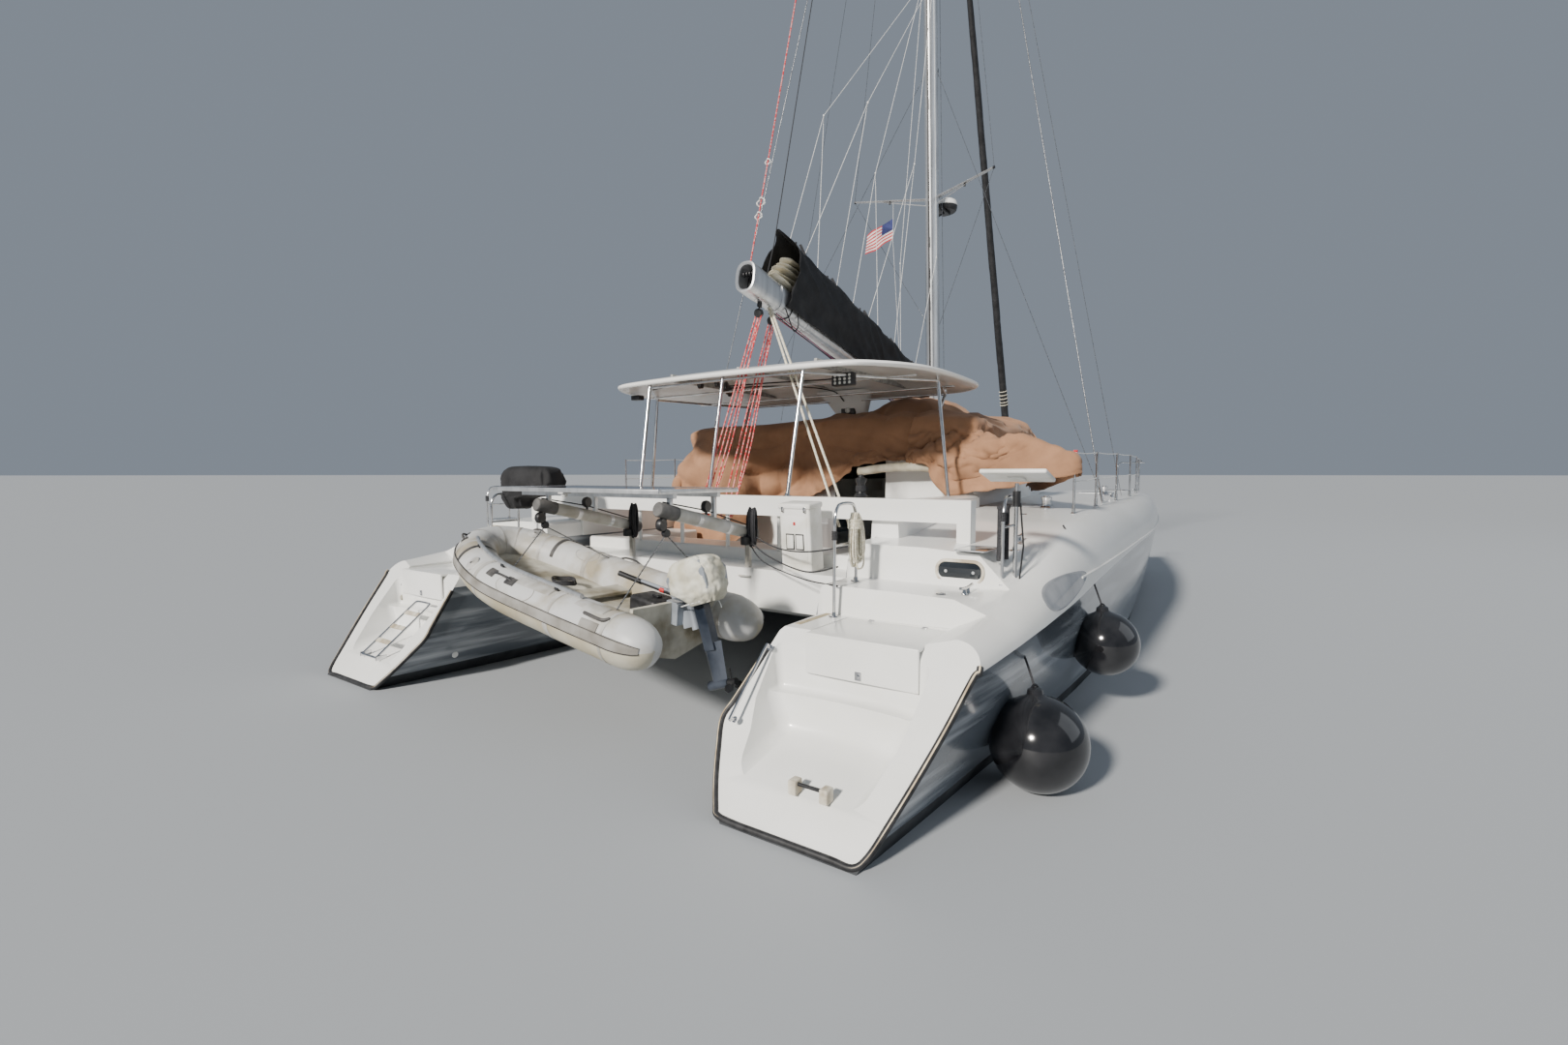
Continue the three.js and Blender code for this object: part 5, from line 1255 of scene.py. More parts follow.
bm = bmesh.new()
bm.from_mesh(cover.data)
aft_edges = [
    edge for edge in bm.edges
    if all(vert.co.y < -2.0 or vert.co.x > 2.1 and vert.co.y < 0 for vert in edge.verts)
]
bmesh.ops.subdivide_edges(bm, edges=aft_edges, cuts=1, use_grid_fill=True)
bmesh.ops.triangulate(bm, faces=bm.faces)
relaxed(bm, 0.4, times=2)
bmesh.ops.recalc_face_normals(bm, faces=bm.faces)
bm.normal_update()
lifts = [vert.normal * fold_at(vert.co) for vert in bm.verts]
for vert, lift in zip(bm.verts, lifts):
    vert.co += lift
bend = [edge for edge in bm.edges if edge.calc_length() > 0.06 and edge.verts[0].co.z > 2.5
        and edge.verts[0].co.y > HOUSE_AFT_Y
        and any(abs(roof_tree.find_nearest(vert.co)[1].z) < 0.985 for vert in edge.verts)]
bmesh.ops.subdivide_edges(bm, edges=bend, cuts=2, use_grid_fill=True)
bmesh.ops.triangulate(bm, faces=bm.faces)
kept_clear(bm)
relaxed(bm, 0.3, from_y=HOUSE_AFT_Y)
kept_clear(bm)
bm.to_mesh(cover.data)
bm.free()


def thickened(obj, thickness, offset=1):
    """Gives a sheet its thickness: outwards, or with 0 to both sides."""
    cloth = obj.modifiers.new("cloth", "SOLIDIFY")
    cloth.thickness = thickness
    cloth.offset = offset
    applied(obj)
    obj.data.shade_smooth()


thickened(cover, 0.003)
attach(cover, "root")

# Over the door the cover's edge is rolled round a cream pole, and a dark patch is sewn on above it.
bm = bmesh.new()
roll_path = smooth_path([(0.78, -2.5, 2.2), (1.1, -2.53, 2.24), (1.5, -2.53, 2.26), (1.78, -2.5, 2.24)], 8)
radii = [0.052 + 0.008 * noise.noise(p * 7) for p in roll_path]
sweep(bm, roll_path, radii, 20)
cream_cloth = woven_cloth("cloth_cream", (0.66, 0.6, 0.47), 0.85, ((0.5, 0.44, 0.32), (0.74, 0.69, 0.56)), 6.0,
                          (110, 0.2), detail=9)
roll = piece("canvas_roll", bm, [cream_cloth], "canvas", angle=70)


# The boom: an anodised oval section with a groove along its top, an open end casting with sheaves in it, and a
# collar with the sheet's eyes under it. It swings at the gooseneck on the mast.
GOOSENECK = Vector((0, 1.6, 3.275))
BOOM_END = Vector((0.485, -4.49, 4.23))
BOOM_HALF = (0.115, 0.16)
boom_aim = (BOOM_END - GOOSENECK).normalized()
boom_x = boom_aim.cross(UP).normalized()
boom_up = boom_x.cross(boom_aim)


def on_boom(along, across=0.0, up=0.0):
    """A place on the boom: along it from the gooseneck, across towards port, and up from its middle."""
    return GOOSENECK + boom_aim * along + boom_x * across + boom_up * up


def oval(half_x, half_z, steps=40, power=0.72):
    """A rounded oval: pairs across and up."""
    return [(half_x * boxy(math.cos(t), power), half_z * boxy(math.sin(t), power)) for t in around(steps)]


def boom_ring(along, shrink=0.0, half=BOOM_HALF):
    return [on_boom(along, a, u) for a, u in oval(half[0] - shrink, half[1] - shrink)]


bm = bmesh.new()
loft(bm, [boom_ring(0.15, 0.03), boom_ring(0.15), boom_ring(3.0), boom_ring(5.99)])
loft(bm, [boom_ring(along, shrink) for along, shrink in (
    (5.9, -0.004), (5.99, -0.006), (6.12, -0.007), (6.175, -0.003), (6.18, 0.012), (6.165, 0.028), (6.0, 0.034),
)])
for offset in (-0.055, -0.018, 0.018, 0.055):
    turned(bm, [(0, 0.012), (0.03, 0.012), (0.025, 0.004), (0.025, -0.004), (0.03, -0.012), (0, -0.012)],
           on_boom(6.1, offset, 0.055), boom_x, 24, slot=1)
for face in bm.faces:
    middle = face.calc_center_median()
    if (middle - GOOSENECK).dot(boom_aim) < 6.02 and abs(face.normal.dot(boom_aim)) > 0.9 and face.calc_area() > 0.03:
        face.material_index = 1
for along in (0.3, 4.9, 5.55):
    loft(bm, [boom_ring(along, 0.001), boom_ring(along, -0.006), boom_ring(along + 0.05, -0.006),
              boom_ring(along + 0.05, 0.001)])
for along in (5.62, 5.86, 2.9):
    slab_bm = bmesh.new()
    slab(slab_bm, -0.016, 0.016, along - 0.03, along + 0.03, -0.215, -0.155, 0.008, slot=1)
    absorbed(bm, slab_bm, Matrix.Translation(GOOSENECK) @ Matrix((boom_x, boom_aim, boom_up)).transposed().to_4x4())
for offset in (-0.028, 0.028):
    sweep(bm, [on_boom(0.2, offset, 0.157), on_boom(5.9, offset, 0.157)], 0.011, 8)
piece("boom_spar", bm, [alloy, black], "alloy", body="boom", stands_for=("boom",), angle=40)
finished("gooseneck", alloy, "alloy", 0.003)

# The sail bag: black woven cloth laced along the boom, hung from the lazy jacks at its top edges. It is open at
# the aft end, where the folds of the cream mainsail show.
BAG_ROWS = [(0.42, 0.12, 0.3), (1.2, 0.19, 0.42), (3.2, 0.21, 0.52), (4.7, 0.215, 0.56), (5.62, 0.19, 0.64)]
BAG_TABS = [1.25, 2.25, 3.3, 4.35, 5.2]
BAG_FOOT = 0.16


def bag_size(along):
    """The bag's half width and its height over its foot."""
    for (a, w0, h0), (b, w1, h1) in zip(BAG_ROWS, BAG_ROWS[1:]):
        if along <= b:
            t = min(max((along - a) / (b - a), 0), 1)
            return lerp(w0, w1, t), lerp(h0, h1, t)
    return BAG_ROWS[-1][1:]


def scallop_at(along):
    """How far the bag's edge sags between two tabs."""
    near_tab = min(abs(along - tab) for tab in BAG_TABS)
    return 0.035 * min(near_tab / 0.5, 1.0) ** 1.3


def skinned(bm, rows):
    """Four-sided faces between rows of points."""
    rows = [[bm.verts.new(point) for point in row] for row in rows]
    for near, far in zip(rows, rows[1:]):
        for corners in zip(near, near[1:], far[1:], far):
            bm.faces.new(corners)


# round the section from the starboard foot over the ridge to the port foot: across (share), up (share), aft end
BAG_SECTION = [
    (-0.68, -0.42, 5.5), (-0.76, -0.2, 5.48), (-0.86, 0.02, 5.45), (-0.97, 0.25, 5.42), (-0.97, 0.5, 5.4),
    (-0.82, 0.7, 5.4), (-0.6, 0.83, 5.42), (-0.36, 0.92, 5.46), (-0.14, 0.985, 5.54), (0.0, 1.0, 5.62),
    (0.14, 0.985, 5.6), (0.36, 0.92, 5.52), (0.58, 0.83, 5.48), (0.8, 0.7, 5.5), (0.95, 0.52, 5.55),
    (0.97, 0.25, 5.6), (0.86, 0.02, 5.6), (0.76, -0.2, 5.6), (0.68, -0.42, 5.6),
]
BAG_STATIONS = 150
bag_profile = smooth_path(BAG_SECTION, 4)
bm = bmesh.new()
rows = []
for k in range(BAG_STATIONS + 1):
    row = []
    for across, up, aft in bag_profile:
        along = lerp(0.42, aft, k / BAG_STATIONS)
        width, height = bag_size(along)
        sag = max(up, 0.0) ** 2 * scallop_at(along)
        side = 1 if across > 0 else -1
        crumple = 0.03 * noise.noise(Vector((along * 1.7 + up * 1.5, up * 2.2, side * 5.0)))
        crumple += 0.022 * (1 - 2.6 * abs(noise.noise(Vector((along * 2.6 - up * 2.4, up * 1.2, side * 9.0)))))
        crumple += 0.006 * noise.noise(Vector((along * 14, up * 9, side * 3.0)))
        reach = across * width + side * crumple * min(abs(across) * 1.6, 1.0)
        lift = BAG_FOOT + (up * height if up > 0 else up * 0.6) - sag
        lift += 0.014 * noise.noise(Vector((along * 3, across * 2, 1)))
        row.append(on_boom(along, reach, lift))
    rows.append(row)
skinned(bm, rows)
bag_area = sum(face.calc_area() for face in bm.faces)
bag_cloth = woven_cloth("cloth_black", (0.008, 0.008, 0.009), 0.8, ((0.005, 0.005, 0.006), (0.016, 0.016, 0.018)),
                        5.0, (120, 0.2, 0.3), detail=9)
bag = piece("sail_bag_cloth", bm, [bag_cloth], "sailcloth", body=None, stands_for=("sail_bag",), angle=180)
thickened(bag, 0.003)
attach(bag, "boom")

# Along the bag's ridge: a webbing strip, the tabs that the lazy jacks hold, the pulled-up aft corner, and the
# lacing under the boom.
bm = bmesh.new()
ridge = []
for k in range(40):
    along = lerp(0.5, 5.6, k / 39)
    width, height = bag_size(along)
    ridge.append(on_boom(along, 0, BAG_FOOT + height - scallop_at(along) + 0.004))
sweep(bm, ridge, 0.013, 8)
for tab in BAG_TABS:
    width, height = bag_size(tab)
    for side in (-1, 1):
        low = on_boom(tab, side * width * 0.66, BAG_FOOT + height * 0.8)
        sweep(bm, [low, on_boom(tab, side * width * 0.3, BAG_FOOT + height + 0.015)], 0.016, 6,
              section=[(1, 0.25), (1, -0.25), (-1, -0.25), (-1, 0.25)])
    sweep(bm, [on_boom(tab, 0, 0.14 + height), on_boom(tab, 0, 0.215 + height)], 0.013, 8)
for tab in (0.6, 2.9, 5.36):
    strap = [on_boom(tab, a, u) for a, u in oval(0.123, 0.168, 24)]
    sweep(bm, strap[12:] + strap[:1], 0.006, 6)
piece("sail_bag_webbing", bm, [rope_dark], "sailcloth", body="boom", angle=50)

# The mainsail lies flaked on the boom. Its folds swing from side to side, and their aft ends come out of the bag.
FOLDS = 9
bm = bmesh.new()
fold_line = []
for k in range(FOLDS):
    side = 1 if k % 2 else -1
    width = 0.115 - 0.006 * k
    low = 0.175 + 0.043 * k
    fold_line += [(-side * width * 0.4, low), (side * width * 0.5, low + 0.004), (side * width, low + 0.021)]
fold_line = smooth_path([(a, u, 0) for a, u in fold_line], 5)
rows = []
for k in range(61):
    row = []
    for j, (across, up, _) in enumerate(fold_line):
        share = j / (len(fold_line) - 1)
        aft = 5.72 - 0.34 * share + 0.09 * math.sin(share * FOLDS * math.pi)
        along = lerp(1.0, aft, k / 60)
        near_end = eased((along - 4.9) / 0.8)
        shift = 0.02 * noise.noise(Vector((along * 2.2, share * 4, 2.0))) * (1 + near_end)
        lift = 0.016 * noise.noise(Vector((along * 3.0, share * 5, 7.0)))
        row.append(on_boom(along, across * (1 - 0.12 * near_end) + shift, up + lift - 0.03 * near_end * share))
    rows.append(row)
skinned(bm, rows)
sail_area = sum(face.calc_area() for face in bm.faces)
sail_white = woven_cloth("sailcloth_cream", (0.72, 0.68, 0.55), 0.6, ((0.56, 0.5, 0.36), (0.78, 0.75, 0.64)), 5.0,
                         (140, 0.12, 0.25), detail=9)
mainsail = piece("mainsail_folds", bm, [sail_white], "sailcloth", body=None, angle=180)
thickened(mainsail, 0.0016, 0)
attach(mainsail, "boom")

# The mast: a tapered oval extrusion with a sail track on its aft side, a heel casting, sheave box and light at the
# head, and a mid-height light, halyard exits and cleats.
MAST_FOOT = Vector((0, 1.85, 2.905))
MAST_HEAD = Vector((0, 0.76, 20.45))
mast_aim = (MAST_HEAD - MAST_FOOT).normalized()


def on_mast(z):
    return MAST_FOOT + mast_aim * ((z - MAST_FOOT.z) / mast_aim.z)


bm = bmesh.new()
mast_section = [(0.11 * math.cos(t), 0.15 * math.sin(t)) for t in around(48)]
mast_z = [2.905, 3.2, 6.0, 9.0, 12.0, 15.0, 18.2, 20.38]
taper = [1, 1, 1, 1, 1, 1, 0.94, 0.72]
sweep(bm, [on_mast(z) for z in mast_z], taper, section=mast_section, up=(1, 0, 0))
sweep(bm, [on_mast(3.7) + Vector((0, -0.156, 0)), on_mast(18.0) + Vector((0, -0.156, 0))], 0.014, 8,
      section=[(1, 0.7), (1, -0.7), (-1, -0.7), (-1, 0.7)], up=(1, 0, 0), slot=1)
slab(bm, -0.06, 0.06, 0.55, 1.02, 20.33, 20.44, 0.02)
for y in (0.6, 0.98):
    turned(bm, [(0, 0.02), (0.05, 0.02), (0.044, 0), (0.05, -0.02), (0, -0.02)], (0, y, 20.36), (1, 0, 0), 20, slot=1)
for z in (3.35, 3.62, 3.9):
    for side in (-1, 1):
        middle = on_mast(z) + Vector((side * 0.118, -0.02, 0))
        sweep(bm, [middle - UP * 0.1, middle + Vector((side * 0.02, 0, -0.07)),
                   middle + Vector((side * 0.02, 0, 0.07)), middle + UP * 0.1], 0.012, 8)
for z in (5.2, 5.75, 6.3, 8.6):
    slab(bm, -0.02, 0.02, on_mast(z).y - 0.158, on_mast(z).y - 0.13, z - 0.09, z + 0.09, 0.008, slot=1)
slab(bm, -0.05, 0.05, on_mast(9.3).y + 0.13, on_mast(9.3).y + 0.24, 9.2, 9.34, 0.02, slot=1)
slab(bm, -0.13, 0.13, 1.66, 2.04, 2.905, 2.95, 0.012)
piece("mast_spar", bm, [alloy, black], "alloy", stands_for=("mast",), angle=40)

# The spreaders: swept aerofoil arms on a collar, with end fittings where the diamond stays cross them, and a
# brace under each. The radar sits on a bracket ahead of the mast just below them.
SPREADER_ROOT = Vector((0.075, 1.585, 7.075))
SPREADER_TIP = Vector((1.27, 1.07, 7.125))
SPREADER_SECTION = [(0.017 * math.cos(t), 0.05 * math.sin(t)) for t in around(20)]
bm = bmesh.new()
for side in (-1, 1):
    flip = Matrix.Scale(side, 4, (1, 0, 0))
    root, tip = flip @ SPREADER_ROOT, flip @ SPREADER_TIP
    sweep(bm, [root, root.lerp(tip, 0.5), tip], [1, 0.9, 0.62], section=SPREADER_SECTION, up=(0, 0, 1))
    sweep(bm, [tip - Vector((side * 0.012, 0, 0.0)), tip + Vector((side * 0.014, -0.006, 0))], 0.024, 12, slot=1)
    sweep(bm, [root + Vector((0, 0.02, -0.1)), root.lerp(tip, 0.62) - UP * 0.014], 0.008, 8)
    turned(bm, [(0, 0.02), (0.018, 0.018), (0.018, -0.02), (0, -0.02)], root.lerp(tip, 0.52) - UP * 0.035,
           (0, 0, 1), 14, slot=1)
sweep(bm, [on_mast(7.0), on_mast(7.15)], 1.035, section=mast_section, up=(1, 0, 0))
piece("spreader_arms", bm, [alloy, black], "alloy", stands_for=("spreaders",), angle=40)
radar_at = Vector((0.04, 2.11, 7.0))
bm = bmesh.new()
turned(bm, [(0, 0), (0.19, 0), (0.208, 0.022), (0.216, 0.052), (0.219, 0.085), (0.219, 0.096), (0, 0.096)],
       radar_at, (0, 0, 1), 48, slot=1)
turned(bm, [(0, 0.09), (0.224, 0.09), (0.227, 0.104), (0.222, 0.13), (0.2, 0.18), (0.165, 0.203), (0.12, 0.215),
            (0.06, 0.2205), (0, 0.222)], radar_at, (0, 0, 1), 48)
slab(bm, -0.03, 0.11, on_mast(7.0).y + 0.1, 2.2, 6.955, 6.998, 0.008, slot=1)
sweep(bm, [(0.04, on_mast(6.8).y + 0.13, 6.8), (0.04, 2.05, 6.96)], 0.016, 8, slot=1)
piece("radar_dome", bm, [gelcoat, black], "gelcoat", stands_for=("radar",), angle=40)


# Standing rigging: wire shrouds with their turnbuckles, the diamond stays over the spreader tips, and the furled
# headsail on its stay under a black strip, tied with cream cord.
wire = mottled("wire_strand", (0.3, 0.31, 0.32), 0.38, ((0.05, 0.05, 0.055), (0.34, 0.35, 0.36)), 30.0, metallic=0.9,
               stretch=(1, 1, 3))


def rope_material(name, colors, scale, roughness=0.8):
    """Braided rope: flecks of two colours."""
    material, tree, shader = node_material(name, colors[0], roughness)
    place = tinted_noise(tree, shader, colors, scale, detail=2, spread=(0.44, 0.56))
    fleck = tree.nodes.new("ShaderNodeTexNoise")
    fleck.inputs["Scale"].default_value = scale * 4
    tree.links.new(place.outputs["Object"], fleck.inputs["Vector"])
    bumped(tree, shader, fleck, 0.5, 0.002)
    return material


rope_red = rope_material("rope_red_fleck", ((0.6, 0.02, 0.03), (0.7, 0.3, 0.28)), 42)
rope_white = rope_material("rope_white", ((0.62, 0.62, 0.6), (0.8, 0.8, 0.78)), 60)
rope_cream = rope_material("rope_cream", ((0.58, 0.53, 0.4), (0.76, 0.72, 0.6)), 60)
rope_violet = rope_material("rope_violet", ((0.16, 0.05, 0.14), (0.42, 0.1, 0.12)), 60)
CHAIN_PLATE = Vector((3.4, -0.9, 1.7))
for side, sign in SIDES:
    foot = Vector((sign * CHAIN_PLATE.x, CHAIN_PLATE.y, CHAIN_PLATE.z))
    head = on_mast(18) + Vector((sign * 0.09, 0, 0))
    up = (head - foot).normalized()
    bm = bmesh.new()
    sweep(bm, [foot + up * 0.42, head], 0.007, 8)
    sweep(bm, [foot + up * 0.06, foot + up * 0.14], 0.009, 10, slot=1)
    sweep(bm, [foot + up * 0.13, foot + up * 0.31], 0.0165, 12, slot=1)
    sweep(bm, [foot + up * 0.3, foot + up * 0.5], 0.009, 10, slot=1)
    slab(bm, foot.x - 0.006, foot.x + 0.006, foot.y - 0.024, foot.y + 0.024, foot.z - 0.05, foot.z + 0.09, 0.004,
         slot=1)
    piece("shroud_wire_" + side, bm, [wire, stainless], "stainless", stands_for=("shroud_" + side,), angle=50)
bm = bmesh.new()
for sign in (-1, 1):
    tip = Vector((sign * 1.278, 1.066, 7.125))
    chain = Vector((sign * 3.38, -0.6, 1.72))
    for line in (
        [on_mast(17.2) + Vector((sign * 0.1, 0, 0)), tip], [tip, on_mast(4.9) + Vector((sign * 0.11, 0.04, 0))],
        [on_mast(9.2) + Vector((sign * 0.1, 0, 0)), chain],
        [on_mast(17.9) + Vector((sign * 0.08, 0.1, 0)), Vector((sign * 3.3, 1.2, 1.78))],
    ):
        sweep(bm, line, 0.004, 6)
for foot, top, radius in (
    ((0.16, 1.95, 3.1), on_mast(19.9) + Vector((0.06, 0.16, 0)), 0.005),
    ((-0.13, 1.98, 3.1), on_mast(19.9) + Vector((-0.05, 0.16, 0)), 0.005),
    ((0.1, 1.6, 3.1), on_mast(19.8) + Vector((0.03, -0.17, 0)), 0.005),
    ((-0.2, 1.97, 3.1), on_mast(12.0) + Vector((-0.1, 0.02, 0)), 0.004),
):
    sweep(bm, [foot, top], radius, 6)
piece("stays", bm, [wire], "stainless", angle=50)
FORESTAY_FOOT = Vector((0, 6.85, 1.8))
FORESTAY_HEAD = Vector((0, 0.99, 17.7))
GENOA = [(0.022, 0.014), (0.03, 0.04), (0.05, 0.082), (0.5, 0.064), (0.95, 0.026), (0.97, 0.01), (1.0, 0.01)]
GENOA_RINGS = 180
bm = bmesh.new()
along = (FORESTAY_HEAD - FORESTAY_FOOT).normalized()
side_a = Vector((1, 0, 0))
side_b = along.cross(side_a)
rings = []
for k in range(GENOA_RINGS + 1):
    part = lerp(GENOA[0][0], 1.0, k / GENOA_RINGS)
    radius = table_at(GENOA, part)
    middle = FORESTAY_FOOT.lerp(FORESTAY_HEAD, part)
    ring = []
    for turn in around(28):
        wrap = ((turn - part * 52) / math.tau) % 1.0
        swell = radius * (1 + (0.1 * wrap - 0.04 if radius > 0.02 else 0))
        swell += 0.004 * noise.noise(Vector((math.cos(turn) * 2, math.sin(turn) * 2, part * 130))) * (radius > 0.02)
        ring.append(middle + (side_a * math.cos(turn) + side_b * math.sin(turn)) * swell)
    rings.append(ring)
loft(bm, rings)
for part in (0.125, 0.129, 0.134, 0.139, 0.144):
    middle = FORESTAY_FOOT.lerp(FORESTAY_HEAD, part)
    radius = table_at(GENOA, part) + 0.008
    loop = loop_of(middle, side_a * radius, side_b * radius, 24)
    sweep(bm, [point + along * 0.03 * (k / 24) for k, point in enumerate(loop)], 0.009, 8, slot=1)
genoa_cloth = woven_cloth("sail_strip_black", (0.008, 0.008, 0.009), 0.7,
                          ((0.005, 0.005, 0.006), (0.018, 0.018, 0.02)), 7.0, (120, 0.15, 0.25), detail=9)
genoa = piece("headsail_roll", bm, [genoa_cloth, rope_cream], "sailcloth", stands_for=("headsail_furled",), angle=60)
bm = bmesh.new()
for low, high, radius in ((0.004, 0.0055, 0.1), (0.0105, 0.012, 0.1), (0.0055, 0.0105, 0.042), (0.0, 0.004, 0.03),
                          (0.012, 0.022, 0.024)):
    sweep(bm, [FORESTAY_FOOT.lerp(FORESTAY_HEAD, low), FORESTAY_FOOT.lerp(FORESTAY_HEAD, high)], radius, 32)
for k in range(5):
    part = 0.0062 + 0.0008 * k
    loop = loop_of(FORESTAY_FOOT.lerp(FORESTAY_HEAD, part), side_a * 0.05, side_b * 0.05, 28)
    sweep(bm, loop, 0.0065, 6, slot=1)
piece("furler", bm, [black, rope_white], "alloy", stands_for=("furler_drum",), angle=50)

# Running rigging on the boom. The lazy jacks come down from the mast to the bag's tabs on both sides, two topping
# lifts hold the boom's end, and the mainsheet's red falls go down to the aft beam in front of the hard top.
bm = bmesh.new()
for side in (-1, 1):
    jack_head = on_mast(10.6) + Vector((side * 0.1, -0.1, 0))
    for split_along, drop, tabs in ((4.2, 3.1, (5.2, 4.35)), (2.4, 3.3, (3.3, 2.25)), (1.1, 2.4, (1.25,))):
        split = on_boom(split_along, -side * 0.32, drop)
        sweep(bm, [jack_head, split], 0.0035, 6)
        turned(bm, [(0, 0.012), (0.012, 0.01), (0.012, -0.01), (0, -0.012)], split, (0, 0, 1), 10)
        for tab in tabs:
            width, height = bag_size(tab)
            sweep(bm, [split, on_boom(tab, -side * width * 0.66, BAG_FOOT + height * 0.8)], 0.0035, 6)
lazy = piece("lazy_jacks", bm, [rope_white], "sailcloth", body=None, angle=50)
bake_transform(lazy)
bm = bmesh.new()
lift_head = on_mast(20.3) + Vector((0.0, -0.2, 0))
boom_tip = on_boom(6.1, 0, 0.15)
sweep(bm, [lift_head, boom_tip], 0.0075, 8)
for part, size in ((0.925, 0.03), (0.955, 0.045), (0.965, 0.038)):
    knot = lift_head.lerp(boom_tip, part)
    loop = [knot + Vector((math.cos(t) * size, 0.3 * size * math.sin(k * 1.3), math.sin(t) * size))
            for k, t in enumerate(around(16, closed=True))]
    sweep(bm, smooth_path(loop, 2), 0.0075, 8, slot=1)
second_foot = on_boom(5.62, 0.03, 0.62)
sweep(bm, [on_mast(20.2) + Vector((0.05, -0.18, 0)), second_foot], 0.006, 8, slot=2)
sweep(bm, [second_foot, on_boom(5.74, 0.02, 0.15)], 0.006, 8, slot=2)
topping = piece("topping_lifts", bm, [rope_red, rope_white, rope_dark], "sailcloth", body=None, angle=50)
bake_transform(topping)
bm = bmesh.new()
SHEET_FOOT = Vector((0.14, -4.6, 1.66))
upper = [on_boom(5.86, 0.0, -0.3), on_boom(5.62, -0.02, -0.3)]
for group, (block, spread) in enumerate(zip(upper, (-0.16, 0.16))):
    low = SHEET_FOOT + Vector((spread, 0, 0))
    for offset in (-0.075, 0.0, 0.075):
        sweep(bm, [block + Vector((offset * 0.5, 0, 0)), low + Vector((offset, 0.012 * group, 0.05))], 0.008, 8)
    sweep(bm, smooth_path([low + Vector((0.06, 0, 0.05)), low.lerp(block, 0.4) + Vector((0.12, -0.02, 0)), block], 6),
          0.007, 8)
    turned(bm, [(0, 0.03), (0.045, 0.026), (0.05, 0.0), (0.045, -0.026), (0, -0.03)], block + UP * 0.02,
           (0, 1, 0.2), 20, slot=1)
    sweep(bm, [block + UP * 0.05, on_boom(5.86 if group == 0 else 5.62, 0, -0.2)], 0.008, 8, slot=1)
    turned(bm, [(0, 0.04), (0.04, 0.036), (0.045, 0.0), (0.04, -0.036), (0, -0.04)], low, (0, 1, 0), 20, slot=1)
    sweep(bm, [low, low - UP * 0.05], 0.01, 8, slot=1)
for offset in (-0.02, 0.055):
    sweep(bm, [on_boom(5.75, -0.05, -0.18) + Vector((offset * 0.4, 0, 0)), (1.62 + offset * 1.6, -4.4, 1.65)], 0.0135,
          8, slot=2)
sheet_falls = piece("sheet_falls", bm, [rope_red, black, rope_cream], "sailcloth", body=None, angle=50)
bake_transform(sheet_falls)
bm = bmesh.new()
for offset, drop in ((-0.03, -0.2), (0.03, -0.185), (0.0, -0.215)):
    sweep(bm, smooth_path([on_boom(5.55, offset, -0.175), on_boom(3.6, offset * 0.5, drop - 0.035),
                           on_boom(2.9, offset, drop - 0.01), on_boom(1.4, offset, drop - 0.03),
                           on_boom(0.42, offset, -0.17)], 8), 0.006, 8, slot=int(offset == 0.0))
sweep(bm, smooth_path([on_boom(5.5, -0.11, -0.1), on_boom(5.42, -0.14, -0.24), on_boom(5.3, -0.13, -0.3),
                       on_boom(5.2, -0.12, -0.2), on_boom(5.22, -0.11, -0.06)], 8), 0.007, 8, slot=1)
piece("boom_lines", bm, [rope_violet, rope_dark], "sailcloth", body="boom", angle=50)

# A small striped flag flies on its own thin halyard under the port spreader.
bm = bmesh.new()
flag_top = Vector((-0.62, 1.3, 6.78))
FLAG = (0.56, 0.36)
FLAG_GRID = (32, 26)
rows = []
for k in range(FLAG_GRID[0] + 1):
    row = []
    for j in range(FLAG_GRID[1] + 1):
        u, v = k / FLAG_GRID[0], j / FLAG_GRID[1]
        wave = 0.045 * math.sin(u * 8 + v * 2.2) * u
        droop = -0.30 * u
        row.append(flag_top + Vector((-FLAG[0] * u * 0.7, -FLAG[0] * u * 0.52 + wave,
                                      -FLAG[1] * v + droop + 0.02 * math.sin(u * 9) * u)))
    rows.append(row)
skinned(bm, rows)
for i, face in enumerate(bm.faces):
    k, j = divmod(i, FLAG_GRID[1])
    face.material_index = 2 if k < 13 and j < 14 else (j // 2) % 2
flag_area = sum(face.calc_area() for face in bm.faces)
flag_red = woven_cloth("flag_red", (0.5, 0.03, 0.04), 0.8, ((0.42, 0.02, 0.035), (0.56, 0.05, 0.06)), 9.0,
                       (200, 0.1, 0.1))
flag_white = woven_cloth("flag_white", (0.75, 0.72, 0.7), 0.8, ((0.66, 0.63, 0.6), (0.8, 0.78, 0.75)), 9.0,
                         (200, 0.1, 0.1))
flag_blue = woven_cloth("flag_blue", (0.02, 0.03, 0.12), 0.8, ((0.015, 0.02, 0.09), (0.04, 0.05, 0.17)), 9.0,
                        (200, 0.1, 0.1))
flag = piece("flag", bm, [flag_red, flag_white, flag_blue], "sailcloth", angle=180)
bm = bmesh.new()
sweep(bm, [(-0.62, 1.3, 7.06), (-0.62, 1.3, 6.4), (-0.66, 1.95, 2.98)], 0.003, 6)
piece("flag_halyard", bm, [rope_white], "sailcloth", angle=50)


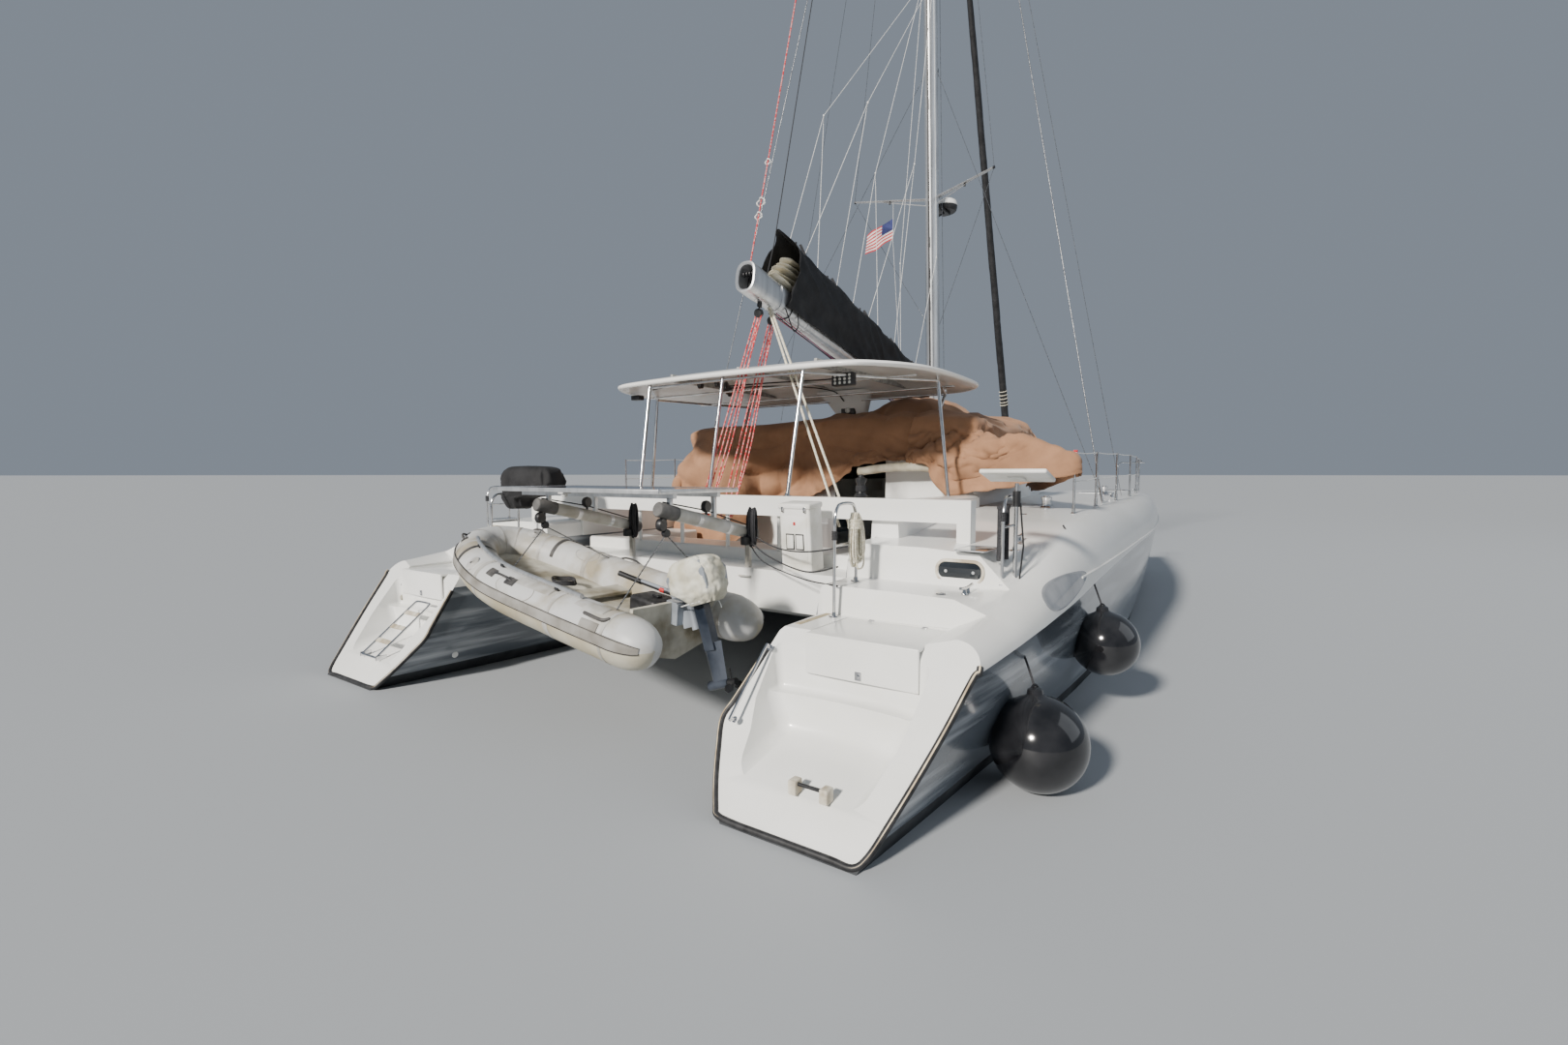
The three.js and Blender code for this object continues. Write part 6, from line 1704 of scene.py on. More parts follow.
# The dinghy hangs from the davits: a light grey collar tube with cone ends, a darker rubbing strake, welded seams,
# valves, a patch and grab handles, round a moulded hull with a thwart and an oar.
TENDER = (
    Matrix.Translation((1.083, -6.12, 0.9)) @ Matrix.Rotation(math.radians(175), 4, "Z")
    @ Matrix.Rotation(math.radians(-6), 4, "Y")
)
COLLAR_Y = 0.575  # from the dinghy's middle to that of each side tube
TUBE_HALF = [
    (0.04, COLLAR_Y, 0), (0.9, COLLAR_Y, 0), (1.9, 0.565, 0.02), (2.6, 0.445, 0.09), (2.98, 0.24, 0.15),
    (3.08, 0, 0.17),
]
TUBE_R = 0.205
CONE = [(-0.335, 0.012), (-0.325, 0.06), (-0.3, 0.105), (-0.262, 0.145), (-0.2, 0.175), (-0.13, 0.195),
        (-0.05, 0.205)]
tube_line = smooth_path(
    [Vector(p) for p in TUBE_HALF] + [Vector((x, -y, z)) for x, y, z in reversed(TUBE_HALF[:-1])], 14,
)
centre_line = [Vector((x, COLLAR_Y, 0)) for x, _ in CONE] + tube_line
centre_line += [Vector((x, -COLLAR_Y, 0)) for x, _ in reversed(CONE)]
radii = [r for _, r in CONE] + [TUBE_R] * len(tube_line) + [r for _, r in reversed(CONE)]


def tube_frame(i):
    along = (centre_line[min(i + 1, len(centre_line) - 1)] - centre_line[max(i - 1, 0)]).normalized()
    out = UP.cross(along).normalized()
    return centre_line[i], out, along.cross(out)


def on_tube(i, turn, lift=0.0):
    """A place on the collar: the line's i-th point, turned up from straight outboard, and standing off its skin."""
    if i != int(i):
        return on_tube(int(i), turn, lift).lerp(on_tube(int(i) + 1, turn, lift), i - int(i))
    i = int(i)
    point, out, up = tube_frame(i)
    return point + (out * math.cos(turn) + up * math.sin(turn)) * (radii[i] + lift)


def tube_band(bm, i0, i1, turn0, turn1, lift, slot, steps=6):
    """A strip of the same cloth or rubber that lies on the collar."""
    lifts = [-0.004] + [lift] * (steps - 1) + [-0.004]
    skinned(bm, [
        [on_tube(i, lerp(turn0, turn1, k / steps), lifts[k]) for k in range(steps + 1)] for i in range(i0, i1 + 1)
    ])
    painted(bm, slot)


bm = bmesh.new()
rings = []
for i in range(len(radii)):
    rings.append([
        on_tube(i, turn, 0.0022 * noise.noise(Vector((i * 0.35, k * 0.5, 0.0)))) for k, turn in enumerate(around(48))
    ])
loft(bm, rings, materials=[4 if 37 <= k <= 48 or k == 0 else 0 for k in range(48)])
END = len(CONE)
LAST = len(centre_line) - 1
tube_band(bm, 2, LAST - 2, -0.1, 0.36, 0.012, 1, 8)
tube_band(bm, 2, LAST - 2, -0.1, -0.05, 0.016, 2, 2)
tube_band(bm, 2, LAST - 2, 0.31, 0.36, 0.016, 2, 2)
SEAMS = [END, END + 12, END + 30, END + 45, END + 58, LAST // 2, LAST - END - 58, LAST - END - 45, LAST - END - 30,
         LAST - END - 12, LAST - END]
for i in SEAMS:
    tube_band(bm, i, i + 1, 0, math.tau, 0.0025, 3, 48)
tube_band(bm, END + 14, END + 22, 0.9, 1.5, 0.004, 3)
tube_band(bm, LAST - END - 22, LAST - END - 14, 0.7, 1.35, 0.004, 3)
for i, turn in ((LAST - END - 34, 0.75), (END + 34, 0.75), (LAST - END - 4, 1.2), (LAST - END - 50, 1.9)):
    axis = on_tube(i, turn, 0.1) - on_tube(i, turn)
    centre = on_tube(i, turn, -0.002)
    turned(bm, [(0, 0.016), (0.018, 0.016), (0.022, 0.01), (0.03, 0.008), (0.034, 0.004), (0.075, 0.003), (0.078, 0)],
           centre, axis, 28, slot=3)
    turned(bm, [(0, 0.02), (0.012, 0.019), (0.014, 0.012), (0, 0.012)], centre, axis, 16, slot=2)
for i in (LAST - END - 24, END + 24, LAST - END - 52, END + 52):
    turn = 0.95
    axis = (on_tube(i, turn, 0.1) - on_tube(i, turn)).normalized()
    tube_band(bm, i - 3, i - 1, turn - 0.25, turn + 0.25, 0.005, 2)
    tube_band(bm, i + 2, i + 4, turn - 0.25, turn + 0.25, 0.005, 2)
    sweep(bm, smooth_path([on_tube(i - 2, turn, 0.0), on_tube(i - 1, turn, 0.03), on_tube(i + 1, turn, 0.034),
                           on_tube(i + 3, turn, 0.0)], 6), 0.011, 8, slot=2)
# a lifting patch with its strap near the motor, a worn oval patch, and the faint ring of one that came off
tube_band(bm, END + 2, END + 6, 0.26, 0.72, 0.006, 1)
sweep(bm, smooth_path([on_tube(END + 0.5, 1.0, 0.004), on_tube(END + 2, 0.82, 0.018), on_tube(END + 6, 0.86, 0.012)],
                      8),
      0.014, 8, slot=2)
tube_band(bm, END + 3, END + 9, 1.0, 1.62, 0.004, 3)
for middle, turn, length, height in ((END + 20.5, 0.72, 3.9, 0.52), (LAST - END - 30.5, 2.1, 3.0, 0.4)):
    ring = [on_tube(middle + length * math.cos(t), turn + height * math.sin(t), 0.0005)
            for t in around(60, closed=True)]
    sweep(bm, ring, 0.0035, 6, slot=3)
for i in (END + 40, LAST - END - 40):
    tube_band(bm, i, i + 1, 0.1, 3.0, 0.007, 2, 20)
bm.transform(TENDER)
collar_grey = mottled("coated_fabric_grey", (0.5, 0.5, 0.49), 0.45, ((0.34, 0.3, 0.22), (0.55, 0.555, 0.55)), 2.2,
                      detail=12, spread=(0.34, 0.55))
strake = mottled("rubber_mid_grey", (0.24, 0.23, 0.21), 0.6, ((0.17, 0.155, 0.13), (0.31, 0.3, 0.28)), 4.0, detail=9)
rub_black = mottled("rubber_dark", (0.04, 0.04, 0.042), 0.6, ((0.025, 0.025, 0.027), (0.09, 0.085, 0.08)), 9.0,
                    detail=9)
seam_grey = mottled("seam_tape_grey", (0.44, 0.44, 0.43), 0.5, ((0.32, 0.3, 0.26), (0.5, 0.5, 0.49)), 6.0, detail=9)
collar_stained = mottled("coated_fabric_stained", (0.5, 0.46, 0.34), 0.5, ((0.33, 0.27, 0.15), (0.52, 0.5, 0.42)),
                         1.6, detail=11, spread=(0.3, 0.62))
piece("dinghy_collar", bm, [collar_grey, strake, rub_black, seam_grey, collar_stained], "collar_cloth",
      stands_for=("tender_collar",), angle=50)
hull_cream = mottled("dinghy_hull_cream", (0.52, 0.49, 0.4), 0.5, ((0.2, 0.17, 0.11), (0.58, 0.56, 0.48)), 3.0,
                     detail=11, spread=(0.34, 0.6))
finished("tender_hull", hull_cream, "gelcoat", 0.008, angle=40)
bm = bmesh.new()
slab(bm, 1.15, 1.4, -0.4, 0.4, -0.01, 0.025, 0.01, slot=0)
oar = smooth_path([on_tube(END + k, 1.42 + 0.004 * k, 0.028) for k in (9, 16, 24, 32, 40, 46)], 6)
sweep(bm, oar, 0.02, 12, slot=1)
for k in (14, 27, 40):
    turned(bm, [(0, 0.03), (0.024, 0.03), (0.026, -0.03), (0, -0.03)], on_tube(END + k, 1.42 + 0.004 * k, 0.012),
           on_tube(END + k + 1, 1.42, 0.02) - on_tube(END + k, 1.42, 0.02), 16, slot=2)
slab(bm, 0.35, 0.7, -0.26, 0.02, -0.12, 0.14, 0.04, slot=3)
slab(bm, 0.42, 0.5, -0.14, -0.08, 0.14, 0.165, 0.008, slot=2)
sweep(bm, smooth_path([(0.5, -0.1, 0.12), (0.42, 0.1, 0.06), (0.25, 0.16, 0.12), (0.16, 0.05, 0.2)], 8), 0.009, 8,
      slot=2)
for k in range(3):
    loop = [Vector((1.7 + 0.13 * math.cos(t) + 0.01 * k, 0.02 + 0.1 * math.sin(t),
                    0.03 + 0.014 * k + 0.006 * math.sin(3 * t))) for t in around(30, closed=True)]
    sweep(bm, loop, 0.008, 6, slot=4)
bm.transform(TENDER)
piece("dinghy_gear", bm, [hull_cream, alloy, black, rubber, rope_dark], "gelcoat", angle=50)

# The outboard motor on the dinghy's transom: a cast leg and gearcase, a clamp bracket, a tiller with a grip, and a
# loose cream cloth cover over the cowl, drawn in with a cord below.
OUTBOARD = Matrix.Translation((1.16, -6.105, 1.12)) @ Matrix.Rotation(math.radians(-18), 4, "Y")
motor_grey = mottled("motor_paint_grey", (0.27, 0.3, 0.34), 0.35, ((0.2, 0.22, 0.25), (0.33, 0.36, 0.4)), 5.0,
                     metallic=0.2, coat=0.3, detail=8)
leg_dark = mottled("leg_paint_dark", (0.02, 0.03, 0.05), 0.35, ((0.012, 0.018, 0.03), (0.05, 0.06, 0.08)), 5.0,
                   metallic=0.2, detail=8)
motor_body = finished("outboard_motor", motor_grey, "cast_paint", 0.006, body="outboard", angle=40, extra=(leg_dark,))
for polygon in motor_body.data.polygons:
    if (OUTBOARD.inverted() @ polygon.center).z < -0.2:
        polygon.material_index = 1
finished("outboard_clamp", motor_grey, "cast_paint", 0.004, angle=40)
finished("outboard_propeller", black, "black_gloss", 0.001, body="outboard_prop", segments=2, angle=40)
COWL = [(0.13, 0.1, -0.045), (0.152, 0.12, -0.02), (0.19, 0.15, 0.035), (0.203, 0.16, 0.1), (0.205, 0.163, 0.19),
        (0.196, 0.158, 0.245), (0.165, 0.138, 0.302), (0.13, 0.11, 0.33), (0.075, 0.06, 0.345), (0.02, 0.015, 0.348)]
bm = bmesh.new()
rings = []
COWL_ROWS = 46
for k in range(COWL_ROWS + 1):
    share = k / COWL_ROWS * (len(COWL) - 1)
    low = min(int(share), len(COWL) - 2)
    u, v, z = (lerp(a, b, share - low) for a, b in zip(COWL[low], COWL[low + 1]))
    ring = []
    for turn in around(96):
        x, y = boxy(math.cos(turn), 0.7), boxy(math.sin(turn), 0.7)
        place = Vector((x * 2.6, y * 2.6, z * 12))
        crinkle = 0.012 * (1 - 2.5 * abs(noise.noise(place + UP * 4)))
        crinkle += 0.006 * (1 - 2.5 * abs(noise.noise(place * 2.3))) + 0.002 * noise.noise(place * 6)
        gathered = 0.006 * math.sin(turn * 17 + 2 * noise.noise(place)) * max(0.0, 1 - k / 9)
        size = 1 + (crinkle + gathered) / max(u, 0.05) * min(1, u / 0.1)
        aft = 0.06 * min(u / 0.15, 1) if x > 0 else 0
        rise = 0.59 * max(0.0, 0.1 - z) * min(1.0, max(0.0, -1.6 * x))
        ring.append(Vector((0.11 + x * (u + aft) * size, y * v * size, z + rise)))
    rings.append(ring)
loft(bm, rings, caps=False)
cowl_area = sum(face.calc_area() for face in bm.faces)
bm.transform(OUTBOARD)
cowl_cloth = woven_cloth("cover_cream", (0.62, 0.6, 0.5), 0.65, ((0.5, 0.47, 0.36), (0.7, 0.69, 0.6)), 7.0,
                         (160, 0.15, 0.5), detail=9)
cowl = piece("motor_cover", bm, [cowl_cloth], "canvas", body=None, angle=180)
thickened(cowl, 0.0016)
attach(cowl, "outboard")
bm = bmesh.new()
tie = [Vector((0.11 + boxy(math.cos(t), 0.7) * 0.158, boxy(math.sin(t), 0.7) * 0.118, -0.022))
       for t in around(48, closed=True)]
sweep(bm, tie, 0.005, 8)
sweep(bm, smooth_path([(0.27, 0.02, -0.022), (0.285, 0.03, -0.06), (0.28, 0.045, -0.11)], 6), 0.004, 6)
TILLER = [(-0.02, 0.0, 0.03), (-0.22, -0.028, 0.147), (-0.26, -0.033, 0.17), (-0.44, -0.056, 0.278)]
for near, far, radius, slot in zip(TILLER, TILLER[1:], (0.021, 0.024, 0.0185), (1, 2, 1)):
    sweep(bm, [near, far], radius, 14, slot=slot)
grip = [Vector(TILLER[-1]).lerp(Vector((-0.655, -0.082, 0.41)), k / 24) for k in range(25)]
sweep(bm, grip, [0.0225 if k % 2 else 0.0245 for k in range(25)], 14, slot=1)
sweep(bm, smooth_path([(-0.04, 0.05, 0.0), (-0.16, 0.12, -0.02), (-0.2, 0.14, -0.14), (-0.1, 0.2, -0.2)], 8), 0.008,
      8, slot=1)
bm.transform(OUTBOARD)
band_red = mottled("band_red", (0.5, 0.02, 0.02), 0.4, ((0.42, 0.015, 0.015), (0.55, 0.03, 0.03)), 9.0)
piece("motor_tiller", bm, [rope_white, black, band_red], "black_gloss", body="outboard", angle=50)


# The davits: two stout cream-grey tubes on posts, with dark end caps, blocks and coiled falls, and two rails that
# carry a thin framed solar panel. Wire bridles hold the dinghy by both its sides.
davit_paint = mottled("davit_paint", (0.5, 0.49, 0.46), 0.35, ((0.38, 0.36, 0.31), (0.56, 0.555, 0.53)), 5.0,
                      detail=9)
DAVIT_X = (-0.67, 0.94)
PANEL_RAILS = ((-5.54, 1.7), (-6.1, 1.84))  # y of each rail, and how far down its posts reach
PANEL_RAIL_Z = 1.985
bm = bmesh.new()
for x in DAVIT_X:
    foot, head = Vector((x, -4.95, 1.59)), Vector((x, -6.23, 1.88))
    aim = (head - foot).normalized()
    sweep(bm, [foot, head], 0.06, 32)
    for end, way, length in ((foot, -1, 0.05), (head, 1, 0.2)):
        sweep(bm, [end - aim * way * length, end + aim * way * 0.004, end + aim * way * 0.014],
              [0.0635, 0.0635, 0.054], 32, slot=4)
    for part in (0.3, 0.62):
        sweep(bm, [foot.lerp(head, part), foot.lerp(head, part + 0.035)], 0.0625, 32, slot=2)
    slab(bm, x - 0.025, x + 0.025, -5.06, -5.01, 1.2, 1.66, 0.008)
    slab(bm, x - 0.07, x + 0.07, -5.11, -4.96, 1.185, 1.2, 0.006)
    for y, low in PANEL_RAILS:
        slab(bm, x - 0.02, x + 0.02, y - 0.02, y + 0.02, low, 1.975, 0.005, slot=2)
    for dy, drop in ((0.03, 0.085), (0.6, -0.17)):
        spot = head - aim * dy - Vector((0, 0, drop + 0.035))
        turned(bm, [(0, 0.026), (0.05, 0.024), (0.056, 0.0), (0.05, -0.024), (0, -0.026)], spot, (1, 0.15, 0), 24,
               slot=1)
        sweep(bm, [spot, spot + Vector((0, 0, drop))], 0.012, 8, slot=1)
    sweep(bm, [head - aim * 0.05 + UP * 0.07, head - aim * 0.6 + UP * 0.1,
               head - aim * 1.2 + UP * 0.07], 0.006, 8, slot=3)
    slab(bm, x + 0.03, x + 0.1, -5.2, -5.06, 1.5, 1.58, 0.012, slot=1)
    for turn in range(9):
        coil = [Vector((x + 0.05 + 0.011 * turn, -5.1 + (0.02 + 0.004 * (turn % 4)) * math.sin(t),
                        1.66 + 0.012 * (turn % 3) + (0.15 + 0.01 * (turn % 4)) * math.cos(t)))
                for t in around(28, closed=True)]
        sweep(bm, coil, 0.0085, 6, slot=3)
for y, _ in PANEL_RAILS:
    sweep(bm, [(-1.07, y, PANEL_RAIL_Z), (1.0, y, PANEL_RAIL_Z)], 1.0,
          section=[(0.02, 0.02), (0.02, -0.02), (-0.02, -0.02), (-0.02, 0.02)], up=(0, 0, 1), slot=2)
cap_grey = mottled("cap_plastic_grey", (0.09, 0.09, 0.09), 0.6, ((0.06, 0.06, 0.06), (0.13, 0.125, 0.12)), 8.0,
                   detail=8)
piece("davit_arms", bm, [davit_paint, black, alloy, rope_dark, cap_grey], "cast_paint", stands_for=("davits",),
      angle=45)
bm = bmesh.new()
PANEL = (-1.3, 1.0, -6.295, -5.255, 2.0053, 2.045)
x0, x1, y0, y1, z0, z1 = PANEL
for a, b, c, d in ((x0, x1, y0, y0 + 0.035), (x0, x1, y1 - 0.035, y1), (x0, x0 + 0.035, y0 + 0.035, y1 - 0.035),
                   (x1 - 0.035, x1, y0 + 0.035, y1 - 0.035)):
    slab(bm, a, b, c, d, z0, z1, 0.0025, 2)
slab(bm, x0 + 0.03, x1 - 0.03, y0 + 0.03, y1 - 0.03, z0 + 0.012, z1 - 0.004, 0, slot=1)
slab(bm, x0 + 0.036, x1 - 0.036, y0 + 0.036, y1 - 0.036, z0 + 0.0095, z0 + 0.0118, 0, slot=2)
slab(bm, -0.25, -0.05, -5.45, -5.36, z0 - 0.022, z0 + 0.009, 0.006, slot=3)
CELLS = (12, 6)
for i in range(CELLS[0]):
    for j in range(CELLS[1]):
        cell_x = lerp(x0 + 0.045, x1 - 0.045, i / CELLS[0])
        cell_y = lerp(y0 + 0.045, y1 - 0.045, j / CELLS[1])
        slab(bm, cell_x + 0.003, cell_x + (x1 - x0 - 0.09) / CELLS[0] - 0.003, cell_y + 0.003,
             cell_y + (y1 - y0 - 0.09) / CELLS[1] - 0.003, z1 - 0.0042, z1 - 0.0033, 0, slot=3)
cells_back = mottled("panel_back_white", (0.62, 0.62, 0.61), 0.5, ((0.5, 0.49, 0.46), (0.66, 0.66, 0.65)), 3.0,
                     detail=8)
cells = mottled("solar_cells", (0.01, 0.014, 0.04), 0.12, ((0.006, 0.009, 0.028), (0.016, 0.022, 0.06)), 8.0,
                coat=0.6)
sheet_dark = mottled("panel_face", (0.05, 0.055, 0.07), 0.15, ((0.04, 0.045, 0.06), (0.08, 0.085, 0.1)), 20.0)
slab(bm, -0.275, -0.205, -6.292, -6.2, z0 - 0.016, z0 + 0.002, 0.004, slot=2)
turned(bm, [(0, 0.004), (0.027, 0.0), (0.03, -0.012), (0.022, -0.03), (0, -0.036)], (-0.24, -6.246, z0 - 0.014),
       (0, 0, 1), 28, slot=2)
piece("solar_module", bm, [alloy, sheet_dark, cells_back, cells], "solar_glass", stands_for=("solar_panel",),
      angle=45)
BRIDLE_Y = -6.15
bm = bmesh.new()
for x in DAVIT_X:
    hook = Vector((x, BRIDLE_Y, 1.8))
    sweep(bm, [hook - UP * 0.1, hook], 0.009, 8, slot=1)
    turned(bm, [(0, 0.022), (0.034, 0.02), (0.038, 0), (0.034, -0.02), (0, -0.022)], hook - UP * 0.12, (1, 0, 0),
           18, slot=1)
    for y in (-COLLAR_Y, COLLAR_Y):
        local = TENDER.inverted() @ Vector((x, BRIDLE_Y, 1.0))
        low = TENDER @ Vector((local.x, y * 0.985, 0.19))
        sweep(bm, [hook - UP * 0.13, low], 0.0055, 8)
        turned(bm, [(0, 0.012), (0.03, 0.01), (0.036, 0), (0, -0.004)], low, (0, 0, 1), 18, slot=1)
piece("bridle_wires", bm, [wire, black], "stainless", angle=50)

# On the aft deck: the white storage box that leans on the rail, two dark-framed panels let into its face, and the
# thin white aerial panel on its pole.
bm = bmesh.new()
slab(bm, -0.165, 0.165, -0.11, 0.11, 0.0, 0.6, 0.018, 4)
slab(bm, -0.175, 0.175, -0.12, 0.12, 0.585, 0.64, 0.018, 4)
slab(bm, -0.13, 0.13, -0.1135, -0.109, 0.08, 0.52, 0.002, 2)
for x in (-0.052, 0.052):
    slab(bm, x - 0.046, x + 0.046, -0.1185, -0.112, 0.21, 0.36, 0.002, 2, slot=1)
    slab(bm, x - 0.036, x + 0.036, -0.1205, -0.117, 0.222, 0.348, 0.001, 2)
slab(bm, -0.012, 0.012, -0.119, -0.112, 0.44, 0.47, 0.002, 2, slot=2)
for x in (-0.12, 0.12):
    slab(bm, x - 0.012, x + 0.012, -0.128, -0.118, 0.56, 0.61, 0.003, 2, slot=3)
bm.transform(Matrix.Translation((1.48, -4.89, 1.272)) @ Matrix.Rotation(math.radians(5), 4, "X"))
box_white = mottled("box_plastic_white", (0.78, 0.77, 0.73), 0.5, ((0.62, 0.6, 0.52), (0.8, 0.79, 0.76)), 4.0,
                    detail=9, spread=(0.3, 0.55))
piece("storage_locker", bm, [box_white, black, band_red, chrome], "moulded", stands_for=("storage_box",), angle=45)
bm = bmesh.new()
POLE = (3.44, -4.9)
sweep(bm, [(*POLE, 1.2), (*POLE, 2.1)], 0.016, 16, slot=1)
sweep(bm, [(*POLE, 1.92), (*POLE, 2.04)], 0.03, 16, slot=2)
sweep(bm, [(3.47, -4.9, 1.3), (3.5, -4.9, 1.62), (3.47, -4.9, 1.95)], 0.007, 8, slot=2)
plate = bmesh.new()
slab(plate, -0.25, 0.25, -0.15, 0.15, -0.016, 0.018, 0.012, 4)
slab(plate, -0.06, 0.06, -0.05, 0.05, -0.035, -0.012, 0.006)
absorbed(bm, plate, Matrix.Translation((*POLE, 2.158)) @ Matrix.Rotation(math.radians(-14), 4, "X"))
piece("aerial", bm, [box_white, stainless, black], "moulded", stands_for=("aerial_panel",), angle=45)


# Guard rails down both sides: stanchions in welded bases, two covered wires, and a pulpit of bent tube at each bow.
# The starboard aft stanchion holds the tied-out corner of the canvas with a red lashing.
STANCHIONS = [-2.64, -1.5, -0.1, 1.4, 2.9, 4.4]
RAIL_TOP = 0.64
WIRE_HEIGHTS = (RAIL_TOP - 0.012, 0.33)
PULPIT_Y = 5.65


def rail_at(y, height):
    """Above the deck's edge on the starboard side."""
    row = section(y)
    return Vector((row[4] - 0.06, y, row[5] + height))


for side, sign in SIDES:
    bm = bmesh.new()
    for y in STANCHIONS:
        sweep(bm, [rail_at(y, -0.06), rail_at(y, RAIL_TOP)], 0.0128, 14)
        turned(bm, [(0, 0.11), (0.018, 0.11), (0.019, 0.03), (0.042, 0.012), (0.045, 0), (0, 0)],
               rail_at(y, -0.018), (0, 0, 1), 20)
        turned(bm, [(0, 0.012), (0.009, 0.01), (0.0135, 0), (0, -0.002)], rail_at(y, RAIL_TOP), (0, 0, 1), 14)
        for height in WIRE_HEIGHTS:
            turned(bm, [(0, 0.01), (0.0145, 0.01), (0.0145, -0.01), (0, -0.01)], rail_at(y, height), (0, 0, 1), 14)
    for height in WIRE_HEIGHTS:
        runs = [rail_at(y, height) + UP * 0.003 for y in STANCHIONS + [PULPIT_Y]]
        for a, b in zip(runs, runs[1:]):
            sweep(bm, [a, a.lerp(b, 0.5) - UP * 0.009, b], 0.0048, 8, slot=1)
        end = runs[-1]
        sweep(bm, [end - Vector((0, 0.26, 0)), end - Vector((0, 0.08, 0))], 0.009, 10)
    pulpit = [
        rail_at(PULPIT_Y, -0.06), rail_at(PULPIT_Y, 0.5), rail_at(PULPIT_Y + 0.15, RAIL_TOP), (2.96, 6.5, 2.42),
        (2.8, 6.9, 2.43), (2.66, 6.5, 2.42), (2.6, 5.9, 2.42), (2.56, 5.7, 2.33), (2.56, 5.68, 1.7),
    ]
    sweep(bm, smooth_path(pulpit, 10, pull=0.32), 0.0138, 14)
    sweep(bm, [(2.8, 6.6, 1.68), (2.8, 6.885, 2.42)], 0.0118, 12)
    for foot in (rail_at(PULPIT_Y, -0.02), Vector((2.56, 5.68, 1.81)), Vector((2.8, 6.61, 1.755))):
        turned(bm, [(0, 0.03), (0.019, 0.028), (0.022, 0.012), (0.042, 0.008), (0.044, 0), (0, 0)], foot, (0, 0, 1),
               20)
    slab(bm, 2.74, 2.86, 6.845, 6.905, 2.44, 2.475, 0.01, slot=2)
    if sign > 0:
        for k in range(7):
            knot = rail_at(STANCHIONS[0], RAIL_TOP - 0.05 + 0.011 * k)
            sweep(bm, level_loop(knot, 0.019, 0.019, 16), 0.0055, 6, slot=3)
    bm.transform(Matrix.Scale(sign, 4, (1, 0, 0)))
    piece("guard_rails_" + side, bm, [stainless, rope_white, black, rope_red], "stainless",
          stands_for=("guard_rail_" + side,), angle=50)

# Stern rails: an upright hoop of bent tube with a mid bar on each side of the stern steps, on round feet.
HOOP_R = 0.013
# the heights of what the aft and the forward foot stand on
HOOP_FLOORS = {"stern_rail_inboard": (1.066, 1.3), "stern_rail_outboard": (1.33, 1.56)}
for base, (floor_aft, floor_fwd) in HOOP_FLOORS.items():
    for side, sign in SIDES:
        node = base + "_" + side
        low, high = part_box(node)
        x = abs((low.x + high.x) / 2)
        aft, forward = low.y + HOOP_R, high.y - HOOP_R
        bm = bmesh.new()
        hoop = [
            (aft, low.z + 0.02), (aft, high.z - 0.16), (aft + 0.055, high.z - 0.03),
            ((aft + forward) / 2, high.z - HOOP_R),
            (forward - 0.055, high.z - 0.03), (forward, high.z - 0.16), (forward, low.z + 0.02),
        ]
        sweep(bm, smooth_path([(x, y, z) for y, z in hoop], 10, pull=0.3), HOOP_R, 14)
        middle = lerp(low.z, high.z, 0.62)
        sweep(bm, [(x, aft, middle), (x, forward, middle)], 0.0105, 12)
        for y, z in ((aft, floor_aft), (forward, floor_fwd)):
            turned(bm, [(0, 0.034), (0.017, 0.032), (0.02, 0.012), (0.042, 0.008), (0.044, 0), (0, 0)], (x, y, z),
                   (0, 0, 1), 20)
        if base == "stern_rail_outboard" or side == "starboard":
            for k in range(6):
                loop = level_loop(Vector((x, aft, middle + 0.05 + 0.012 * k)), 0.018, 0.018, 16)
                sweep(bm, loop, 0.006, 6, slot=1)
        bm.transform(Matrix.Scale(sign, 4, (1, 0, 0)))
        piece(node + "_tube", bm, [stainless, rope_dark], "stainless", stands_for=(node,), angle=50)

# Odds and ends tied to the stern rails: a hank of cream rope and a bundle of thin line on the starboard inboard
# hoop, two rod holders on the outboard one, and to port a small grill under a black cover.
bm = bmesh.new()
generator = random.Random(11)
for k in range(15):
    reach = 0.3 + 0.1 * generator.random()
    lean = 0.03 * (generator.random() - 0.5)
    x = 2.315 + 0.05 * (generator.random() - 0.5)
    top = Vector((x, -5.42 + lean, 1.86))
    loop = [top, top + Vector((0.02, 0.045, -0.1)), top + Vector((0.025, 0.05 + lean, -reach)),
            top + Vector((0.02, 0.0, -reach - 0.05)), top + Vector((0.015, -0.05 + lean, -reach)),
            top + Vector((0.01, -0.045, -0.1)), top]
    sweep(bm, smooth_path(loop, 6), 0.0075, 6)
for k in range(6):
    sweep(bm, level_loop(Vector((2.318, -5.42, 1.74 + 0.013 * k)), 0.047, 0.062, 20), 0.0075, 6)
for line, radius in (
    ([(2.3, -5.66, 1.45), (1.9, -5.5, 1.36), (1.35, -5.25, 1.42), (0.98, -5.1, 1.55)], 0.007),
    ([(2.3, -5.36, 1.6), (1.8, -5.28, 1.5), (1.4, -5.2, 1.5), (0.98, -5.06, 1.6)], 0.007),
    ([(2.3, -5.66, 1.3), (1.8, -5.4, 1.28), (1.25, -5.2, 1.36), (0.98, -5.06, 1.5)], 0.006),
):
    sweep(bm, smooth_path(line, 8), radius, 8, slot=1)
for y in (-4.83, -4.98):
    sweep(bm, [(3.345, y, 1.5), (3.345, y, 1.92)], 0.024, 18, slot=1)
    sweep(bm, [(3.345, y, 1.9), (3.345, y, 1.925)], 0.029, 18, slot=1)
piece("stern_rail_gear", bm, [rope_cream, rope_dark], "sailcloth", angle=50)
bm = bmesh.new()
grill = Vector((-1.97, -5.36, 2.06))
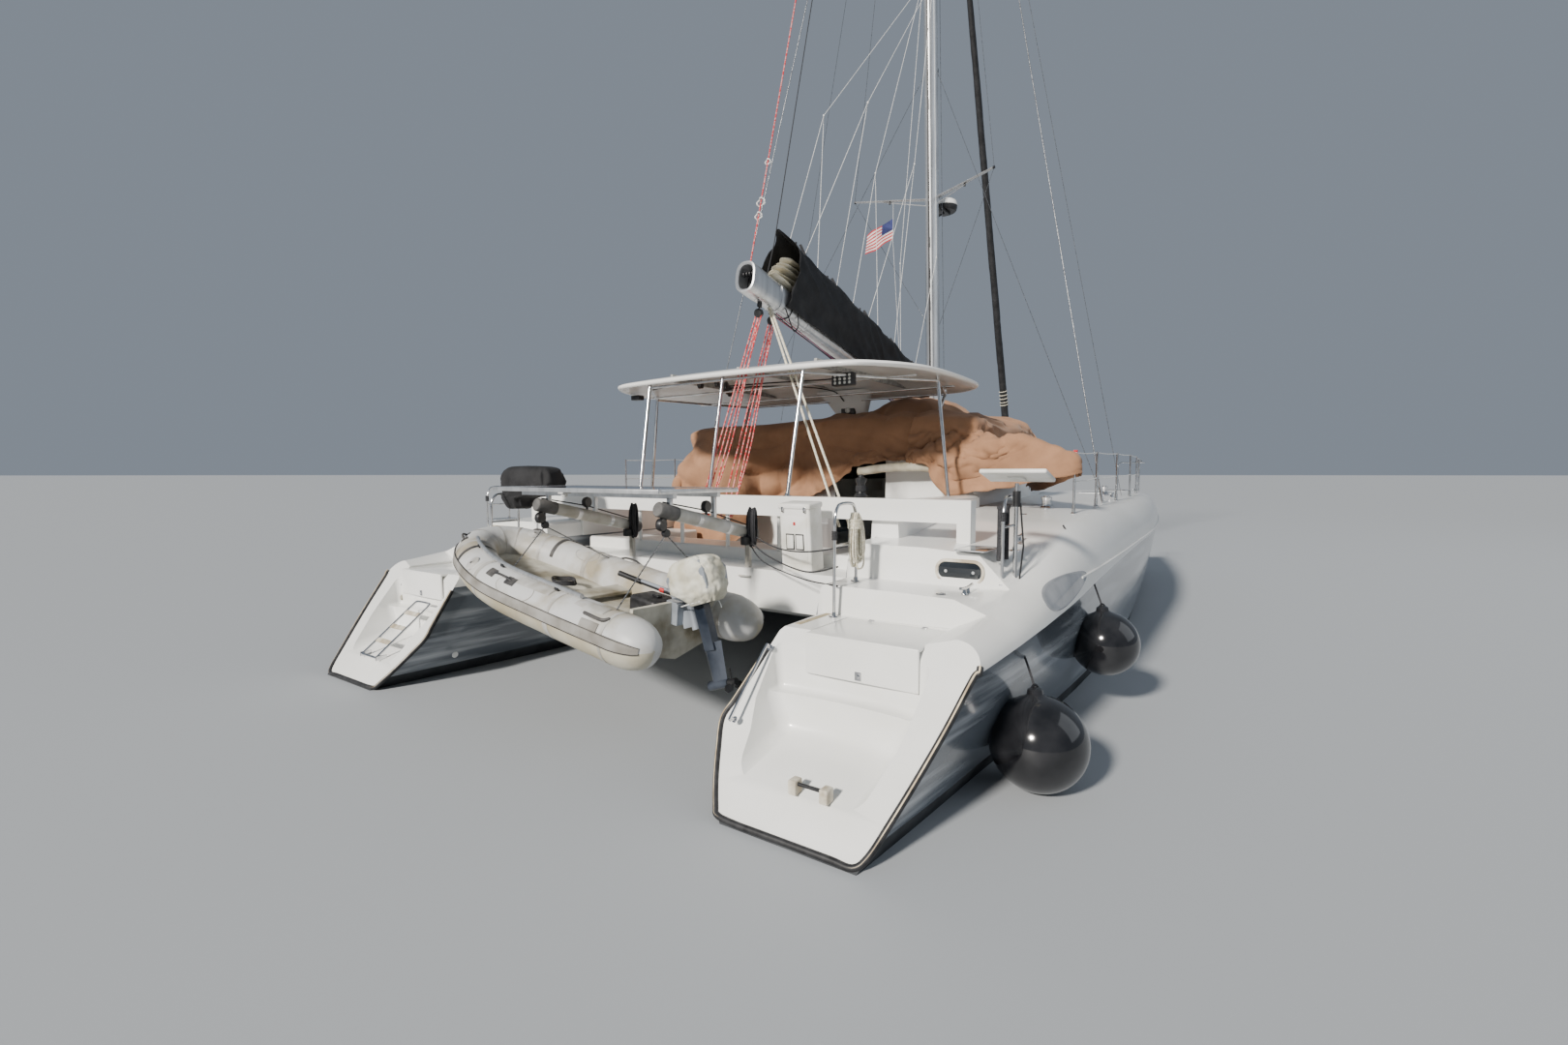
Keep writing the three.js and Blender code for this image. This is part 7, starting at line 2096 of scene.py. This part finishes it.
GRILL = [  # height, half width and half depth: a tray under a domed lid, all in one cover
    (-0.3, 0.05, 0.06), (-0.28, 0.13, 0.1), (-0.17, 0.19, 0.15), (-0.12, 0.4, 0.17), (-0.02, 0.44, 0.19),
    (0.08, 0.43, 0.19), (0.15, 0.39, 0.16), (0.19, 0.3, 0.11), (0.2, 0.05, 0.03),
]
rings = []
for height, half_x, half_y in smooth_path(GRILL, 6):
    ring = []
    for t in around(72):
        c, s = math.cos(t), math.sin(t)
        crease = 0.022 * (1 - 2.4 * abs(noise.noise(Vector((c * 2.2, s * 2.2, height * 6)))))
        x = boxy(c, 0.5) * (half_x + crease * min(half_x * 4, 1))
        y = boxy(s, 0.6) * (half_y + crease * min(half_y * 4, 1))
        shift = -0.28 * eased((-0.1 - height) / 0.08)
        ring.append(grill + Vector((x + shift, y, height + 0.01 * noise.noise(Vector((c * 3, s * 3, 1.5))))))
    rings.append(ring)
loft(bm, rings)
piece("grill_under_cover", bm, [bag_cloth], "sailcloth", angle=180)


# Helm wheel: a polished rim and five spokes on a hub with a black cap. It turns on the console's shaft.
HUB = Vector((-1.45, -2.84, 1.78))
WHEEL_R = 0.36
bm = bmesh.new()
sweep(bm, loop_of(HUB, Vector((WHEEL_R, 0, 0)), UP * WHEEL_R, 96), 0.0138, 14)
for k in range(5):
    turn = k * math.tau / 5 + math.pi / 2
    end = HUB + Vector((math.cos(turn), 0, math.sin(turn))) * (WHEEL_R - 0.004)
    sweep(bm, smooth_path([HUB + Vector((0, 0.006, 0)), HUB.lerp(end, 0.5) + Vector((0, -0.004, 0)), end], 5), 0.0078,
          10)
turned(bm, [(0, -0.03), (0.02, -0.03), (0.034, -0.024), (0.0378, -0.01), (0.0378, 0.04), (0, 0.04)], HUB, (0, 1, 0),
       32, slot=1)
piece("helm_wheel_rim", bm, [stainless, black], "stainless", body="helm_wheel", stands_for=("steering_wheel",),
      angle=50)

# Ahead of the saloon: an alloy crossbeam with end fittings and its own striker wire, the longeron, the anchor on its
# roller, and between the hulls a laced net.
bm = bmesh.new()
BEAM_Y, BEAM_Z = 6.8, 1.6
sweep(bm, [(-2.68, BEAM_Y, BEAM_Z), (2.68, BEAM_Y, BEAM_Z)], 0.09, 40)
for sign in (-1, 1):
    sweep(bm, [(sign * 2.62, BEAM_Y, BEAM_Z), (sign * 2.75, BEAM_Y, BEAM_Z)], 0.099, 40, slot=1)
    sweep(bm, [(sign * 2.55, BEAM_Y, 1.53), (0, BEAM_Y, 1.36)], 0.006, 8, slot=2)
sweep(bm, [(0, BEAM_Y, 1.35), (0, BEAM_Y, 1.53)], 0.02, 14)
slab(bm, -0.06, 0.06, 6.765, 6.905, 1.6, 1.795, 0.012)
piece("crossbeam_tube", bm, [alloy, black, stainless], "alloy", stands_for=("crossbeam",), angle=45)
finished("longeron", alloy, "alloy", 0.012)
finished("anchor", cast, "cast_paint", 0.008, angle=40)
NET_HALF = 2.6
NET_Y = (3.302, 6.785)
net_cord = woven_cloth("net_webbing", (0.5, 0.5, 0.48), 0.8, ((0.4, 0.4, 0.38), (0.58, 0.58, 0.56)), 4.0,
                       (120, 0.4, 0.2), detail=8)
y0, y1 = NET_Y


def net_edge(y):
    """How far out the net reaches, at its lacing along the hull."""
    return min(section(y)[7] - 0.03, NET_HALF)


for side, sign in SIDES:
    bm = bmesh.new()
    rows = []
    for k in range(41):
        y = lerp(y0, y1, k / 40)
        rows.append([(sign * lerp(0.1, net_edge(y), j / 24), y,
                      1.648 - 0.006 * math.sin(math.pi * j / 24) * math.sin(math.pi * k / 40)) for j in range(25)])
    skinned(bm, rows)
    net_area = sum(face.calc_area() for face in bm.faces)
    net = piece("net_" + side, bm, [net_cord], "netting", body=None, angle=180,
                stands_for=("trampoline",) if sign > 0 else ())
    thick = net.modifiers.new("cloth", "SOLIDIFY")
    thick.thickness = 0.003
    applied(net)
    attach(net, "root")
bm = bmesh.new()
for sign in (-1, 1):
    edge = [(sign * net_edge(y), y, 1.65) for y in [lerp(y0, y1, k / 30) for k in range(31)]]
    sweep(bm, edge, 0.008, 8)
    for k in range(46):
        y = lerp(y0 + 0.05, y1 - 0.05, k / 45)
        inner = net_edge(y)
        sweep(bm, [(sign * inner, y, 1.652), (sign * (inner + 0.055), y + (0.03 if k % 2 else -0.03), 1.64)], 0.0035,
              6)
piece("net_lacing", bm, [rope_white], "netting", angle=50)

# Hull windows and the rub line: long teardrops of dark acrylic let into both topsides under the deck edge, with a
# raised white line that runs forward from them.
TEARDROP_MIDDLE = (-4.44, 0.142)  # station, and height over the chine
smoked = mottled("smoked_acrylic", (0.3, 0.31, 0.325), 0.1, ((0.25, 0.26, 0.275), (0.36, 0.37, 0.385)), 4.0, coat=0.6)


def on_side(y, z, lift=0.0):
    """The starboard topside at a station and height, above the chine, standing off by lift."""
    z = max(z, section(y)[3] + 0.03)
    ring = hull_ring(y)
    best = None
    for a, b in zip(ring[7:19], ring[8:20]):
        if (a.z - z) * (b.z - z) <= 0 and a.z != b.z:
            best = a.lerp(b, (z - a.z) / (b.z - a.z))
            slope = (b - a).normalized()
            break
    if best is None:
        best, slope = ring[11], UP
    out = Vector((slope.z, 0, -slope.x))
    return best + out * lift


for side, sign in SIDES:
    bm = bmesh.new()
    middle_y, middle_h = TEARDROP_MIDDLE
    rings = []
    for share, lift in ((1.06, 0.0005), (1.06, 0.005), (1.0, 0.0085), (0.97, 0.006), (0.8, 0.0075), (0.5, 0.009),
                         (0.2, 0.0095), (0.02, 0.0095)):
        ring = []
        for t in around(72):
            y = middle_y + share * 0.53 * math.cos(t)
            narrow = 0.1 * (1 - 0.3 * math.cos(t))
            ring.append(on_side(y, section(y)[3] + middle_h + share * narrow * math.sin(t), lift))
        rings.append(ring)
    loft(bm, rings, caps=False)
    line = [on_side(y, z, 0.004) for y, z in [(lerp(-4.05, 4.9, k / 90), lerp(1.29, 1.47, k / 90))
                                              for k in range(91)]]
    sweep(bm, line, 0.011, 8, slot=1)
    bm.transform(Matrix.Scale(sign, 4, (1, 0, 0)))
    piece("hull_window_" + side, bm, [smoked, gelcoat], "tinted_glass", angle=50)

# Deck hardware in stainless and black: mooring cleats, filler caps, flush hatches with tinted lids, the oval port in
# the step's riser and winches.
bm = bmesh.new()


def cleat(bm, x, y, z, turn, size=0.13):
    """A two-horned mooring cleat on its base."""
    along = Vector((math.cos(turn), math.sin(turn), 0))
    base = Vector((x, y, z))
    for s in (-0.3, 0.3):
        sweep(bm, [base + along * size * s, base + along * size * s + UP * 0.035], [0.018, 0.012], 12)
        turned(bm, [(0, 0.006), (0.024, 0.005), (0.026, 0), (0, 0)], base + along * size * s, (0, 0, 1), 16)
    horn = [base + along * size * s + UP * (0.04 + 0.012 * s**2) for s in (-1.0, -0.75, -0.3, 0.3, 0.75, 1.0)]
    sweep(bm, smooth_path(horn, 4), [0.006] + [0.0115] * 19 + [0.006], 10)


def deck_height(y):
    return section(y)[DECK_COLUMN]


for sign in (-1, 1):
    cleat(bm, sign * 3.22, -5.36, 1.292, math.pi / 2)
    cleat(bm, sign * 3.3, -4.32, 1.6, math.pi / 2)
    cleat(bm, sign * 3.25, 0.6, deck_height(0.6) - 0.006, math.pi / 2)
    cleat(bm, sign * 2.8, 6.25, deck_height(6.25), math.pi / 2)
    turned(bm, [(0, 0.006), (0.034, 0.006), (0.04, 0), (0, 0)], (sign * 3.07, -5.48, 1.291), (0, 0, 1), 24)
    turned(bm, [(0, 0.006), (0.034, 0.006), (0.04, 0), (0, 0)], (sign * 2.95, -2.9, deck_height(-2.9)), (0, 0, 1), 24)
    for x, y in ((sign * 3.05, -2.35), (sign * 3.08, 1.0)):
        base = Vector((x, y, deck_height(y) - 0.004))
        turned(bm, [(0, 0), (0.07, 0), (0.07, 0.02), (0.05, 0.035), (0.043, 0.09), (0.056, 0.12), (0.058, 0.135),
                    (0.03, 0.14), (0.03, 0.152), (0, 0.152)], base, (0, 0, 1), 32, slot=1)
winch_at = Vector((1.93, -4.6, 1.955))
turned(bm, [(0, 0), (0.06, 0), (0.062, 0.02), (0.042, 0.04), (0.038, 0.12), (0.052, 0.15), (0.052, 0.175),
            (0.026, 0.185), (0.024, 0.21), (0, 0.212)], winch_at, (0, 0, 1), 36, slot=2)
for k in range(4):
    z = 2.015 + 0.014 * k
    sweep(bm, level_loop(Vector((winch_at.x, winch_at.y, z)), 0.046, 0.046, 24), 0.0065, 6, slot=3)
piece("deck_hardware", bm, [stainless, chrome, black, rope_dark], "stainless", angle=45)


def rounded_outline(half_a, half_b, radius, steps=7):
    points = []
    for sx, sy, start in ((1, 1, 0), (-1, 1, 1), (-1, -1, 2), (1, -1, 3)):
        for k in range(steps):
            t = (start + k / (steps - 1)) * math.pi / 2
            points.append((sx * (half_a - radius) + radius * math.cos(t),
                           sy * (half_b - radius) + radius * math.sin(t)))
    return points


def hatch(bm, centre, half_a, half_b, radius, axis_a, axis_b, frame_width=0.03, rise=0.012, frame_slot=0):
    """A flush framed pane: an alloy frame with a tinted lid let into it."""
    centre, axis_a, axis_b = Vector(centre), Vector(axis_a), Vector(axis_b)
    normal = axis_a.cross(axis_b).normalized()

    def ring(inset, lift):
        return [centre + axis_a * a + axis_b * b + normal * lift
                for a, b in rounded_outline(half_a - inset, half_b - inset, max(radius - inset, 0.008))]
    loft(bm, [ring(0, -0.004), ring(0, rise * 0.7), ring(0.004, rise), ring(frame_width - 0.004, rise),
              ring(frame_width, rise * 0.7), ring(frame_width + 0.001, -0.003)], slot=frame_slot)
    loft(bm, [ring(frame_width + 0.002, -0.002), ring(frame_width + 0.002, rise * 0.75),
              ring(frame_width + 0.01, rise * 0.9)],
         slot=1)


bm = bmesh.new()
for sign in (-1, 1):
    for y in (-1.9, 2.1, 4.2):
        hatch(bm, (sign * 2.75, y, deck_height(y) - 0.001), 0.24 if y < 4 else 0.2, 0.24, 0.05, (1, 0, 0), (0, 1, 0))
    hatch(bm, (sign * 3.075, -5.102, 1.41), 0.2, 0.098, 0.09, (1, 0, 0), (0, 0, 1), 0.026, 0.016, 2)
    for x in (-0.11, 0.11):
        turned(bm, [(0, 0.012), (0.011, 0.01), (0.014, 0), (0, 0)], (sign * 3.075 + x, -5.113, 1.41), (0, -1, 0), 14)
    hatch(bm, (sign * 3.17, -4.97, 1.582), 0.13, 0.2, 0.03, (1, 0, 0), (0, 1, 0), 0.012, 0.006)
piece("hatches", bm, [alloy, tinted, worn_cream], "tinted_glass", angle=45)
bm = bmesh.new()
for x in (2.17, -2.225):
    slab(bm, x, x + 0.055, -6.07, -5.58, 1.058, 1.066, 0.003, 2)
teak = mottled("teak", (0.32, 0.16, 0.06), 0.6, ((0.2, 0.09, 0.035), (0.42, 0.22, 0.09)), 5.0, stretch=(12, 1, 12),
               detail=9)
pad_tan = mottled("tread_tan", (0.42, 0.35, 0.22), 0.85, ((0.34, 0.28, 0.17), (0.48, 0.41, 0.28)), 30.0)
for k in range(11):
    slab(bm, -1.3 + 0.24 * k, -1.3 + 0.24 * k + 0.228, -4.06, -2.42, 0.9802, 0.99, 0.003, 2, slot=1)
piece("deck_pads", bm, [pad_tan, teak], "moulded", angle=45)
